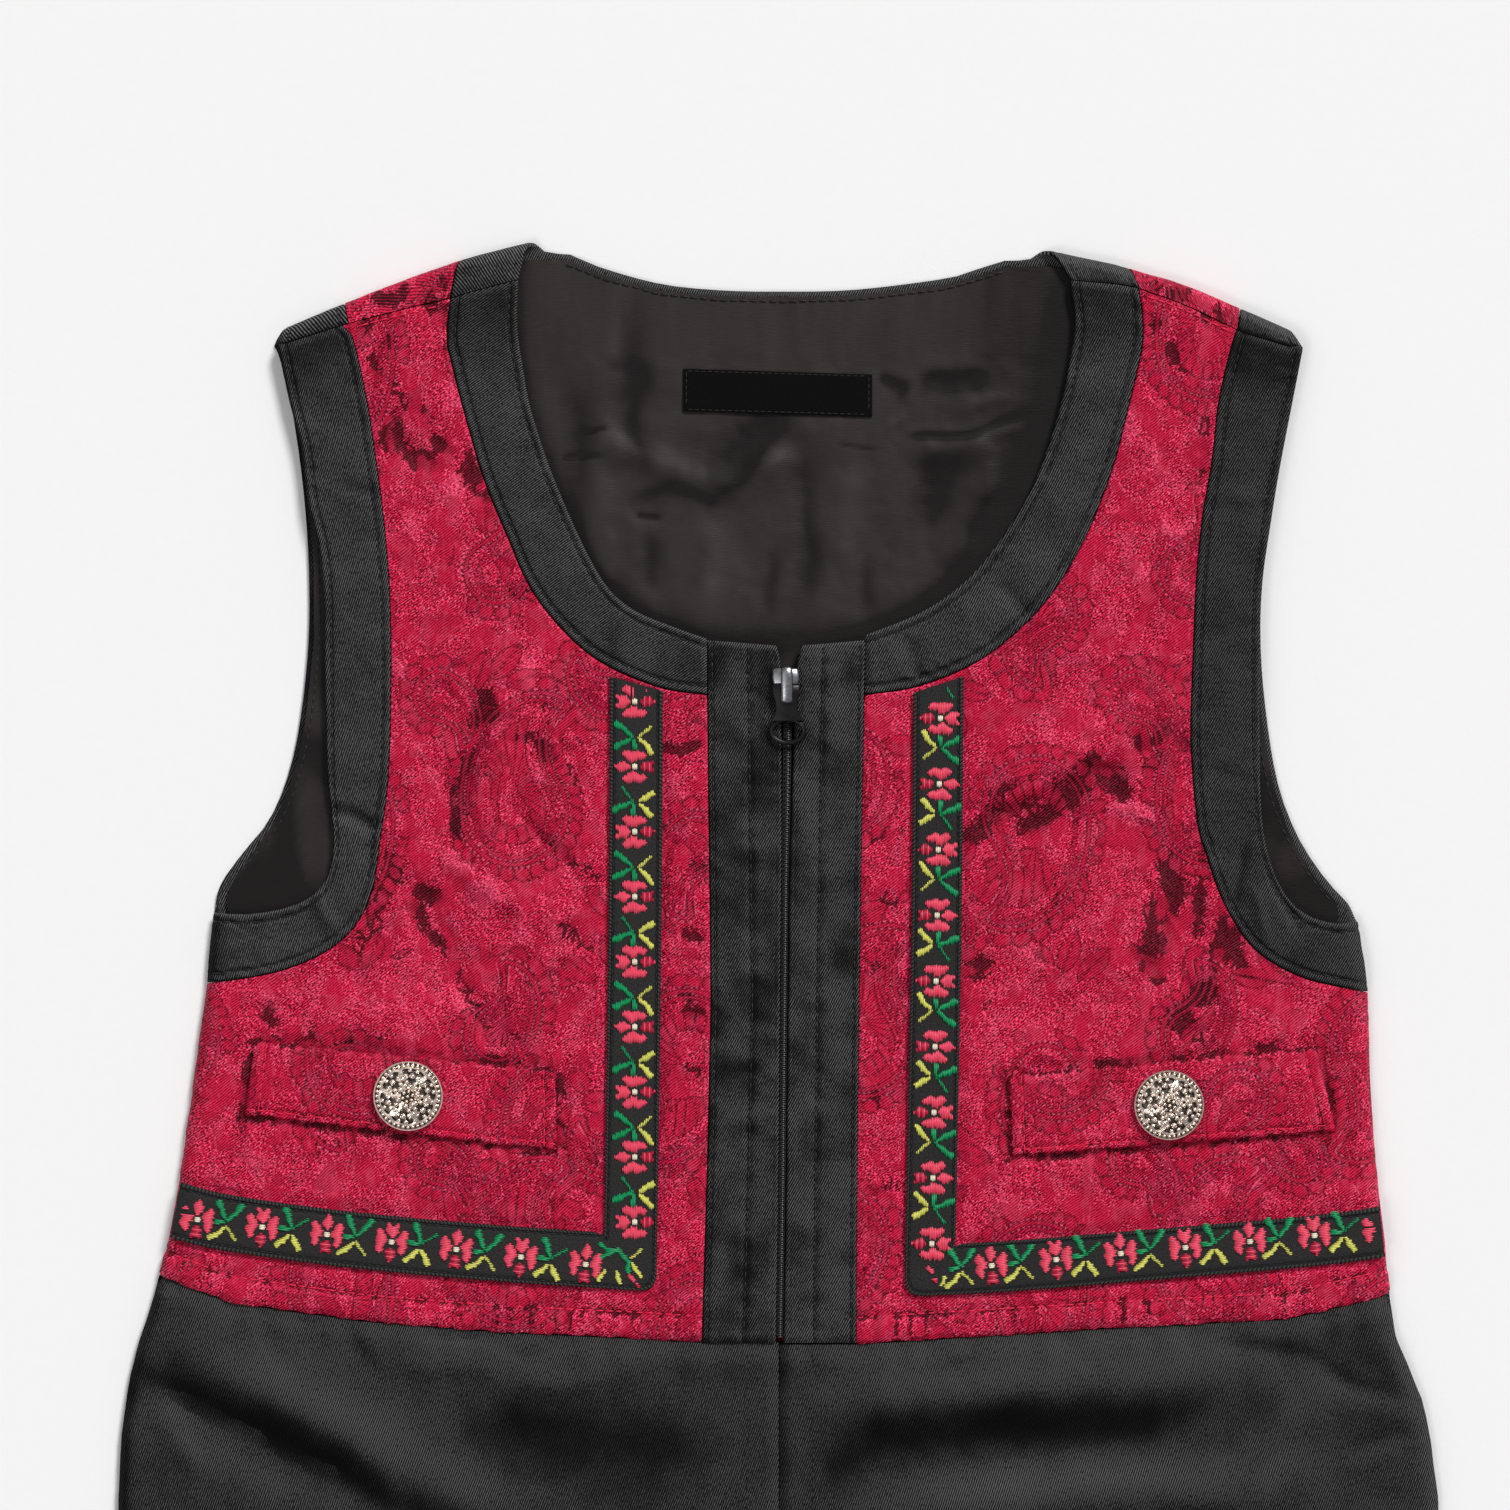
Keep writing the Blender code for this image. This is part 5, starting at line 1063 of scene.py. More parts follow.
def metal_finish(name, colour, roughness, metallic=1.0, worn=0.2):
    finish = Finish(name, roughness=roughness, metallic=metallic, specular_ior_level=0.25)
    x, y = finish.spot()
    dull = finish.noise(x, y, 0.9, 0.9, 3.0)
    finish.wear(base_color=finish.mix(dull, shade(colour, 1.0 - worn), shade(colour, 1.0 + worn)),
                roughness=dull * 0.16 + (roughness - 0.08))
    return finish.bump(dull, 0.02)


def floor_finish(colours):
    finish = Finish("PaleFloor", roughness=0.75, specular_ior_level=0.25)
    x, y = finish.spot()
    fine = finish.noise(x, y, 2.2, 2.2, 3.0)
    finish.wear(base_color=finish.mix(fine, shade(colours.floor, 0.99), shade(colours.floor, 1.01)))
    return finish.bump(fine, 0.04, 0.4)


FINISHES = {}
# The angle of each twill's lines and how bright it is painted: the same black twill, lighter or darker on
# each piece as the light falls on it.
TWILLS = (("band_left", "BandTwillLeft", 72.0, 0.76), ("band_right", "BandTwillRight", 60.0, 0.57),
          ("band", "BandTwill", 63.0, 0.85), ("neck_left", "NeckTwillLeft", 36.0, 0.76),
          ("neck_right", "NeckTwillRight", 63.0, 0.77), ("placket", "PlacketTwill", 62.0, 0.68),
          ("trouser", "TrouserTwill", 70.0, 0.55))


def make_finishes(scene):
    """All materials of the garment, made once from the colours in the panel."""
    colours, sizes = scene.romper_colours, scene.romper_sizes
    FINISHES.update(
        brocade=brocade_finish(colours, sizes),
        **{key: twill_finish(name, colours, sizes, degrees, painted_brightness)
           for key, name, degrees, painted_brightness in TWILLS},
        lining=lining_finish(colours),
        ribbon=ribbon_finish(colours),
        tape=tape_finish(colours),
        black_thread=thread_finish("BlackThread", colours.black_thread, 0.55),
        vest_thread=thread_finish("CrimsonThread", colours.brocade, 0.5),
        petal=thread_finish("PetalThread", colours.petal),
        petal_deep=thread_finish("DeepPetalThread", colours.petal_deep),
        leaf=thread_finish("LeafThread", colours.leaf),
        leaf_light=thread_finish("LightLeafThread", colours.leaf_light),
        heart=thread_finish("HeartThread", colours.heart),
        pewter=metal_finish("Pewter", colours.pewter, 0.26, 1.0, 0.12),
        # Dark body of the buttons: painted shade for the gaps between the filigree.
        pewter_dark=metal_finish("PewterGapShade", shade(colours.pewter, 0.1), 0.35, 0.6),
        slider=metal_finish("SliderMetal", colours.slider, 0.32),
        pull=metal_finish("BlackEnamel", shade(colours.zip_black, 0.5), 0.3, 0.0, 0.1),
        nylon=metal_finish("CoilNylon", shade(colours.zip_black, 1.6), 0.25, 0.0))


# --------------------------------------------------------- figure of the brocade
Paisley = namedtuple("Paisley", "x y size turn flip")
Leaf = namedtuple("Leaf", "x y length width turn")
REPEAT = (84, 112)
PAISLEYS = [Paisley(*row) for row in (
    (20, 30, 15, 20, 1), (62, 86, 15, 200, 1), (64, 22, 9, 130, -1),
    (16, 88, 9, 310, -1), (42, 58, 6, 75, 1), (2, 58, 7, 250, 1))]
LEAVES = [Leaf(*row) for row in (
    (12, 64, 7, 2.4, 70), (18, 66, 7.5, 2.5, 48), (22, 62, 6, 2.2, 20),
    (70, 52, 7, 2.4, 250), (76, 49, 7, 2.4, 225), (64, 50, 6, 2.2, 285),
    (42, 8, 8, 2.8, 140), (47, 3, 6, 2.2, 165), (40, 72, 5, 2.6, 10),
    (45, 76, 5, 2.2, 60), (36, 77, 5, 2.2, 120), (36, 104, 7, 2.4, 320),
    (30, 102, 7, 2.4, 350), (43, 108, 6, 2, 290), (80, 4, 5, 2, 30),
    (84, 8, 5, 2, 80), (48, 40, 5, 2, 200), (34, 46, 5, 2.2, 330))]


def figure(x, drop):
    """Gap to the nearest woven drop's outline, run around it and depth into a leaf, in mm."""
    gap, run, leaf = np.full(x.shape, 9.0), np.zeros(x.shape), np.full(x.shape, -3.0)
    y = -drop
    wide, tall = REPEAT
    for i in range(int((x.min() - 30) // wide), int((x.max() + 30) // wide) + 1):
        for j in range(int((y.min() - 90) // tall), int((y.max() + 90) // tall) + 1):
            left, low = i * wide, j * tall + (i % 2) * tall / 2
            for motif in PAISLEYS:
                px, py = x - left - motif.x, y - low - motif.y
                reach = motif.size * 2.4 + 5
                close = (np.abs(px) < reach) & (np.abs(py) < reach)
                if close.any():
                    distance, around = paisley(px[close], py[close], motif)
                    nearer = np.abs(distance) < np.abs(gap[close])
                    gap[close] = np.where(nearer, distance, gap[close])
                    run[close] = np.where(nearer, around, run[close])
            for part in LEAVES:
                px, py = x - left - part.x, y - low - part.y
                close = (np.abs(px) < part.length + 2) & (np.abs(py) < part.length + 2)
                if close.any():
                    turn = math.radians(part.turn)
                    along = px[close] * math.cos(turn) + py[close] * math.sin(turn)
                    aside = np.abs(py[close] * math.cos(turn) - px[close] * math.sin(turn))
                    inside = (1 - (along / part.length * 1.25) ** 2) * part.width - aside
                    leaf[close] = np.maximum(leaf[close], np.minimum(inside, aside - 0.25))
    return {"gap": gap, "run": run, "leaf": leaf}


def paisley(px, py, motif):
    """Distance outside one curled drop and the run around it."""
    turn = math.radians(motif.turn)
    aside = (px * math.cos(turn) + py * math.sin(turn)) * motif.flip / motif.size
    up = (-px * math.sin(turn) + py * math.cos(turn)) / motif.size
    distance = np.full_like(px, 9.0)
    for part in np.linspace(0, 1, 16):
        bend = part * 1.9
        cx, cy = 1.05 * (1 - math.cos(bend)), 1.4 * math.sin(bend)
        radius = 0.82 * (1 - part) ** 0.8 + 0.03
        distance = np.minimum(distance, np.hypot(aside - cx, up - cy) - radius)
    return distance * motif.size, np.arctan2(up - 0.35, aside - 0.1) * motif.size


def gap_to(line, x, drop):
    """Distance of each place from a line of places."""
    nearest = np.full(x.shape, 1e9)
    for (ax, ay), (bx, by) in zip(line[:-1], line[1:]):
        run = (bx - ax) ** 2 + (by - ay) ** 2
        part = np.clip(((x - ax) * (bx - ax) + (drop - ay) * (by - ay)) / run, 0, 1)
        nearest = np.minimum(nearest, np.hypot(x - ax - part * (bx - ax),
                                               drop - ay - part * (by - ay)))
    return nearest


def ribbon_centres(hand):
    """Middle lines of a ribbon: down beside the zip, then out to the side."""
    sign = SIGN[hand]
    down_width, out_width = RIBBON_WIDTH[hand]
    down = shift(line_of(RIBBON_DOWN[hand]), -sign * down_width / 2)
    out = shift(line_of(RIBBON_OUT[hand]), -sign * out_width / 2)
    return down, out


def flap_distance(hand, x, drop):
    """Signed distance outside the flap's outline, negative inside."""
    corners = np.array(FLAP[hand] + FLAP[hand][:1])
    outside = np.full(x.shape, -1e9)
    for (ax, ay), (bx, by) in zip(corners[:-1], corners[1:]):
        run = math.hypot(bx - ax, by - ay)
        outside = np.maximum(outside, ((x - ax) * (by - ay) - (drop - ay) * (bx - ax)) / run)
    return outside


def vest_relief(hand, x, drop):
    """Relief of a vest front's brocade, its figure, painted shade and painted highlights."""
    crumple = (0.11 * grain(x, drop, 2.3, 1) + 0.13 * grain(x + drop, drop - x, 5.5, 2)
               + 0.16 * grain(x, drop, 12.0, 3))
    away = bent(*bent(x, drop, 9.0, 1.6, 90), 2.4, 0.8, 93)
    creases = creased(VEST_CREASES, *away)
    creases *= np.clip(0.75 + 0.6 * grain(x, drop, 5.0, 96) + 0.4 * grain(x, drop, 1.8, 97), 0, 1.4)
    hem_gap = across(HEM[hand], x) - drop
    pucker = np.sin(x * 1.45 + 2.5 * stripes(x, 9.0, 5)) * (0.6 + 0.4 * stripes(x, 14.0, 6))
    hem = (-0.5 * bell(hem_gap - HEM_INSET, 0.8)
           + 0.26 * pucker * smooth(0.0, 1.5, hem_gap) * smooth(6.6, 5.0, hem_gap)
           + 0.35 * smooth(7.5, 5.0, hem_gap) + 0.1 * pucker * smooth(13.0, 7.0, hem_gap)
           * smooth(6.0, 7.5, hem_gap))
    flap = flap_distance(hand, x, drop)
    along = np.sin(x * 1.15 + 3.0 * stripes(x, 8.0, 8))
    spots = 0.55 + 0.45 * grain(x, drop, 3.0, 18)
    flap_dip = (-0.75 * spots * bell(flap - 0.6, 1.5)
                + 0.3 * along * bell(flap - 2.2, 2.2) * (flap > 0))
    down, out = ribbon_centres(hand)
    ribbon = np.minimum(gap_to(down[::5], x, drop) - RIBBON_WIDTH[hand][0] / 2,
                        gap_to(out[::5], x, drop) - RIBBON_WIDTH[hand][1] / 2)
    ribbon_dip = -0.4 * bell(ribbon - 0.3, 1.1)
    shades = fold_rise(VEST_SHADES, *bent(x, drop, 3.0, 0.8, 111))
    light = fold_rise(VEST_LIGHTS, *bent(x, drop, 2.5, 1.0, 113))
    relief = crumple + creases + hem + flap_dip + ribbon_dip - 0.45 * shades + 0.3 * light
    hidden = np.maximum(smooth(0.3, -0.6, ribbon), smooth(0.3, -0.6, flap))
    relief = relief * (1 - hidden) - 0.1 * hidden
    # Painted shade, carried in depth: in the folds, in the hem's stitching groove and its gathers, in
    # broken spots beside the flap and beside the ribbons.
    groove = bell(hem_gap - HEM_INSET, 0.6) * (0.75 + 0.45 * pucker)
    gather = smooth(0.2, 1.0, pucker) * smooth(0.5, 1.5, hem_gap) * smooth(6.6, 5.6, hem_gap)
    breaks = smooth(-0.35, 0.35, grain(x, drop, 1.9, 19) + 0.6 * grain(x, drop, 6.0, 20))
    beside_flap = bell(flap - 0.4, 1.3) * (0.25 + 0.85 * breaks)
    depth = np.clip(1.35 * shades - 0.35 * creases + 1.1 * groove + 0.8 * gather
                    + 1.3 * beside_flap - 0.3 * ribbon_dip, 0, 1.2)
    # Painted glint along the hem's edge, added to the light value.
    glint = 0.25 * smooth(1.8, 0.4, hem_gap)
    return relief, dict(figure(x, drop), depth=depth, light=np.clip(light, 0, 1.2) + glint)


# ------------------------------------------------------------ pieces of cloth
def to_side(line, hand):
    """The line with its last point moved onto the side seam."""
    line[-1] = (at(SIDE[hand], line[-1, 1]), line[-1, 1])
    return line


def front_bodice(hand):
    """One brocade front of the vest, from the armhole in to the neck and zip."""
    sign = SIGN[hand]
    arm = shift(pick(below(line_of(ARM_SEAM[hand]), under_seam), even(300)), sign * SEAM)
    neck = shift(pick(below(line_of(NECK_SEAM[hand]), under_seam), even(200)), -sign * SEAM)
    arm = to_side(arm, hand)
    neck[-1] = (PLACKET[hand][0].x - sign * SEAM, NECK_SEAM[hand][-1].drop + SEAM)
    neck_steps, arm_steps, side_steps, columns = 132, 88, 84, 148
    level_arm, low_arm = 0.68, 0.32      # parts of the armhole's run, beside the neck and below
    turn = 196.0              # drop beside the zip that is level with the armhole's end
    hem_out, hem_in = HEM[hand][::SIGN[hand]][0], HEM[hand][::SIGN[hand]][-1]
    part = even(arm_steps)
    level = neck[-1, 1] + (turn - neck[-1, 1]) * (1.35 * part - 0.35 * part ** 2)
    level = np.concatenate([level[1:], turn + (hem_in.drop - turn) * even(side_steps)[1:]])
    side_drop = arm[-1, 1] + (hem_out.drop - arm[-1, 1]) * even(side_steps)[1:]
    shares = np.concatenate([level_arm * even(neck_steps), level_arm + low_arm * part[1:]])
    outside = np.vstack([pick(arm, shares),
                         np.column_stack([at(SIDE[hand], side_drop), side_drop])])
    inside = np.vstack([pick(neck, even(neck_steps)),
                        np.column_stack([at(PLACKET[hand], level) - sign * SEAM, level])])
    places = rule(outside, inside, even(columns))
    meet(places, 0, under_seam, 14.0)
    meet(places, -1, lambda x: across(HEM[hand], x), 16.0)
    x, drop = places[..., 0], places[..., 1]
    relief, values = vest_relief(hand, x, drop)
    edge = 0.3 * stripes(x, 1.1, 21) * smooth(3.0, 0.0, across(HEM[hand], x) - drop)
    places[..., 1] += edge
    lay("brocade_front_" + hand, "front_bodice_" + hand, "brocade", "back_bodice", "brocade",
        places, front_surface, relief=relief, values=values,
        rims=(NO_RIM, Rim(0.9, 0.35), Rim(0.9, 0.3), Rim(1.6, 0.7)))


def front_band(kind, hand, edge_rows, seam_rows, count, outward, finish):
    """A front band between its free edge and its seam; an armhole's ends at the side."""
    ends_at_side = kind == "armhole_band"
    gap = outward * SIGN[hand] * SEAM
    seam = shift(pick(below(line_of(seam_rows), under_seam), even(count)), -gap)
    edge = pick(below(line_of(edge_rows), under_seam), even(count))
    if ends_at_side:
        seam, edge = to_side(seam, hand), to_side(edge, hand)
    places = rule(edge, seam, finer(BAND_WIDTH, BAND_INSET, 1.3))
    meet(places, 0, under_seam, 9.0)
    near, far = side_distances(front_surface(places)[0])[:2]
    # Painted shade, as a low light value: darker near the shoulder seam and in the hollows along the
    # stitching.
    sewn = bell(near - BAND_INSET, 0.55) + bell(far - BAND_INSET, 0.55)
    light = -0.42 * smooth(22.0, 2.0, places[..., 1] - seam_line(places[..., 0])) - 0.3 * sewn
    last = NO_RIM if ends_at_side else Rim(0.8, 0.3)
    lay(f"{kind}_front_{hand}", f"front_{kind}_{hand}", "twill", "back_lining", finish,
        places, front_surface, relief=band_relief(places, front_surface),
        rims=(Rim(0.8, 0.35), Rim(0.6, 0.15), Rim(0.8, 0.3), last), values={"light": light})
    return places


def band_relief(places, surface, inset=BAND_INSET, amount=0.15):
    """Soft hollow and small puckers along the stitching on both sides of a band."""
    x, drop = places[..., 0], places[..., 1]
    near, far, deep, _ = side_distances(surface(places)[0])
    hollow = bell(near - inset, 0.45) + bell(far - inset, 0.45)
    pucker = np.sin(deep * 1.3 + 2.5 * grain(x, drop, 6.0, 14)) * grain(x, drop, 8.0, 15)
    beside = bell(near - inset, 2.2) + bell(far - inset, 2.2)
    ripple = 0.08 * grain(x, drop, 3.0, 4) + 0.16 * grain(x, drop, 9.0, 7) + 0.12 * pucker * beside
    return ripple - amount * hollow + fold_rise(BAND_CREASES, *bent(x, drop, 6.0, 1.0, 16))


def back_wrap(first, second, count):
    """Rows that bring a back piece over the shoulder, from the shoulder seam down.

    Each end is x at the shoulder seam, at the fold and on the flat back.
    """
    rows = []
    for past in [None, *np.linspace(FOLD_CLOTH, -FOLD_CLOTH, WRAP_ROWS)]:
        ends = []
        for at_seam, at_fold, on_flat in (first, second):
            if past is None:
                ends.append(at_seam)
            elif past > 0:
                ends.append(at_fold + (at_seam - at_fold) * 0.5 * past / FOLD_CLOTH)
            else:
                ends.append(at_fold - (on_flat - at_fold) * past / FOLD_CLOTH)
        x = ends[0] + (ends[1] - ends[0]) * even(count)
        if past is None:
            fold = fold_line(x)
            drop = fold - FOLD_CLOTH - (seam_line(x) - SEAM - fold - FOLD_DEPTH)
        else:
            drop = fold_line(x) - past
        rows.append(np.column_stack([x, drop]))
    return split(np.array(rows), 0, 4)


def split(rows, first, count):
    """The rows with the step that follows one of them cut into this many."""
    parts = even(count)[1:-1, None, None]
    extra = rows[first] * (1 - parts) + rows[first + 1] * parts
    return np.concatenate([rows[:first + 1], extra, rows[first + 1:]])


# Where the back's edges and seams come over the shoulder: x at the shoulder seam,
# at the fold and on the flat back.
NECK_OVER = {"left": ((-63.0, -60.0, -56.5), (-79.3, -77.0, -75.5)),
             "right": ((70.2, 65.0, 60.5), (87.2, 84.6, 82.6))}
ARM_OVER = {"left": ((-121.0, -119.5, -121.6), (-104.0, -105.2, -104.0)),
            "right": ((126.0, 123.6, 125.9), (110.8, 111.6, 111.4))}


def beside(line, gap):
    """The same x values moved over by a gap."""
    return tuple(value + gap for value in line)


def multiple(places):
    """Drop spare rows so that the grid's steps divide evenly into coarse ones."""
    for k in range((len(places) - 1) % COARSE):
        places = np.delete(places, len(places) // 2 + k, axis=0)
    return places


def back_neck_band():
    """Band around the back of the neck, with both ends over the shoulders."""
    parts = finer(BAND_WIDTH, BAND_INSET, 1.6)
    count = len(parts) - 1
    edge = pick(line_of(BACK_NECK_EDGE), even(88))
    seam = shift(pick(line_of(BACK_NECK_SEAM), even(88)), SEAM)
    grids = [respace(back_wrap(*NECK_OVER["left"], count), parts),
             rule(edge, seam, parts),
             respace(back_wrap(*NECK_OVER["right"], count), parts)[::-1]]
    places = multiple(np.concatenate(grids))
    lay("neck_band_back", "back_neck_band", "twill", "stage", "band", places, back_surface,
        relief=band_relief(places, back_surface, amount=0.1) * over_only(places),
        rims=(Rim(1.0, 0.4), Rim(0.8, 0.2), Rim(0.8, 0.2), Rim(0.8, 0.2)))


def respace(rows, parts):
    """The same rows with their points at other parts across."""
    return np.array([pick(row, parts) for row in rows])


def over_only(places):
    """1 where the back has come over the shoulder, 0 on its flat underside."""
    return smooth(-1.0, 2.0, fold_line(places[..., 0]) - places[..., 1])


def back_arm_band(hand):
    """Band around the back of an armhole, with one end over the shoulder."""
    sign = SIGN[hand]
    parts = finer(BACK_ARM_WIDTH, BAND_INSET, 1.6)
    outer = to_side(pick(below(line_of(BACK_ARM[hand]), under_fold), even(120)), hand)
    inner = shift(pick(below(line_of(ARM_SEAM[hand]), under_fold), even(120)), -sign * SEAM)
    wrap = respace(back_wrap(*ARM_OVER[hand], len(parts) - 1), parts)
    places = multiple(np.concatenate([wrap, rule(outer, to_side(inner, hand), parts)]))
    lay("armhole_band_back_" + hand, "back_armhole_band_" + hand, "twill", "stage", "band",
        places, back_surface,
        relief=band_relief(places, back_surface, amount=0.1) * over_only(places),
        rims=(Rim(1.0, 0.4), Rim(0.8, 0.2), Rim(0.8, 0.2), NO_RIM))
    return places


def back_grid(left, right, neck, tops):
    """Rows of a back with two shoulders and a neck between, bottom first, and its hole."""
    columns = tops[0].shape[1]
    share_left = even(columns - 1)
    top = np.vstack([left[0] + (neck[0] - left[0]) * share_left[:, None], neck[1:-1],
                     neck[-1] + (right[0] - neck[-1]) * share_left[:, None]])
    shares = (top[:, 0] - top[0, 0]) / (top[-1, 0] - top[0, 0])
    body = rule(left[:0:-1], right[:0:-1], shares)
    filler = np.full((tops[0].shape[0], len(neck) - 2, 2), np.nan)
    upper = np.concatenate([tops[0], filler, tops[1]], axis=1)
    places = np.concatenate([body, top[None], upper])
    return places, np.isnan(places[..., 0])


def whole(places, hole):
    """Fill the hole's places so that sums stay finite; the hole itself is not built."""
    filled = places.copy()
    filled[hole] = (0.0, 20.0)
    return filled


def back_bodice():
    """Brocade back with its two shoulders folded over to the front."""
    lines = []
    for hand in HANDS:
        sign = SIGN[hand]
        arm = to_side(shift(pick(below(line_of(ARM_SEAM[hand]), under_fold), even(60)),
                            sign * SEAM), hand)
        drops = arm[-1, 1] + (SIDE_WAIST - arm[-1, 1]) * even(20)[1:]
        lines.append(np.vstack([arm, np.column_stack([at(SIDE[hand], drops), drops])]))
    neck = shift(pick(line_of(BACK_NECK_SEAM), even(60)), -SEAM)
    gap = SEAM * 2
    shoulders = ((beside(ARM_OVER["left"][1], gap), beside(NECK_OVER["left"][1], -gap)),
                 (beside(NECK_OVER["right"][1], gap), beside(ARM_OVER["right"][1], -gap)))
    tops = [back_wrap(*ends, 36)[::-1] for ends in shoulders]
    places, hole = back_grid(*lines, neck, tops)
    places = whole(places, hole)
    meet(places, 0, back_waist, 30.0)
    x, drop = places[..., 0], places[..., 1]
    seen = over_only(places)
    shown = 2 * fold_line(x) - drop + FOLD_DEPTH - FOLD_CLOTH
    crumple = 0.12 * grain(x, drop, 2.3, 1) + 0.12 * grain(x, drop, 6.0, 2)
    # Painted shade where the back comes over the shoulders, from the fronts' shade table.
    depth = 1.35 * seen * fold_rise(VEST_SHADES, x, shown)
    lay("brocade_back", "back_bodice", "brocade", "stage", "brocade", places, back_surface,
        relief=crumple * seen, hole=hole,
        values=dict(figure(x, drop), depth=depth, light=0.0))


def back_lining():
    """Satin lining inside the back, creased and shaded where it shows."""
    levels = np.concatenate([np.linspace(26.0, 100.0, 96), np.linspace(101.4, 160.0, 42),
                             np.linspace(163.0, 246.0, 22)])
    lines = []
    for hand in HANDS:
        arm = BACK_ARM[hand]
        side = np.abs(at(SIDE[hand], levels)) - LINING_INSET
        armhole = np.abs(at(arm, levels)) - (1.4 + 1.2 * smooth(130.0, 156.0, levels))
        reach = np.where(levels <= arm[-2].drop, np.minimum(armhole, side), side)
        pulled = 8.0 * smooth(168.0, 174.0, levels) * smooth(190.0, 178.0, levels)
        reach = np.minimum(side - pulled, reach)
        reach = np.convolve(np.pad(reach, 2, mode="edge"), np.ones(5) / 5, "valid")
        lines.append(np.column_stack([-SIGN[hand] * reach, levels]))
    neck = shift(pick(line_of(BACK_NECK_EDGE), even(126)), -0.9)
    tops = []
    for first, second in ((-118.4, -62.0), (64.5, 122.0)):
        x = first + (second - first) * even(30)
        tops.append(np.column_stack([x, fold_line(x) + 3.9])[None])
    places = back_grid(*lines, neck, tops)[0]
    places = split(places, len(places) - 2, 8)
    hole = np.isnan(places[..., 0])
    places = whole(places, hole)
    meet(places, 0, lambda x: back_waist(x) - 1.5, 30.0)
    x, drop = places[..., 0], places[..., 1]
    open_neck = (smooth(3.0, 9.0, x - at(NECK_EDGE["left"], drop))
                 * smooth(3.0, 9.0, at(NECK_EDGE["right"], drop) - x) * smooth(92.0, 84.0, drop))
    away = bent(x, drop, 11.0, 1.8, 34)
    relief = (0.9 * fold_rise(LINING_CREASES, *away)
              + 0.35 * grain(*bent(x, drop * 0.6, 8.0, 3.0, 36), 9.0, 32) * smooth(24.0, 50.0, drop)
              + 0.2 * grain(x, drop, 5.0, 31) + 0.08 * grain(x, drop, 2.2, 33))
    shades = fold_rise(LINING_SHADES, *away)
    light = fold_rise(LINING_LIGHTS, *away)
    under = np.clip((0.6 * relief - 0.22 * shades + 0.4 * light) * (0.45 + 0.75 * open_neck),
                    -0.85, 0.7 + 1.4 * open_neck)
    # Painted shadow cast by the neck edges onto the lining, painted shade towards the right side, and past
    # x = 90 painted shade in the armholes, darkest towards their bottom.
    far_edge = at(NECK_EDGE["right"], drop) - x
    near_edge = x - at(NECK_EDGE["left"], drop)
    low_edge = across(PLACKET_TOP, x) - drop
    cast = (0.9 * bell(far_edge, 7.0) * smooth(4.0, 20.0, drop)
            + 0.5 * bell(near_edge, 2.5) + 0.7 * bell(low_edge, 4.0))
    deep = np.clip(1.25 * shades + cast + 0.35 * smooth(36.0, 54.0, x), 0, 1.4)
    hollow = (0.5 + 0.7 * grain(*bent(x, drop * 0.5, 9.0, 3.0, 38), 7.0, 39)
              + 0.6 * smooth(146.0, 162.0, drop))
    deep = np.where(np.abs(x) > 90.0, np.clip(hollow, 0.1, 1.3), deep)
    lay("satin_lining", "back_lining", "lining", "back_bodice", "lining", places, lining_surface,
        relief=under, hole=hole, values={"light": light, "depth": deep})


def seat_row(hand, columns, drop):
    """x across one half of the seat, from the side seam to the middle."""
    return at(SIDE[hand], drop) * (1 - columns) - SIGN[hand] * 0.1 * columns


def leg_rows(hand, columns, drops):
    """Rows across a leg at these drops, from its side seam to its inseam."""
    rows = []
    for drop in drops:
        inside, outside = -SIGN[hand] * at(INSEAM, drop), at(SIDE[hand], drop)
        rows.append(np.column_stack([outside + (inside - outside) * columns,
                                     drop + 0 * columns]))
    return rows


def front_trouser(hand):
    """Front of one trouser half, gathered under the vest's hem."""
    hem = HEM[hand]
    columns = even(104)
    top = hem[::SIGN[hand]][0].drop
    rows = []
    for part in even(116):
        x = seat_row(hand, columns, top + (CROTCH - top) * part)
        for _ in range(3):      # the side bends, so each try comes closer to the hem
            drop = (1 - part) * (across(hem, x) + SEAM * 2) + part * (CROTCH - 0.5)
            x = seat_row(hand, columns, drop)
        rows.append(np.column_stack([x, drop]))
    rows += leg_rows(hand, columns, CROTCH + (LENGTH - CROTCH) * even(64)[1:] ** 1.15)
    places = np.array(rows)
    x, drop = places[..., 0], places[..., 1]
    waist = drop - across(hem, x)
    gathers = np.sin(x * 0.62 + 2.0 * stripes(x, 12.0, 41)) * smooth(14.0, 1.0, waist)
    away = bent(x, drop, 18.0, 3.0, 44)
    relief = (1.3 * fold_rise(TROUSER_CREASES, *away) - 0.9 * smooth(5.0, 0.0, waist)
              + 0.2 * gathers + 0.08 * grain(x, drop, 4.0, 42)
              + 0.55 * grain(*bent(x, drop, 25.0, 9.0, 46), 19.0, 43)
              - 0.4 * smooth(2.0, 0.0, np.abs(x)) * (drop < CROTCH))
    # Painted light and shade of the folds, read by the twill as its light value.
    tone_and_painted_light = 1.35 * fold_rise(TROUSER_LIGHT_AND_SHADE, *away)
    lay("trouser_front_" + hand, "front_trouser_" + hand, "twill", "back_trouser_" + hand,
        "trouser", places, front_surface, relief=relief, values={"light": tone_and_painted_light},
        rims=(NO_RIM, Rim(1.0, 0.4), NO_RIM, Rim(1.2, 0.4)))


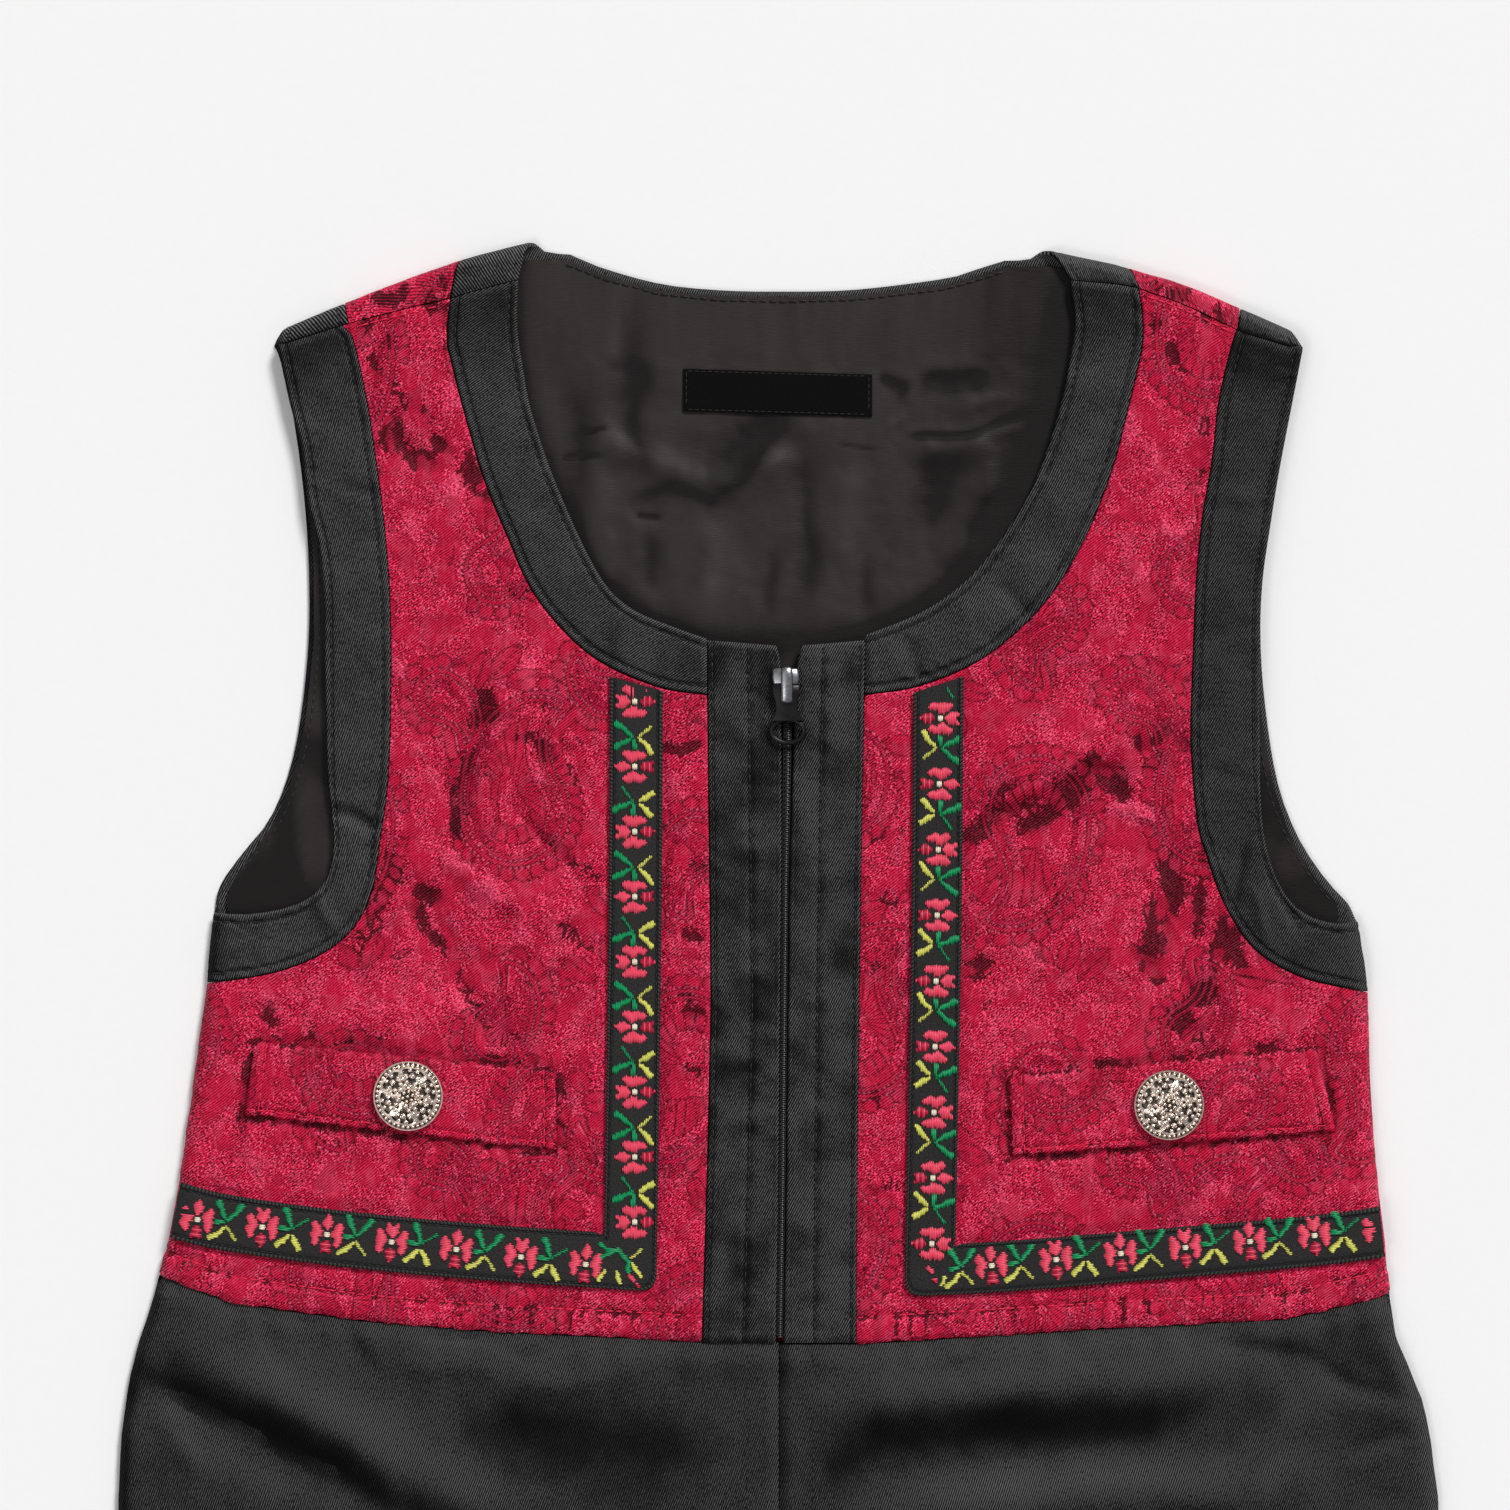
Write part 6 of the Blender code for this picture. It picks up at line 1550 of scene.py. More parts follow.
def back_trouser(hand):
    """Back of one trouser half."""
    columns = np.concatenate([np.linspace(0, 0.04, 9), np.linspace(0.06, 0.96, 32),
                              np.linspace(0.975, 1, 4)])
    rows = []
    for part in even(40):
        x = seat_row(hand, columns, 256.0 + 190.0 * part)
        drop = (1 - part) * (back_waist(x) + SEAM) + part * (CROTCH - 0.5)
        rows.append(np.column_stack([seat_row(hand, columns, drop), drop]))
    rows += leg_rows(hand, columns, CROTCH + (LENGTH - CROTCH) * even(32)[1:])
    lay("trouser_back_" + hand, "back_trouser_" + hand, "twill", "stage", "trouser",
        np.array(rows), back_surface)


def placket(hand):
    """Twill band beside the zip."""
    sign = SIGN[hand]
    top, closer = 97.0, 118.0     # the grid is closer from the top down to the second drop
    drops = np.concatenate([np.linspace(top, closer, 33),
                            np.linspace(closer, WAIST - SEAM, 137)[1:]])
    far = at(PLACKET[hand], drops)
    near = at(ZIP_LINE, drops) - sign * at(PLACKET_GAP, drops)
    first = np.column_stack([far, drops])
    second = np.column_stack([near, drops])
    parts = finer(PLACKET_WIDTH, 1.5, 0.9)
    places = rule(first, second, parts)
    tilt = np.maximum(0, 1 - (drops - top) / 6.0)[:, None]
    places[..., 1] += tilt * (-0.4 + 1.3 * parts[None, :])
    x, drop = places[..., 0], places[..., 1]
    mid = far[:, None] + sign * PLACKET_STITCH
    stitch = bell(x - mid, 0.55)
    edge = bell(np.abs(x - far[:, None]) - PLACKET_EDGE, 0.5)
    relief = band_relief(places, front_surface, PLACKET_EDGE, 0.1) - 0.3 * stitch
    relief += 0.12 * np.sin(drop * 0.9 + 2 * grain(x, drop, 7.0, 51)) * bell(x - mid, 2.5)
    relief += 0.15 * smooth(1.0, -2.0, np.abs(x - at(ZIP_LINE, drop)) - 7.5)
    # Random tone, with painted shade at the stitching and the outer edge, and the left placket painted a
    # little darker.
    tone_and_painted_light = (0.3 * grain(x * 0.6, drop, 5.0, 52) + 0.25 * grain(x, drop * 0.3, 3.5, 53)
            - 0.35 * stitch - 0.3 * edge - (0.16 if hand == "left" else 0.0))
    lay("placket_band_" + hand, "placket_" + hand, "twill", "zip_tape_" + hand, "placket",
        places, front_surface, relief=relief, values={"light": tone_and_painted_light},
        rims=(Rim(0.9, 0.3), Rim(1.3, 0.6), Rim(0.9, 0.4), Rim(0.9, 0.3)))
    return places


def ribbon_places(hand):
    """Grid along the L-shaped ribbon, its outer edge first."""
    sign = SIGN[hand]
    down_width, out_width = RIBBON_WIDTH[hand]
    outer_down, outer_out = line_of(RIBBON_DOWN[hand]), line_of(RIBBON_OUT[hand])
    inner_down = shift(outer_down, -sign * down_width)
    inner_out = shift(outer_out, -sign * out_width)
    corner = np.array([inner_down[-1, 0], inner_out[0, 1]])
    tops = RIBBON_TOP[hand]
    outer_down = np.vstack([[outer_down[0, 0], tops[0]], outer_down[outer_down[:, 1] > tops[0] + 1]])
    keep = (inner_down[:, 1] > tops[1] + 1) & (inner_down[:, 1] < corner[1] - 1)
    inner_down = np.vstack([[inner_down[0, 0], tops[1]], inner_down[keep], corner])
    inner_out = np.vstack([corner, inner_out[np.abs(inner_out[:, 0]) > abs(corner[0]) + 1]])
    outer_out, inner_out = to_side(outer_out.copy(), hand), to_side(inner_out, hand)
    for line in (outer_out, inner_out):
        line[-1, 0] += sign * 1.3
    down_steps, out_steps = 180, 148
    outside, inside = (np.vstack([pick(down, even(down_steps)), pick(out, even(out_steps))[1:]])
                       for down, out in ((outer_down, outer_out), (inner_down, inner_out)))
    bend, round_off = outer_down[-1], 4.0
    toward = (corner - bend) / np.linalg.norm(corner - bend)
    for k in range(len(outside)):
        away = np.linalg.norm(outside[k] - bend)
        if away < round_off:
            outside[k] += toward * 1.5 * (1 - away / round_off) ** 1.5
    return rule(outside, inside, finer(RIBBON_GROUND, 1.4, 0.8))


def ribbon(hand):
    """Black ground of the L-shaped flower ribbon."""
    places = ribbon_places(hand)
    points = front_surface(places)[0]
    near, far, deep, _ = side_distances(points)
    edge = np.minimum(near, far)
    along = np.broadcast_to(deep.mean(axis=1, keepdims=True), edge.shape)
    relief = (-0.1 - 0.16 * bell(edge - 1.4, 0.4) + 0.1 * smooth(1.2, 0.5, edge)
              + 0.06 * grain(places[..., 0], places[..., 1], 4.0, 61))
    lay("flower_ribbon_" + hand, "ribbon_" + hand, "ribbon", "front_bodice_" + hand, "ribbon",
        places, front_surface, RIBBON_FACE, LAY, relief=relief,
        rims=(Rim(0.6, 0.35), Rim(0.6, 0.35), NO_RIM, NO_RIM),
        values={"edge": edge, "along": along})
    return places


def panel(corners, columns, rows):
    """Grid between four corners, given around it from the upper left one."""
    first, second, third, fourth = (np.array(corner, float) for corner in corners)
    u, v = even(columns)[None, :, None], even(rows)[:, None, None]
    return (first * (1 - u) + second * u) * (1 - v) + (fourth * (1 - u) + third * u) * v


def flap(hand):
    """Pocket flap with puckered, stitched edges."""
    places = panel(FLAP[hand], 164, 40)
    x, drop = places[..., 0].copy(), places[..., 1].copy()
    near, far, top, low = side_distances(places)
    pucker = np.sin(x * 2.2 + 3.0 * stripes(x, 5.0, 71))
    relief = 0.1 * grain(x, drop, 2.2, 72) + 0.14 * grain(x, drop, 6.0, 73)
    side = np.minimum(near, far)
    seam = bell(side - FLAP_SIDE_STITCH, 0.5)
    relief += (-0.35 * bell(low - FLAP_HEM_STITCH, 0.7) - 0.35 * seam
               + 0.16 * pucker * (np.exp(-low / 2.2) + np.exp(-top / 2.0)) - 0.25)
    places[..., 1] += 0.28 * stripes(x, 1.2, 74) * (smooth(2.0, 0.0, low) + smooth(2.0, 0.0, top))
    places[..., 0] += 0.2 * stripes(drop, 1.2, 75) * smooth(1.5, 0.0, side)
    # Painted shade along the flap's edges and stitching and in its dips.
    edges = 1.1 * bell(top, 0.8) + 0.6 * bell(low, 0.5) + 0.8 * bell(side, 0.6) + 0.9 * seam
    depth = np.clip(-relief - 0.3, 0, 1) + (0.75 + 0.35 * pucker) * edges
    lay("pocket_flap_" + hand, "flap_" + hand, "brocade", "front_bodice_" + hand, "brocade",
        places, front_surface, FLAP_FACE, LAY, relief=relief,
        rims=(Rim(1.3, 0.8), Rim(1.3, 0.8), Rim(1.5, 0.9), Rim(1.3, 0.8)),
        values=dict(figure(x + 37.0, drop + 51.0), light=0.35 * grain(x, drop, 7.0, 76),
                    depth=depth))
    return places


def label():
    """Label in the neck, left blank."""
    places = panel(LABEL, 48, 12)
    x, drop = places[..., 0], places[..., 1]
    lay("blank_label", "label", "label_tape", "back_lining", "tape", places, lining_surface,
        LABEL_FACE, LAY, relief=0.12 * grain(x, drop * 0.3, 8.0, 81), rims=(Rim(0.5, 0.2),) * 4)


# ------------------------------------------------------- stitches and threads
def loft_faces(rings, sides):
    """Faces of a bar made of so many rings, with a cap on each end."""
    faces = []
    for k in range(rings - 1):
        for s in range(sides):
            n = (s + 1) % sides
            faces.append([k * sides + s, k * sides + n, (k + 1) * sides + n,
                          (k + 1) * sides + s])
    last = (rings - 1) * sides
    return faces + [list(range(sides))[::-1], list(range(last, last + sides))]


class Meshes:
    """Collects many small parts into one mesh."""

    def __init__(self):
        self.points, self.faces, self.slots, self.count = [], [], [], 0

    def add(self, points, faces, slot=0):
        points = np.asarray(points, float).reshape(-1, 3)
        self.points.append(points)
        self.faces += [[int(v) + self.count for v in face] for face in faces]
        self.slots += [slot] * len(faces)
        self.count += len(points)

    def tube(self, line, radii, sides, slot=0, flatten=1.0):
        """Closed tube along a line of points, with a radius at each."""
        line = np.asarray(line, float)
        along = unit(np.gradient(line, axis=0))
        up = np.array([0.0, 0.0, 1.0]) if abs(along[0][2]) < 0.9 else np.array([0.0, 1.0, 0.0])
        aside = unit(np.cross(along, up))
        rise = np.cross(aside, along)
        turn = 2 * math.pi * np.arange(sides) / sides
        radii = np.broadcast_to(radii, (len(line),))
        rings = (line[:, None] + radii[:, None, None]
                 * (np.cos(turn)[None, :, None] * aside[:, None]
                    + flatten * np.sin(turn)[None, :, None] * rise[:, None]))
        self.add(rings, loft_faces(len(line), sides), slot)

    def ball(self, centre, radius, flatten=1.0):
        """Faceted grain that stands upright."""
        turn = np.linspace(-1.35, 1.35, 5)
        line = np.asarray(centre) + np.outer(np.sin(turn) * radius * flatten, (0, 0, 1.0))
        self.tube(line, np.cos(turn) * radius, 8)

    def make(self, name, finishes, smooth_angle=60.0):
        return new_object(name, np.vstack(self.points), self.faces, finishes, self.slots,
                          smooth_angle)


Stitch = namedtuple("Stitch", "pitch length radius")
RIBBON_SEWING = Stitch(2.0, 1.4, 0.16)
LABEL_SEWING = Stitch(1.6, 1.1, 0.14)
# Stitching beside the shoulder seams, from x to x, and beside the trousers' middle seam.
OVER_SEAM = {"left": (-101.5, -81.0), "right": (88.5, 108.5)}
FLY_DROPS, FLY_OUT = (268.5, 445.0), {"left": -7.6, "right": 8.2}
LINING_SEWN = 2.6         # stitching of the lining's armholes, in from their edges
BUILT = {}                # grids of the pieces whose edges are sewn later


def sew(meshes, line, surface, high, stitch):
    """Run of stitches along a line of places, each a short thread that dips at its ends."""
    total = travelled(line)[-1]
    count = int(total / stitch.pitch)
    if count < 1:
        return
    starts = (np.arange(count) * stitch.pitch + 0.2 * stitch.pitch) / total
    spans = starts[:, None] + (np.array([0.0, 0.22, 0.78, 1.0]) * stitch.length / total)[None, :]
    places = pick(line, spans.ravel()).reshape(count, 4, 2)
    points, normals = surface(places)
    dips = np.array([-0.75, 0.35, 0.35, -0.75]) * stitch.radius
    points = points + normals * (high + dips[None, :, None])
    for thread in points:
        meshes.tube(thread, np.array([0.7, 1.0, 1.0, 0.7]) * stitch.radius, 5, flatten=0.8)


def stand_for(item, slot, *nodes):
    """Hide the plain nodes that a small part takes the place of; the part and its slot are not used."""
    if nodes:
        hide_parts(*nodes)


# ------------------------------------------------------------------ flowers
Stroke = namedtuple("Stroke", "kind points")


def stroke(kind, *points):
    """A motif's part: its thread and points of (along, out, radius) in millimetres."""
    return Stroke(kind, points)


BLOOM = (
    stroke("petal", (-1.4, 0.5, 0.5), (-2.6, 1.1, 1.25), (-3, 1.9, 0.95)),
    stroke("petal", (1.4, 0.5, 0.5), (2.6, 1.1, 1.25), (3, 1.9, 1)),
    stroke("petal", (-1.6, -0.1, 0.5), (-2.9, -0.4, 1.1), (-2.7, -1.9, 0.9)),
    stroke("petal", (1.6, -0.1, 0.5), (2.8, -0.4, 1.1), (2.6, -1.9, 0.9)),
    stroke("heart", (0, 0, 0.75), (0.05, 0, 0.75)))
POINTED = (stroke("petal", (0, 1.7, 0.6), (0, 2.9, 1.35), (0.1, 4.3, 0.5)),
           stroke("petal_deep", (0, -1.7, 0.5), (0, -2.7, 1.25), (-0.9, -4, 0.5)),
           stroke("petal_deep", (0, -2.7, 1.25), (0.9, -4, 0.5)),
           stroke("petal", (-0.3, -3.3, 0.35), (0.3, -3.3, 0.35)))
NOTCHED = (stroke("petal", (0, 1.7, 0.6), (-0.5, 2.7, 1.2), (-1.1, 4, 0.55)),
           stroke("petal", (0, 1.7, 0.6), (0.5, 2.7, 1.2), (1.1, 4, 0.55)),
           stroke("petal_deep", (0, -1.7, 0.5), (0, -3, 1.35), (0, -4.5, 0.35)),
           stroke("petal", (0, -2.6, 0.4), (0, -3.6, 0.4)))
SPRAY_A = (stroke("leaf", (-1.6, 4.3, 0.79), (-0.9, 3, 0.73), (0.1, 0.3, 0.33)),
           stroke("leaf_dash", (3.8, 2.6, 0.33), (0.4, 0.2, 0.28)),
           stroke("leaf", (-2.7, 0, 0.59), (-0.5, -0.1, 0.44)),
           stroke("leaf_light", (-0.4, -1.6, 0.39), (-1.5, -3, 0.66), (-3.1, -4.2, 0.66)),
           stroke("leaf_light", (0.5, -1.6, 0.39), (1.2, -2.9, 0.66), (2.2, -4.5, 0.73)))
SPRAY_B = (stroke("leaf", (-2.1, 4.2, 0.79), (-1.2, 2.4, 0.66), (-0.1, 0.4, 0.33)),
           stroke("leaf", (3.4, 4, 0.79), (2.4, 2.5, 0.66), (0.4, 0.2, 0.33)),
           stroke("leaf", (-2.4, -0.3, 0.66), (-0.6, -0.2, 0.46)),
           stroke("leaf_light", (-0.4, -1.6, 0.35), (-1.7, -3.3, 0.63), (-3.6, -4.3, 0.66)),
           stroke("leaf_light_dash", (0.3, -1.5, 0.33), (2.6, -4.2, 0.35)))
CORNER = (stroke("leaf", (-3.9, 4.8, 0.45), (-1.9, 3.4, 0.6), (0.6, 3.9, 0.6), (3.4, 1.2, 0.5)),
          stroke("leaf", (-3.6, 1.8, 0.5), (-1.2, 2.9, 0.5)),
          stroke("leaf", (3.2, 0.8, 0.5), (3.5, -0.9, 0.6)),
          stroke("leaf_light", (-3.5, -3.8, 0.5), (-2.2, -1.4, 0.4)),
          stroke("leaf_light", (1.7, -3.8, 0.5), (0.7, -1.4, 0.4)),
          stroke("leaf_light_dash", (3.8, 2.4, 0.3), (6, 4.6, 0.35)),
          stroke("leaf_light", (4.1, 1.1, 0.4), (5.2, -0.2, 0.5), (6.5, -1.6, 0.45)),
          stroke("petal", (3.7, -1.9, 0.35), (5, -2.7, 0.5)),
          stroke("petal_deep", (5.9, -3.9, 0.5), (6.2, -4.1, 0.5)))
CORNER_BITS = (stroke("petal", (-7.6, 0.2, 0.6), (-6.9, -0.6, 0.5)),
               stroke("petal_deep", (-6.6, -2.6, 0.6), (-6.2, -2.9, 0.5)),
               stroke("leaf_light", (-4.9, -3.9, 0.4), (-4, -2.2, 0.4)))
THREADS = ("petal", "petal_deep", "leaf", "leaf_light", "heart")
Bed = namedtuple("Bed", "x drop step_x step_drop count along")
# First flower, step to the next, how many, and the way that the threads' shapes face.
BEDS = {
    "left": (Bed(-34.8, 111.5, 0.0, 15.69, 9, (0, -1)), Bed(-140.3, 236.3, 15.6, 1.8, 7, (1, 0))),
    "right": (Bed(38.9, 115.4, -0.26, 15.84, 9, (0, 1)), Bed(51.2, 247.4, 15.57, -1.45, 7, (1, 0)))}
MOTIF_TALL, MOTIF_LONG = 6.0, 8.5       # no motif reaches further than this from its middle
LEAST_THREAD = 0.35                     # a thread shorter than this is made a little longer


def on_ribbon(hand, x, drop):
    """True where a thread is wholly on the ribbon."""
    down, out = ribbon_centres(hand)
    top = np.interp(abs(x - RIBBON_DOWN[hand][0].x), (0, RIBBON_WIDTH[hand][0]), RIBBON_TOP[hand])
    spot = np.array([x]), np.array([drop])
    gap = min(gap_to(down, *spot)[0] - RIBBON_WIDTH[hand][0] / 2,
              gap_to(out, *spot)[0] - RIBBON_WIDTH[hand][1] / 2)
    return gap < -1.0 and drop > top + 0.6 and abs(x) < abs(at(SIDE[hand], drop)) - 2.4


def covered(strokes, steps, level):
    """Which places along one level lie inside any of the strokes."""
    inside = np.zeros(len(steps), bool)
    for part in strokes:
        for (ax, ay, ar), (bx, by, br) in zip(part.points, part.points[1:]):
            run = max((bx - ax) ** 2 + (by - ay) ** 2, 1e-6)
            share = np.clip(((steps - ax) * (bx - ax) + (level - ay) * (by - ay)) / run, 0, 1)
            away = np.hypot(steps - ax - share * (bx - ax), level - ay - share * (by - ay))
            inside |= away < ar + (br - ar) * share
    return inside


def embroider(meshes, centre, along, out, strokes, pitch, seed, cut):
    """Fill a motif's strokes with threads that run along the ribbon."""
    steps = np.arange(-MOTIF_LONG, MOTIF_LONG, 0.1)
    first = int(math.floor(-MOTIF_TALL / pitch))
    for kind, dashed in product(THREADS, (False, True)):
        chosen = [s for s in strokes if s.kind == kind + ("_dash" if dashed else "")]
        if not chosen:
            continue
        for row in range(first, -first + 1):
            level = row * pitch
            inside = covered(chosen, steps, level).astype(int)
            edges = np.flatnonzero(np.diff(np.concatenate([[0], inside, [0]])))
            for start, end in zip(edges[::2], edges[1::2]):
                low, top = steps[start], steps[min(end, len(steps) - 1)]
                if kind != "heart":
                    low += 0.2 * math.sin(seed * 7.7 + row * 5.3) - 0.05
                    top += 0.2 * math.sin(seed * 3.1 + row * 4.1) + 0.05
                if top - low < LEAST_THREAD:
                    low, top = low - 0.15, top + 0.15
                places = (np.asarray(centre, float) + np.outer(np.linspace(low, top, 5), along)
                          + np.outer(np.full(5, level), out))
                if cut and not all(on_ribbon(cut, *places[end]) for end in (0, -1)):
                    continue
                points, normals = front_surface(places[None])
                bulge = (1.0 if kind != "heart" else 1.5) * min((top - low) / 2.2, 1.0) * 0.3 + 0.16
                lift = RIBBON_FACE - 0.05 + bulge * np.array([-0.6, 0.75, 1.0, 0.75, -0.6])
                line = points[0] + normals[0] * lift[:, None]
                radii = np.array([0.7, 1.0, 1.0, 1.0, 0.7]) * pitch * (0.4 if dashed else 0.54)
                worn = "petal" if kind == "petal_deep" and row % 3 == 0 else kind
                meshes.tube(line, radii, 5, THREADS.index(worn), 0.9)


def flowers(hand, sizes):
    """Flowers and sprays along both arms of a ribbon."""
    meshes = Meshes()
    pitch = sizes.embroidery_pitch / MM
    for number, bed in enumerate(BEDS[hand]):
        step = np.array([bed.step_x, bed.step_drop])
        along = step / np.linalg.norm(step)
        if np.dot(along, bed.along) < 0:
            along = -along
        out = np.array([along[1], -along[0]])
        for k in range(-1, bed.count):
            centre = np.array([bed.x, bed.drop]) + step * k
            at_end = hand if k in (-1, 0, bed.count - 1) else None
            if k >= 0:
                shape = BLOOM + (POINTED if (k + number) % 2 else NOTCHED)
                embroider(meshes, centre, along, out, shape, pitch, k + 10 * number, at_end)
            if number == 0 and k == bed.count - 1:
                continue
            if number == 1 and k == -1 and hand == "right":
                centre = centre + along * 1.2
            middle = centre + step / 2 - along * 0.9 + out * 0.4
            spray = SPRAY_A if k % 2 else SPRAY_B
            if number == 1 and hand == "left" and k == bed.count - 1:
                spray = CORNER
            elif number == 1 and hand == "right" and k == -1:
                spray = SPRAY_B + CORNER_BITS
            embroider(meshes, middle, along, out, spray, pitch, k + 50, at_end)
    stand_for(meshes.make("ribbon_flowers_" + hand, [FINISHES[key] for key in THREADS]), "ribbon")


# ---------------------------------------------------------- buttons and the zip
# Outline of the button's cast body: radius and height.
BUTTON_BODY = ((7.4, 0.0), (8.25, 0.45), (8.45, 0.9), (8.3, 1.25), (7.9, 1.3), (7.3, 1.0),
               (5.5, 1.55), (3.0, 2.05), (0.8, 2.2))
# Grains beside each pair of scrolls: distance out, angle off the pair and size.
BUTTON_GRAINS = ((2.4, 0.0, 0.75), (3.4, 0.3, 0.6), (3.4, -0.3, 0.6), (4.4, 0.52, 0.75),
                 (2.7, 0.5, 0.55), (4.9, 0.0, 0.8), (6.2, 0.14, 0.6), (6.2, -0.14, 0.6),
                 (5.9, 0.52, 0.7))
BUTTON_BEADS, BUTTON_SCROLLS, SCROLL_OUT = 40, 6, 5.1


def button(hand, turn):
    """Dome with a beaded rim, scrolls and grains of metal, over a dark body that is painted shade for the
    piercings between them.
    """
    x, drop = BUTTON[hand]
    centre = np.array([x, -drop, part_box("button_" + hand)[0].z / MM])
    meshes = Meshes()

    def dome(radius):
        return 0.75 + 2.0 * math.cos(min(radius / 8.4, 1.0) * math.pi / 2) ** 0.9

    def spot(radius, angle, height):
        return centre + (radius * math.cos(angle), radius * math.sin(angle), height)

    sides = 64
    angles = 2 * math.pi * np.arange(sides) / sides
    body = [spot(radius, angle, height) for radius, height in BUTTON_BODY for angle in angles]
    # The body takes the dark finish, painted shade between the wires.
    meshes.add(body, loft_faces(len(BUTTON_BODY), sides), 1)
    angle = np.linspace(0, 2 * math.pi, 73)
    for radius, height, wire in ((8.2, 1.25, 0.28), (6.85, dome(6.85) + 0.35, 0.22)):
        meshes.tube(centre + np.column_stack([radius * np.cos(angle), radius * np.sin(angle),
                                              np.full(73, height)]), wire, 6)
    for k in range(BUTTON_BEADS):
        meshes.ball(spot(7.5, 2 * math.pi * k / BUTTON_BEADS, 1.5), 0.55)
    for k in range(BUTTON_SCROLLS):
        facing = turn + math.pi * k / 3
        for side in (1, -1):
            t = np.linspace(0, 1, 22)
            curl = 1.75 * (1 - t) + 0.35
            angle = facing + side * 0.33
            spin = side * (t * 5.4 - 0.6) + facing
            cx, cy = SCROLL_OUT * math.cos(angle), SCROLL_OUT * math.sin(angle)
            px, py = cx + curl * np.cos(spin), cy + curl * np.sin(spin)
            pz = [dome(math.hypot(a, b)) + 0.32 for a, b in zip(px, py)]
            meshes.tube(centre + np.column_stack([px, py, pz]), 0.5 * (1 - 0.35 * t), 6)
            meshes.ball(spot(SCROLL_OUT, angle, dome(SCROLL_OUT) + 0.35), 0.5)
        t = np.linspace(0, 1, 10)
        angle = facing + math.pi / 6 + 0.5 * np.sin(t * math.pi) * 0.35
        reach = 1.6 + 4.9 * t
        px, py = reach * np.cos(angle), reach * np.sin(angle)
        pz = [dome(r) + 0.25 for r in reach]
        meshes.tube(centre + np.column_stack([px, py, pz]), 0.5 - 0.2 * t, 6)
        for radius, offset, size in BUTTON_GRAINS:
            meshes.ball(spot(radius, facing + offset, dome(radius) + 0.25), size, 0.7)
        meshes.ball(spot(1.25, facing, dome(1.2) + 0.2), 0.52)
    meshes.ball(centre + (0, 0, dome(0) + 0.1), 0.5)
    item = meshes.make("filigree_button_" + hand, [FINISHES["pewter"], FINISHES["pewter_dark"]], 40)
    stand_for(item, "pewter", "button_" + hand)


TAPE_DROPS = (103.0, 262.0)
TAPE_WIDTH = 13.0
COIL_DROPS = (109.5, 265.2, 0.53)       # from, to and from one turn to the next


def zip_parts():
    """Tapes, coil and slider of the zip."""
    for hand, sign in (("left", -1), ("right", 1)):
        drops = np.linspace(*TAPE_DROPS, 81)
        near, far = (np.column_stack([at(ZIP_LINE, drops) + sign * out, drops])
                     for out in (0.1, TAPE_WIDTH))
        lay("woven_zip_tape_" + hand, "zip_tape_" + hand, "zip_tape", "back_lining", "tape",
            rule(near, far, even(8)), front_surface, -1.3, -2.3)
    meshes = Meshes()
    drops = np.arange(*COIL_DROPS)
    for k, drop in enumerate(drops):
        side = 1 if k % 2 else -1
        x = at(ZIP_LINE, drop)
        half = min(at(PLACKET_GAP, drop) - 0.25, 0.9)
        places = np.array([[[x + side * half, drop], [x + side * half * 0.3, drop - 0.1],
                            [x - side * half * 0.35, drop]]])
        line = front_surface(places)[0][0] + np.array([(0, 0, -0.75), (0, 0, -0.32), (0, 0, -0.5)])
        meshes.tube(line, (0.3, 0.3, 0.34), 6)
    for side in (-1, 1):
        half = np.minimum(at(PLACKET_GAP, drops) - 0.3, 0.8)
        places = np.column_stack([at(ZIP_LINE, drops) + side * half, drops])
        meshes.tube((front_surface(places[None])[0][0] + (0, 0, -0.75))[::4], 0.22, 5)
    stand_for(meshes.make("zip_coil_teeth", [FINISHES["nylon"]]), "zip_coil", "zip_coil")
    slider()


SLIDER_BODY = ((103.3, -1.2, 4.4), (103.9, -1.6, 4.8), (105.6, -1.7, 4.9), (107.2, -1.5, 4.7),
               (108.0, -0.4, 3.6), (111.0, -0.2, 3.4))
SLIDER_BRIDGE = ((103.0, 0.9, 2.9), (103.5, 0.5, 3.2), (105.0, 0.4, 3.3), (111.2, 0.4, 3.3),
                 (111.8, 0.8, 2.9))
PULL_PLATE = ((107.2, -1.4, 4.8), (107.8, -1.8, 5.2), (109.6, -1.6, 4.9), (111.8, -1.0, 4.5),
              (113.6, -0.9, 4.5), (115.0, -1.4, 5.2), (116.0, -1.9, 5.9))
PULL_RING = (2.1, 118.5, 3.9, 2.85, 0.62)     # x, drop, half width, half height and wire


def plate(meshes, rows, low, high, edge):
    """Bar with rounded edges; its rows are drop, left and right."""
    points = []
    for k, (drop, left, right) in enumerate(rows):
        top = high - (0.5 * edge if k in (0, len(rows) - 1) else 0.0)
        outline = ((left, low), (left, top - edge), (left + 0.3 * edge, top - 0.3 * edge),
                   (left + edge, top), (right - edge, top),
                   (right - 0.3 * edge, top - 0.3 * edge), (right, top - edge), (right, low))
        points += [(x, -drop, z) for x, z in outline]
    faces = loft_faces(len(rows), len(outline))
    meshes.add(np.array(points), [face[::-1] for face in faces])


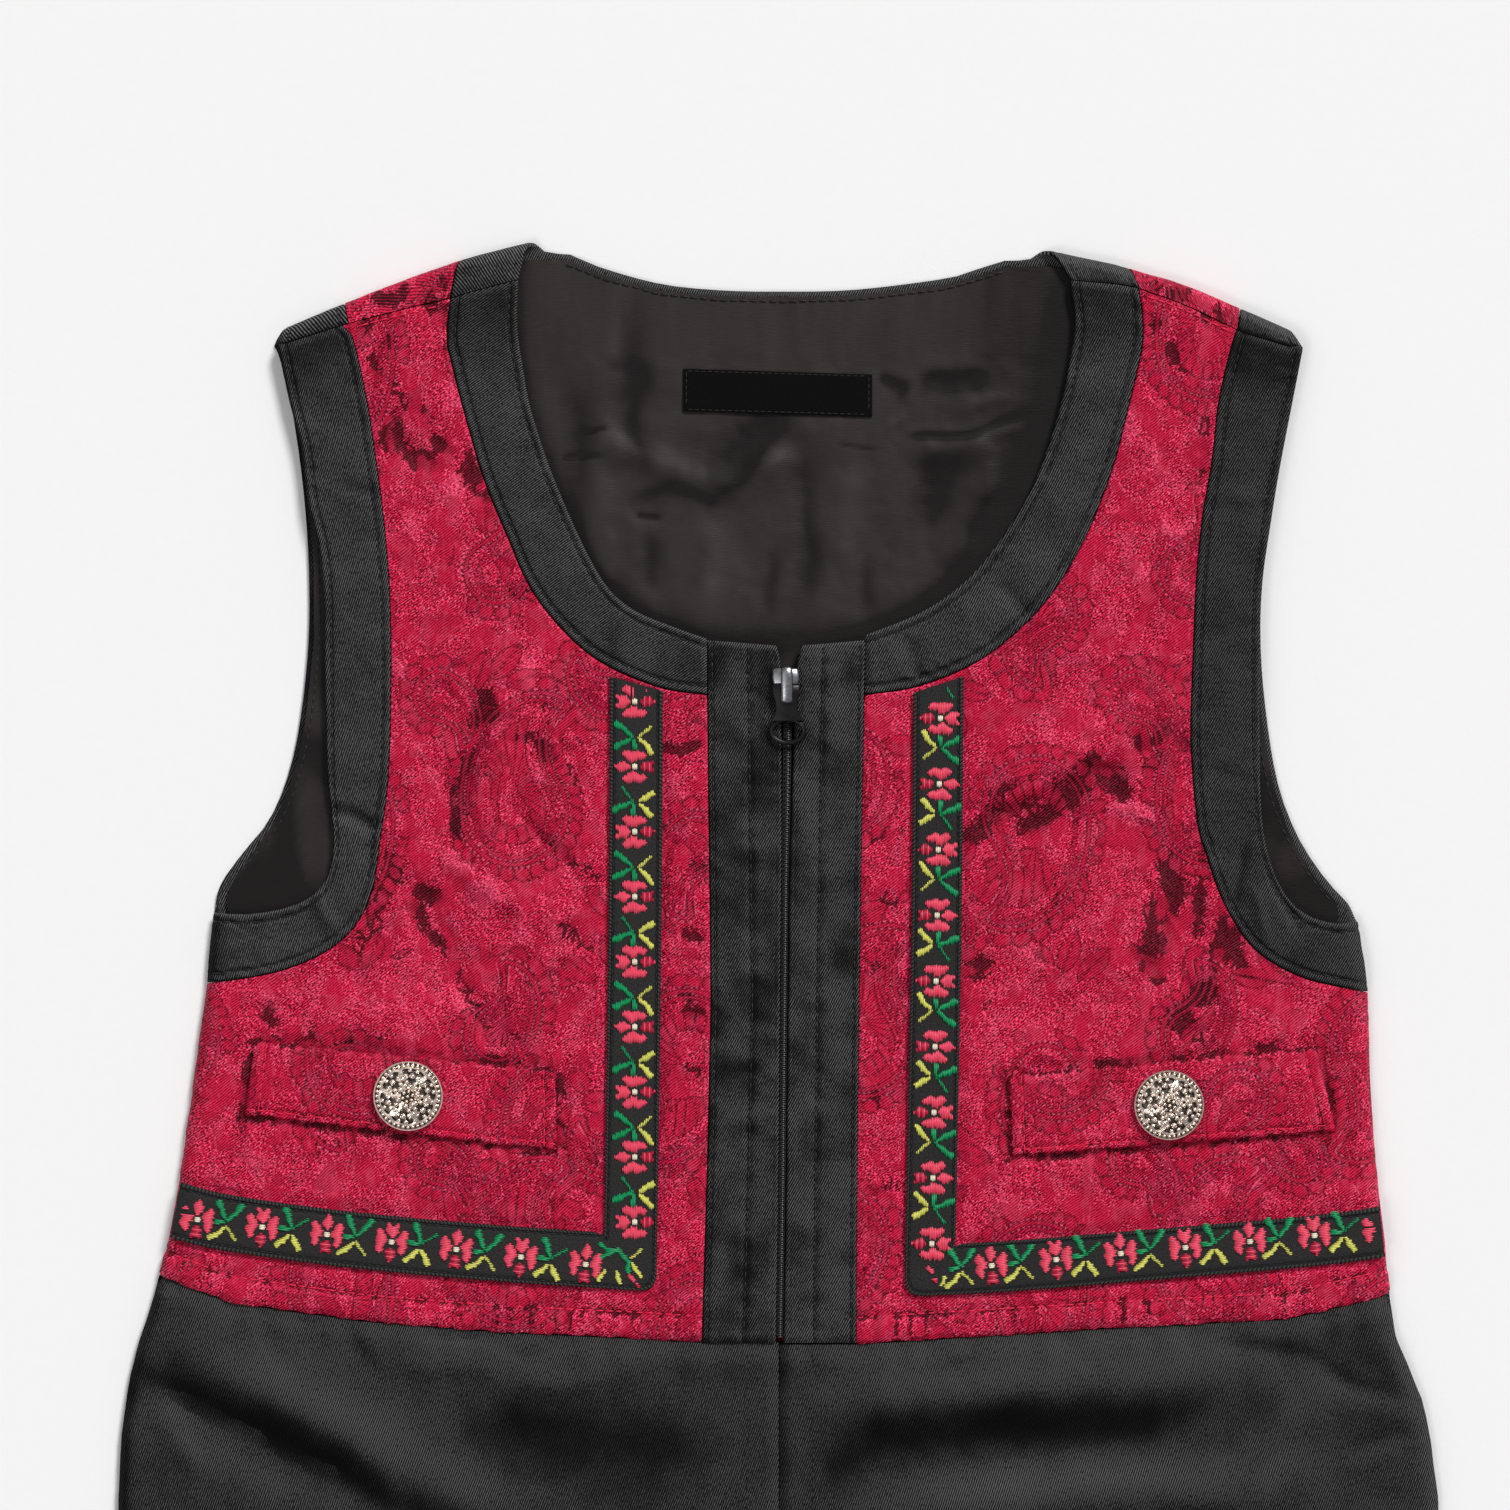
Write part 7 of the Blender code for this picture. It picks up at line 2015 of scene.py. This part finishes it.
def slider():
    """Cast slider with its bridge, and the enamelled pull that hangs on it."""
    low, high = (corner.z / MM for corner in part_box("zip_slider"))
    pull_low, pull_high = (corner.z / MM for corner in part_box("zip_pull"))
    meshes = Meshes()
    plate(meshes, SLIDER_BODY, low, low + 0.62 * (high - low), 0.6)
    plate(meshes, SLIDER_BRIDGE, low + 0.5 * (high - low), high, 0.7)
    stand_for(meshes.make("cast_slider", [FINISHES["slider"]]), "slider_metal", "zip_slider")
    meshes = Meshes()
    plate(meshes, PULL_PLATE, pull_low, pull_high, 0.45)
    x, drop, wide, tall, radius = PULL_RING
    angle = np.linspace(0, 2 * math.pi, 49)
    line = np.column_stack([x + wide * np.cos(angle), -drop + tall * np.sin(angle),
                            np.full(49, (pull_low + pull_high) / 2)])
    meshes.tube(line, radius, 10, flatten=0.9)
    item = meshes.make("enamel_pull", [FINISHES["pull"]])
    stand_for(item, "pull_metal", "zip_pull")
    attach(item, "pull")


# ---------------------------------------------------------------- properties
def length_property(name, description, default, low, high):
    return bpy.props.FloatProperty(name=name, description=description, default=default,
                                   min=low, max=high, unit="LENGTH", subtype="DISTANCE",
                                   precision=5)


def colour_property(name, description, *screen):
    return bpy.props.FloatVectorProperty(name=name, description=description, size=3,
                                         default=linear(*screen), min=0.0, max=1.0,
                                         subtype="COLOR")


class RomperSizes(bpy.types.PropertyGroup):
    rib_pitch: length_property("Brocade rib", "Distance between the brocade's ribs", 0.00056,
                               0.0003, 0.003)
    twill_pitch: length_property("Twill line", "Distance between the twill's lines", 0.00053,
                                 0.0003, 0.003)
    stitch_pitch: length_property("Stitch pitch", "From one stitch to the next", 0.0024,
                                  0.001, 0.006)
    stitch_length: length_property("Stitch length", "Length of one stitch that shows", 0.0019,
                                   0.0005, 0.006)
    thread_radius: length_property("Thread radius", "Radius of the sewing thread", 0.00019,
                                   0.0001, 0.0006)
    embroidery_pitch: length_property("Embroidery pitch", "Distance between embroidery threads",
                                      0.0004, 0.0002, 0.001)


class RomperColours(bpy.types.PropertyGroup):
    brocade: colour_property("Brocade", "Main colour of the brocade", 224, 21, 69)
    # Brocade light also paints the highlights where folds catch the light; brocade deep also paints the
    # shade in the folds.
    brocade_light: colour_property("Brocade light", "Raised threads of the brocade", 228, 84, 118)
    brocade_deep: colour_property("Brocade deep", "Sunken threads of the brocade", 96, 4, 26)
    twill_light: colour_property("Twill light", "Raised lines of the black twill", 108, 109, 109)
    twill_deep: colour_property("Twill deep", "Hollows of the black twill", 1, 1, 1)
    lining: colour_property("Lining", "Satin lining", 44, 39, 38)
    ribbon: colour_property("Ribbon", "Ground of the flower ribbons", 29, 28, 28)
    petal: colour_property("Petal", "Petals on the ribbons", 236, 74, 100)
    petal_deep: colour_property("Deep petal", "Shaded petals on the ribbons", 172, 26, 58)
    leaf: colour_property("Leaf", "Green leaves on the ribbons", 14, 142, 86)
    leaf_light: colour_property("Light leaf", "Yellow leaves on the ribbons", 208, 208, 98)
    heart: colour_property("Heart", "Middle of the flowers", 244, 228, 200)
    black_thread: colour_property("Sewing thread", "Thread of the black stitching", 26, 26, 27)
    pewter: colour_property("Pewter", "Metal of the buttons", 236, 220, 208)
    slider: colour_property("Slider", "Metal of the zip's slider", 150, 152, 156)
    zip_black: colour_property("Zip black", "Coil and pull of the zip", 24, 24, 26)
    floor: colour_property("Floor", "Surface that the garment lies on", 234, 234, 235)


class RomperStage(bpy.types.PropertyGroup):
    view_width: length_property("View width", "Width of cloth that the camera sees", 0.3645,
                                0.1, 2.0)
    camera_height: length_property("Camera height", "Camera above the cloth", 1.3, 0.3, 5.0)
    key: bpy.props.FloatProperty(name="Key light", description="Strength of the main light",
                                 default=2.75, min=0.0)
    sky: bpy.props.FloatProperty(name="Sky", description="Strength of the light all round",
                                 default=0.3, min=0.0)


# ----------------------------------------------------------------- operators
class Dress:
    """Shared form of the operators."""
    bl_options = {"REGISTER", "UNDO"}

    def execute(self, context):
        self.make(context.scene)
        return {"FINISHED"}


class ROMPER_OT_finishes(Dress, bpy.types.Operator):
    """Make the cloth, thread and metal finishes"""
    bl_idname = "romper.finishes"
    bl_label = "Finishes"

    def make(self, scene):
        make_finishes(scene)


class ROMPER_OT_back(Dress, bpy.types.Operator):
    """Lay down the back: brocade, bands and trousers"""
    bl_idname = "romper.back"
    bl_label = "Back"

    def make(self, scene):
        back_bodice()
        back_neck_band()
        for hand in HANDS:
            BUILT["arm_back_" + hand] = back_arm_band(hand)
            back_trouser(hand)


class ROMPER_OT_lining(Dress, bpy.types.Operator):
    """Lay the satin lining and its blank label"""
    bl_idname = "romper.lining"
    bl_label = "Lining and label"

    def make(self, scene):
        back_lining()
        label()


class ROMPER_OT_vest(Dress, bpy.types.Operator):
    """Lay the two brocade fronts of the vest"""
    bl_idname = "romper.vest"
    bl_label = "Vest fronts"

    def make(self, scene):
        for hand in HANDS:
            front_bodice(hand)


class ROMPER_OT_bands(Dress, bpy.types.Operator):
    """Edge the neck, the armholes and the zip with twill bands"""
    bl_idname = "romper.bands"
    bl_label = "Bands"

    def make(self, scene):
        for hand in HANDS:
            BUILT["neck_" + hand] = front_band("neck_band", hand, NECK_EDGE[hand],
                                               NECK_SEAM[hand], 116, -1, "neck_" + hand)
            BUILT["arm_" + hand] = front_band("armhole_band", hand, FRONT_ARM[hand],
                                              ARM_SEAM[hand], 152, 1, "band_" + hand)
            BUILT["placket_" + hand] = placket(hand)


class ROMPER_OT_trousers(Dress, bpy.types.Operator):
    """Lay the trouser fronts"""
    bl_idname = "romper.trousers"
    bl_label = "Trouser fronts"

    def make(self, scene):
        for hand in HANDS:
            front_trouser(hand)


class ROMPER_OT_ribbons(Dress, bpy.types.Operator):
    """Lay the ribbons and embroider their flowers"""
    bl_idname = "romper.ribbons"
    bl_label = "Flower ribbons"

    def make(self, scene):
        for hand in HANDS:
            BUILT["ribbon_" + hand] = ribbon(hand)
            flowers(hand, scene.romper_sizes)


class ROMPER_OT_flaps(Dress, bpy.types.Operator):
    """Lay the pocket flaps and set their buttons"""
    bl_idname = "romper.flaps"
    bl_label = "Flaps and buttons"

    def make(self, scene):
        for hand, turn in (("left", 0.3), ("right", 0.75)):
            BUILT["flap_" + hand] = flap(hand)
            button(hand, turn)


class ROMPER_OT_zip(Dress, bpy.types.Operator):
    """Make the zip's tapes and coil and finish its slider and pull"""
    bl_idname = "romper.zip"
    bl_label = "Zip"

    def make(self, scene):
        zip_parts()


class ROMPER_OT_stitching(Dress, bpy.types.Operator):
    """Sew the stitching along bands, ribbons, hems and flaps"""
    bl_idname = "romper.stitching"
    bl_label = "Stitching"

    def make(self, scene):
        sizes = scene.romper_sizes
        usual = Stitch(sizes.stitch_pitch / MM, sizes.stitch_length / MM,
                       sizes.thread_radius / MM)
        black, crimson, backs = Meshes(), Meshes(), Meshes()

        def sew_edges(threads, places, high, inset, stitch=usual, sides=(True, False)):
            for first in sides:
                line = inset_line(places, front_surface, first, inset)
                sew(threads, line, front_surface, high, stitch)

        def sew_line(threads, x, drop, high):
            sew(threads, np.column_stack([x, drop]), front_surface, high, usual)

        for hand in HANDS:
            for key in ("neck_", "arm_"):
                sew_edges(black, BUILT[key + hand], 0.0, BAND_INSET)
            for inset in (PLACKET_EDGE, PLACKET_STITCH):
                sew_edges(black, BUILT["placket_" + hand], 0.05, inset, sides=(True,))
            sew_edges(black, BUILT["ribbon_" + hand], LAY + 0.85, RIBBON_STITCH, RIBBON_SEWING)
            places = BUILT["flap_" + hand]
            sew_edges(crimson, places.transpose(1, 0, 2), LAY + 1.0, FLAP_HEM_STITCH, sides=(False,))
            sew_edges(crimson, places, LAY + 1.1, FLAP_SIDE_STITCH)
            x = np.linspace(*sorted((at(SIDE[hand], 246.0) * 0.985, at(PLACKET[hand], 260.0))), 60)
            sew_line(crimson, x, across(HEM[hand], x) - HEM_INSET, -0.25)
            x = np.linspace(*OVER_SEAM[hand], 20)
            sew_line(crimson, x, seam_line(x) + 1.3, 0.1)
            drops = np.linspace(*FLY_DROPS, 90)
            sew_line(black, FLY_OUT[hand] + 0 * drops, drops, 0.02)
            for first in (True, False):
                line = inset_line(BUILT["arm_back_" + hand], back_surface, first, BAND_INSET)
                line = line[fold_line(line[:, 0]) - line[:, 1] > 0.5]
                if len(line) > 3:
                    sew(backs, line, back_surface, 0.0, usual)
        for hand in HANDS:
            line = shift(below(line_of(BACK_ARM[hand]), lambda x: 40.0 + 0 * x)[:-14],
                         SIGN[hand] * LINING_SEWN)
            sew(backs, line, lining_surface, 0.02, usual)
        x = np.linspace(-52.0, 56.0, 80)
        line = np.column_stack([x, across(BACK_NECK_EDGE, x) + 1.9])
        sew(backs, line, lining_surface, 0.3, usual)
        corners = np.array(LABEL)
        middle = corners.mean(axis=0)
        for start, end in ((0, 3), (1, 2), (0, 1), (3, 2)):
            line = np.array([corners[start] * (1 - t) + corners[end] * t for t in even(30)])
            line = middle + (line - middle) * (0.965, 0.9)
            sew(backs, line, lining_surface, LABEL_FACE, LABEL_SEWING)
        for threads, name, finish, slot in (
                (black, "black_stitching_front", "black_thread", "twill"),
                (crimson, "crimson_stitching", "vest_thread", "brocade"),
                (backs, "black_stitching_back", "black_thread", "twill")):
            stand_for(threads.make(name, [FINISHES[finish]]), slot)


# Each light: where it comes from, its angle in degrees, its share of the key and its colour.
LIGHTS = (("key", (0.6, 0.95, 1.15), 17.0, 1.0, (1.0, 0.99, 0.97)),
          ("fill", (-0.9, -0.2, 1.5), 50.0, 0.13, (0.97, 0.985, 1.0)),
          ("glint", (-0.5, -0.5, 1.0), 16.0, 0.14, (1.0, 0.97, 0.94)))
CAMERA_OVER = (-0.0058, 0.1657)       # what the camera looks at, in metres from the middle
CLOTH_HEIGHT = 0.005


class ROMPER_OT_stage(Dress, bpy.types.Operator):
    """Set the pale floor, the soft lights and the camera"""
    bl_idname = "romper.stage"
    bl_label = "Stage"

    def make(self, scene):
        settings = scene.romper_stage
        mesh = bpy.data.meshes.new("floor")
        half = 6.0
        mesh.from_pydata([(-half, -half, 0), (half, -half, 0), (half, half, 0), (-half, half, 0)],
                         [], [(0, 1, 2, 3)])
        mesh.materials.append(floor_finish(scene.romper_colours))
        floor = bpy.data.objects.new("floor", mesh)
        floor.location.z = -0.0002
        scene.collection.objects.link(floor)
        world = bpy.data.worlds.new("Soft daylight")
        world.use_nodes = True
        sky = world.node_tree.nodes["Background"].inputs
        sky["Color"].default_value = (0.98, 0.98, 1.0, 1.0)
        sky["Strength"].default_value = settings.sky
        scene.world = world
        for name, toward, angle, share, colour in LIGHTS:
            light = bpy.data.lights.new(name, "SUN")
            light.angle, light.energy = math.radians(angle), settings.key * share
            light.color = colour
            lamp = bpy.data.objects.new(name, light)
            lamp.rotation_euler = Vector(toward).to_track_quat("Z", "Y").to_euler()
            scene.collection.objects.link(lamp)
        camera = bpy.data.cameras.new("camera")
        camera.lens = camera.sensor_width * settings.camera_height / settings.view_width
        camera.clip_end = 20.0
        eye = bpy.data.objects.new("camera", camera)
        eye.location = (*CAMERA_OVER, settings.camera_height + CLOTH_HEIGHT)
        scene.collection.objects.link(eye)
        scene.camera = eye
        scene.view_settings.view_transform = "Standard"
        scene.view_settings.look = "None"


OPERATORS = (ROMPER_OT_finishes, ROMPER_OT_back, ROMPER_OT_lining, ROMPER_OT_vest,
             ROMPER_OT_bands, ROMPER_OT_trousers, ROMPER_OT_ribbons, ROMPER_OT_flaps,
             ROMPER_OT_zip, ROMPER_OT_stitching, ROMPER_OT_stage)


class ROMPER_PT_panel(bpy.types.Panel):
    """Sizes, colours and steps of the romper"""
    bl_label = "Festive romper"
    bl_idname = "ROMPER_PT_panel"
    bl_space_type = "VIEW_3D"
    bl_region_type = "UI"
    bl_category = "Romper"

    def draw(self, context):
        for group in (context.scene.romper_sizes, context.scene.romper_colours,
                      context.scene.romper_stage):
            box = self.layout.box()
            for key in group.__annotations__:
                box.prop(group, key)
        for operator in OPERATORS:
            self.layout.operator(operator.bl_idname)


GROUPS = {"romper_sizes": RomperSizes, "romper_colours": RomperColours,
          "romper_stage": RomperStage}


def register():
    for group in GROUPS.values():
        bpy.utils.register_class(group)
    for key, group in GROUPS.items():
        setattr(bpy.types.Scene, key, bpy.props.PointerProperty(type=group))
    for operator in OPERATORS:
        bpy.utils.register_class(operator)
    bpy.utils.register_class(ROMPER_PT_panel)


def unregister():
    bpy.utils.unregister_class(ROMPER_PT_panel)
    for operator in OPERATORS[::-1]:
        bpy.utils.unregister_class(operator)
    for key, group in GROUPS.items():
        delattr(bpy.types.Scene, key)
        bpy.utils.unregister_class(group)


def main():
    register()
    for operator in OPERATORS:
        area, step = operator.bl_idname.split(".")
        getattr(getattr(bpy.ops, area), step)()


if __name__ == "__main__":
    main()
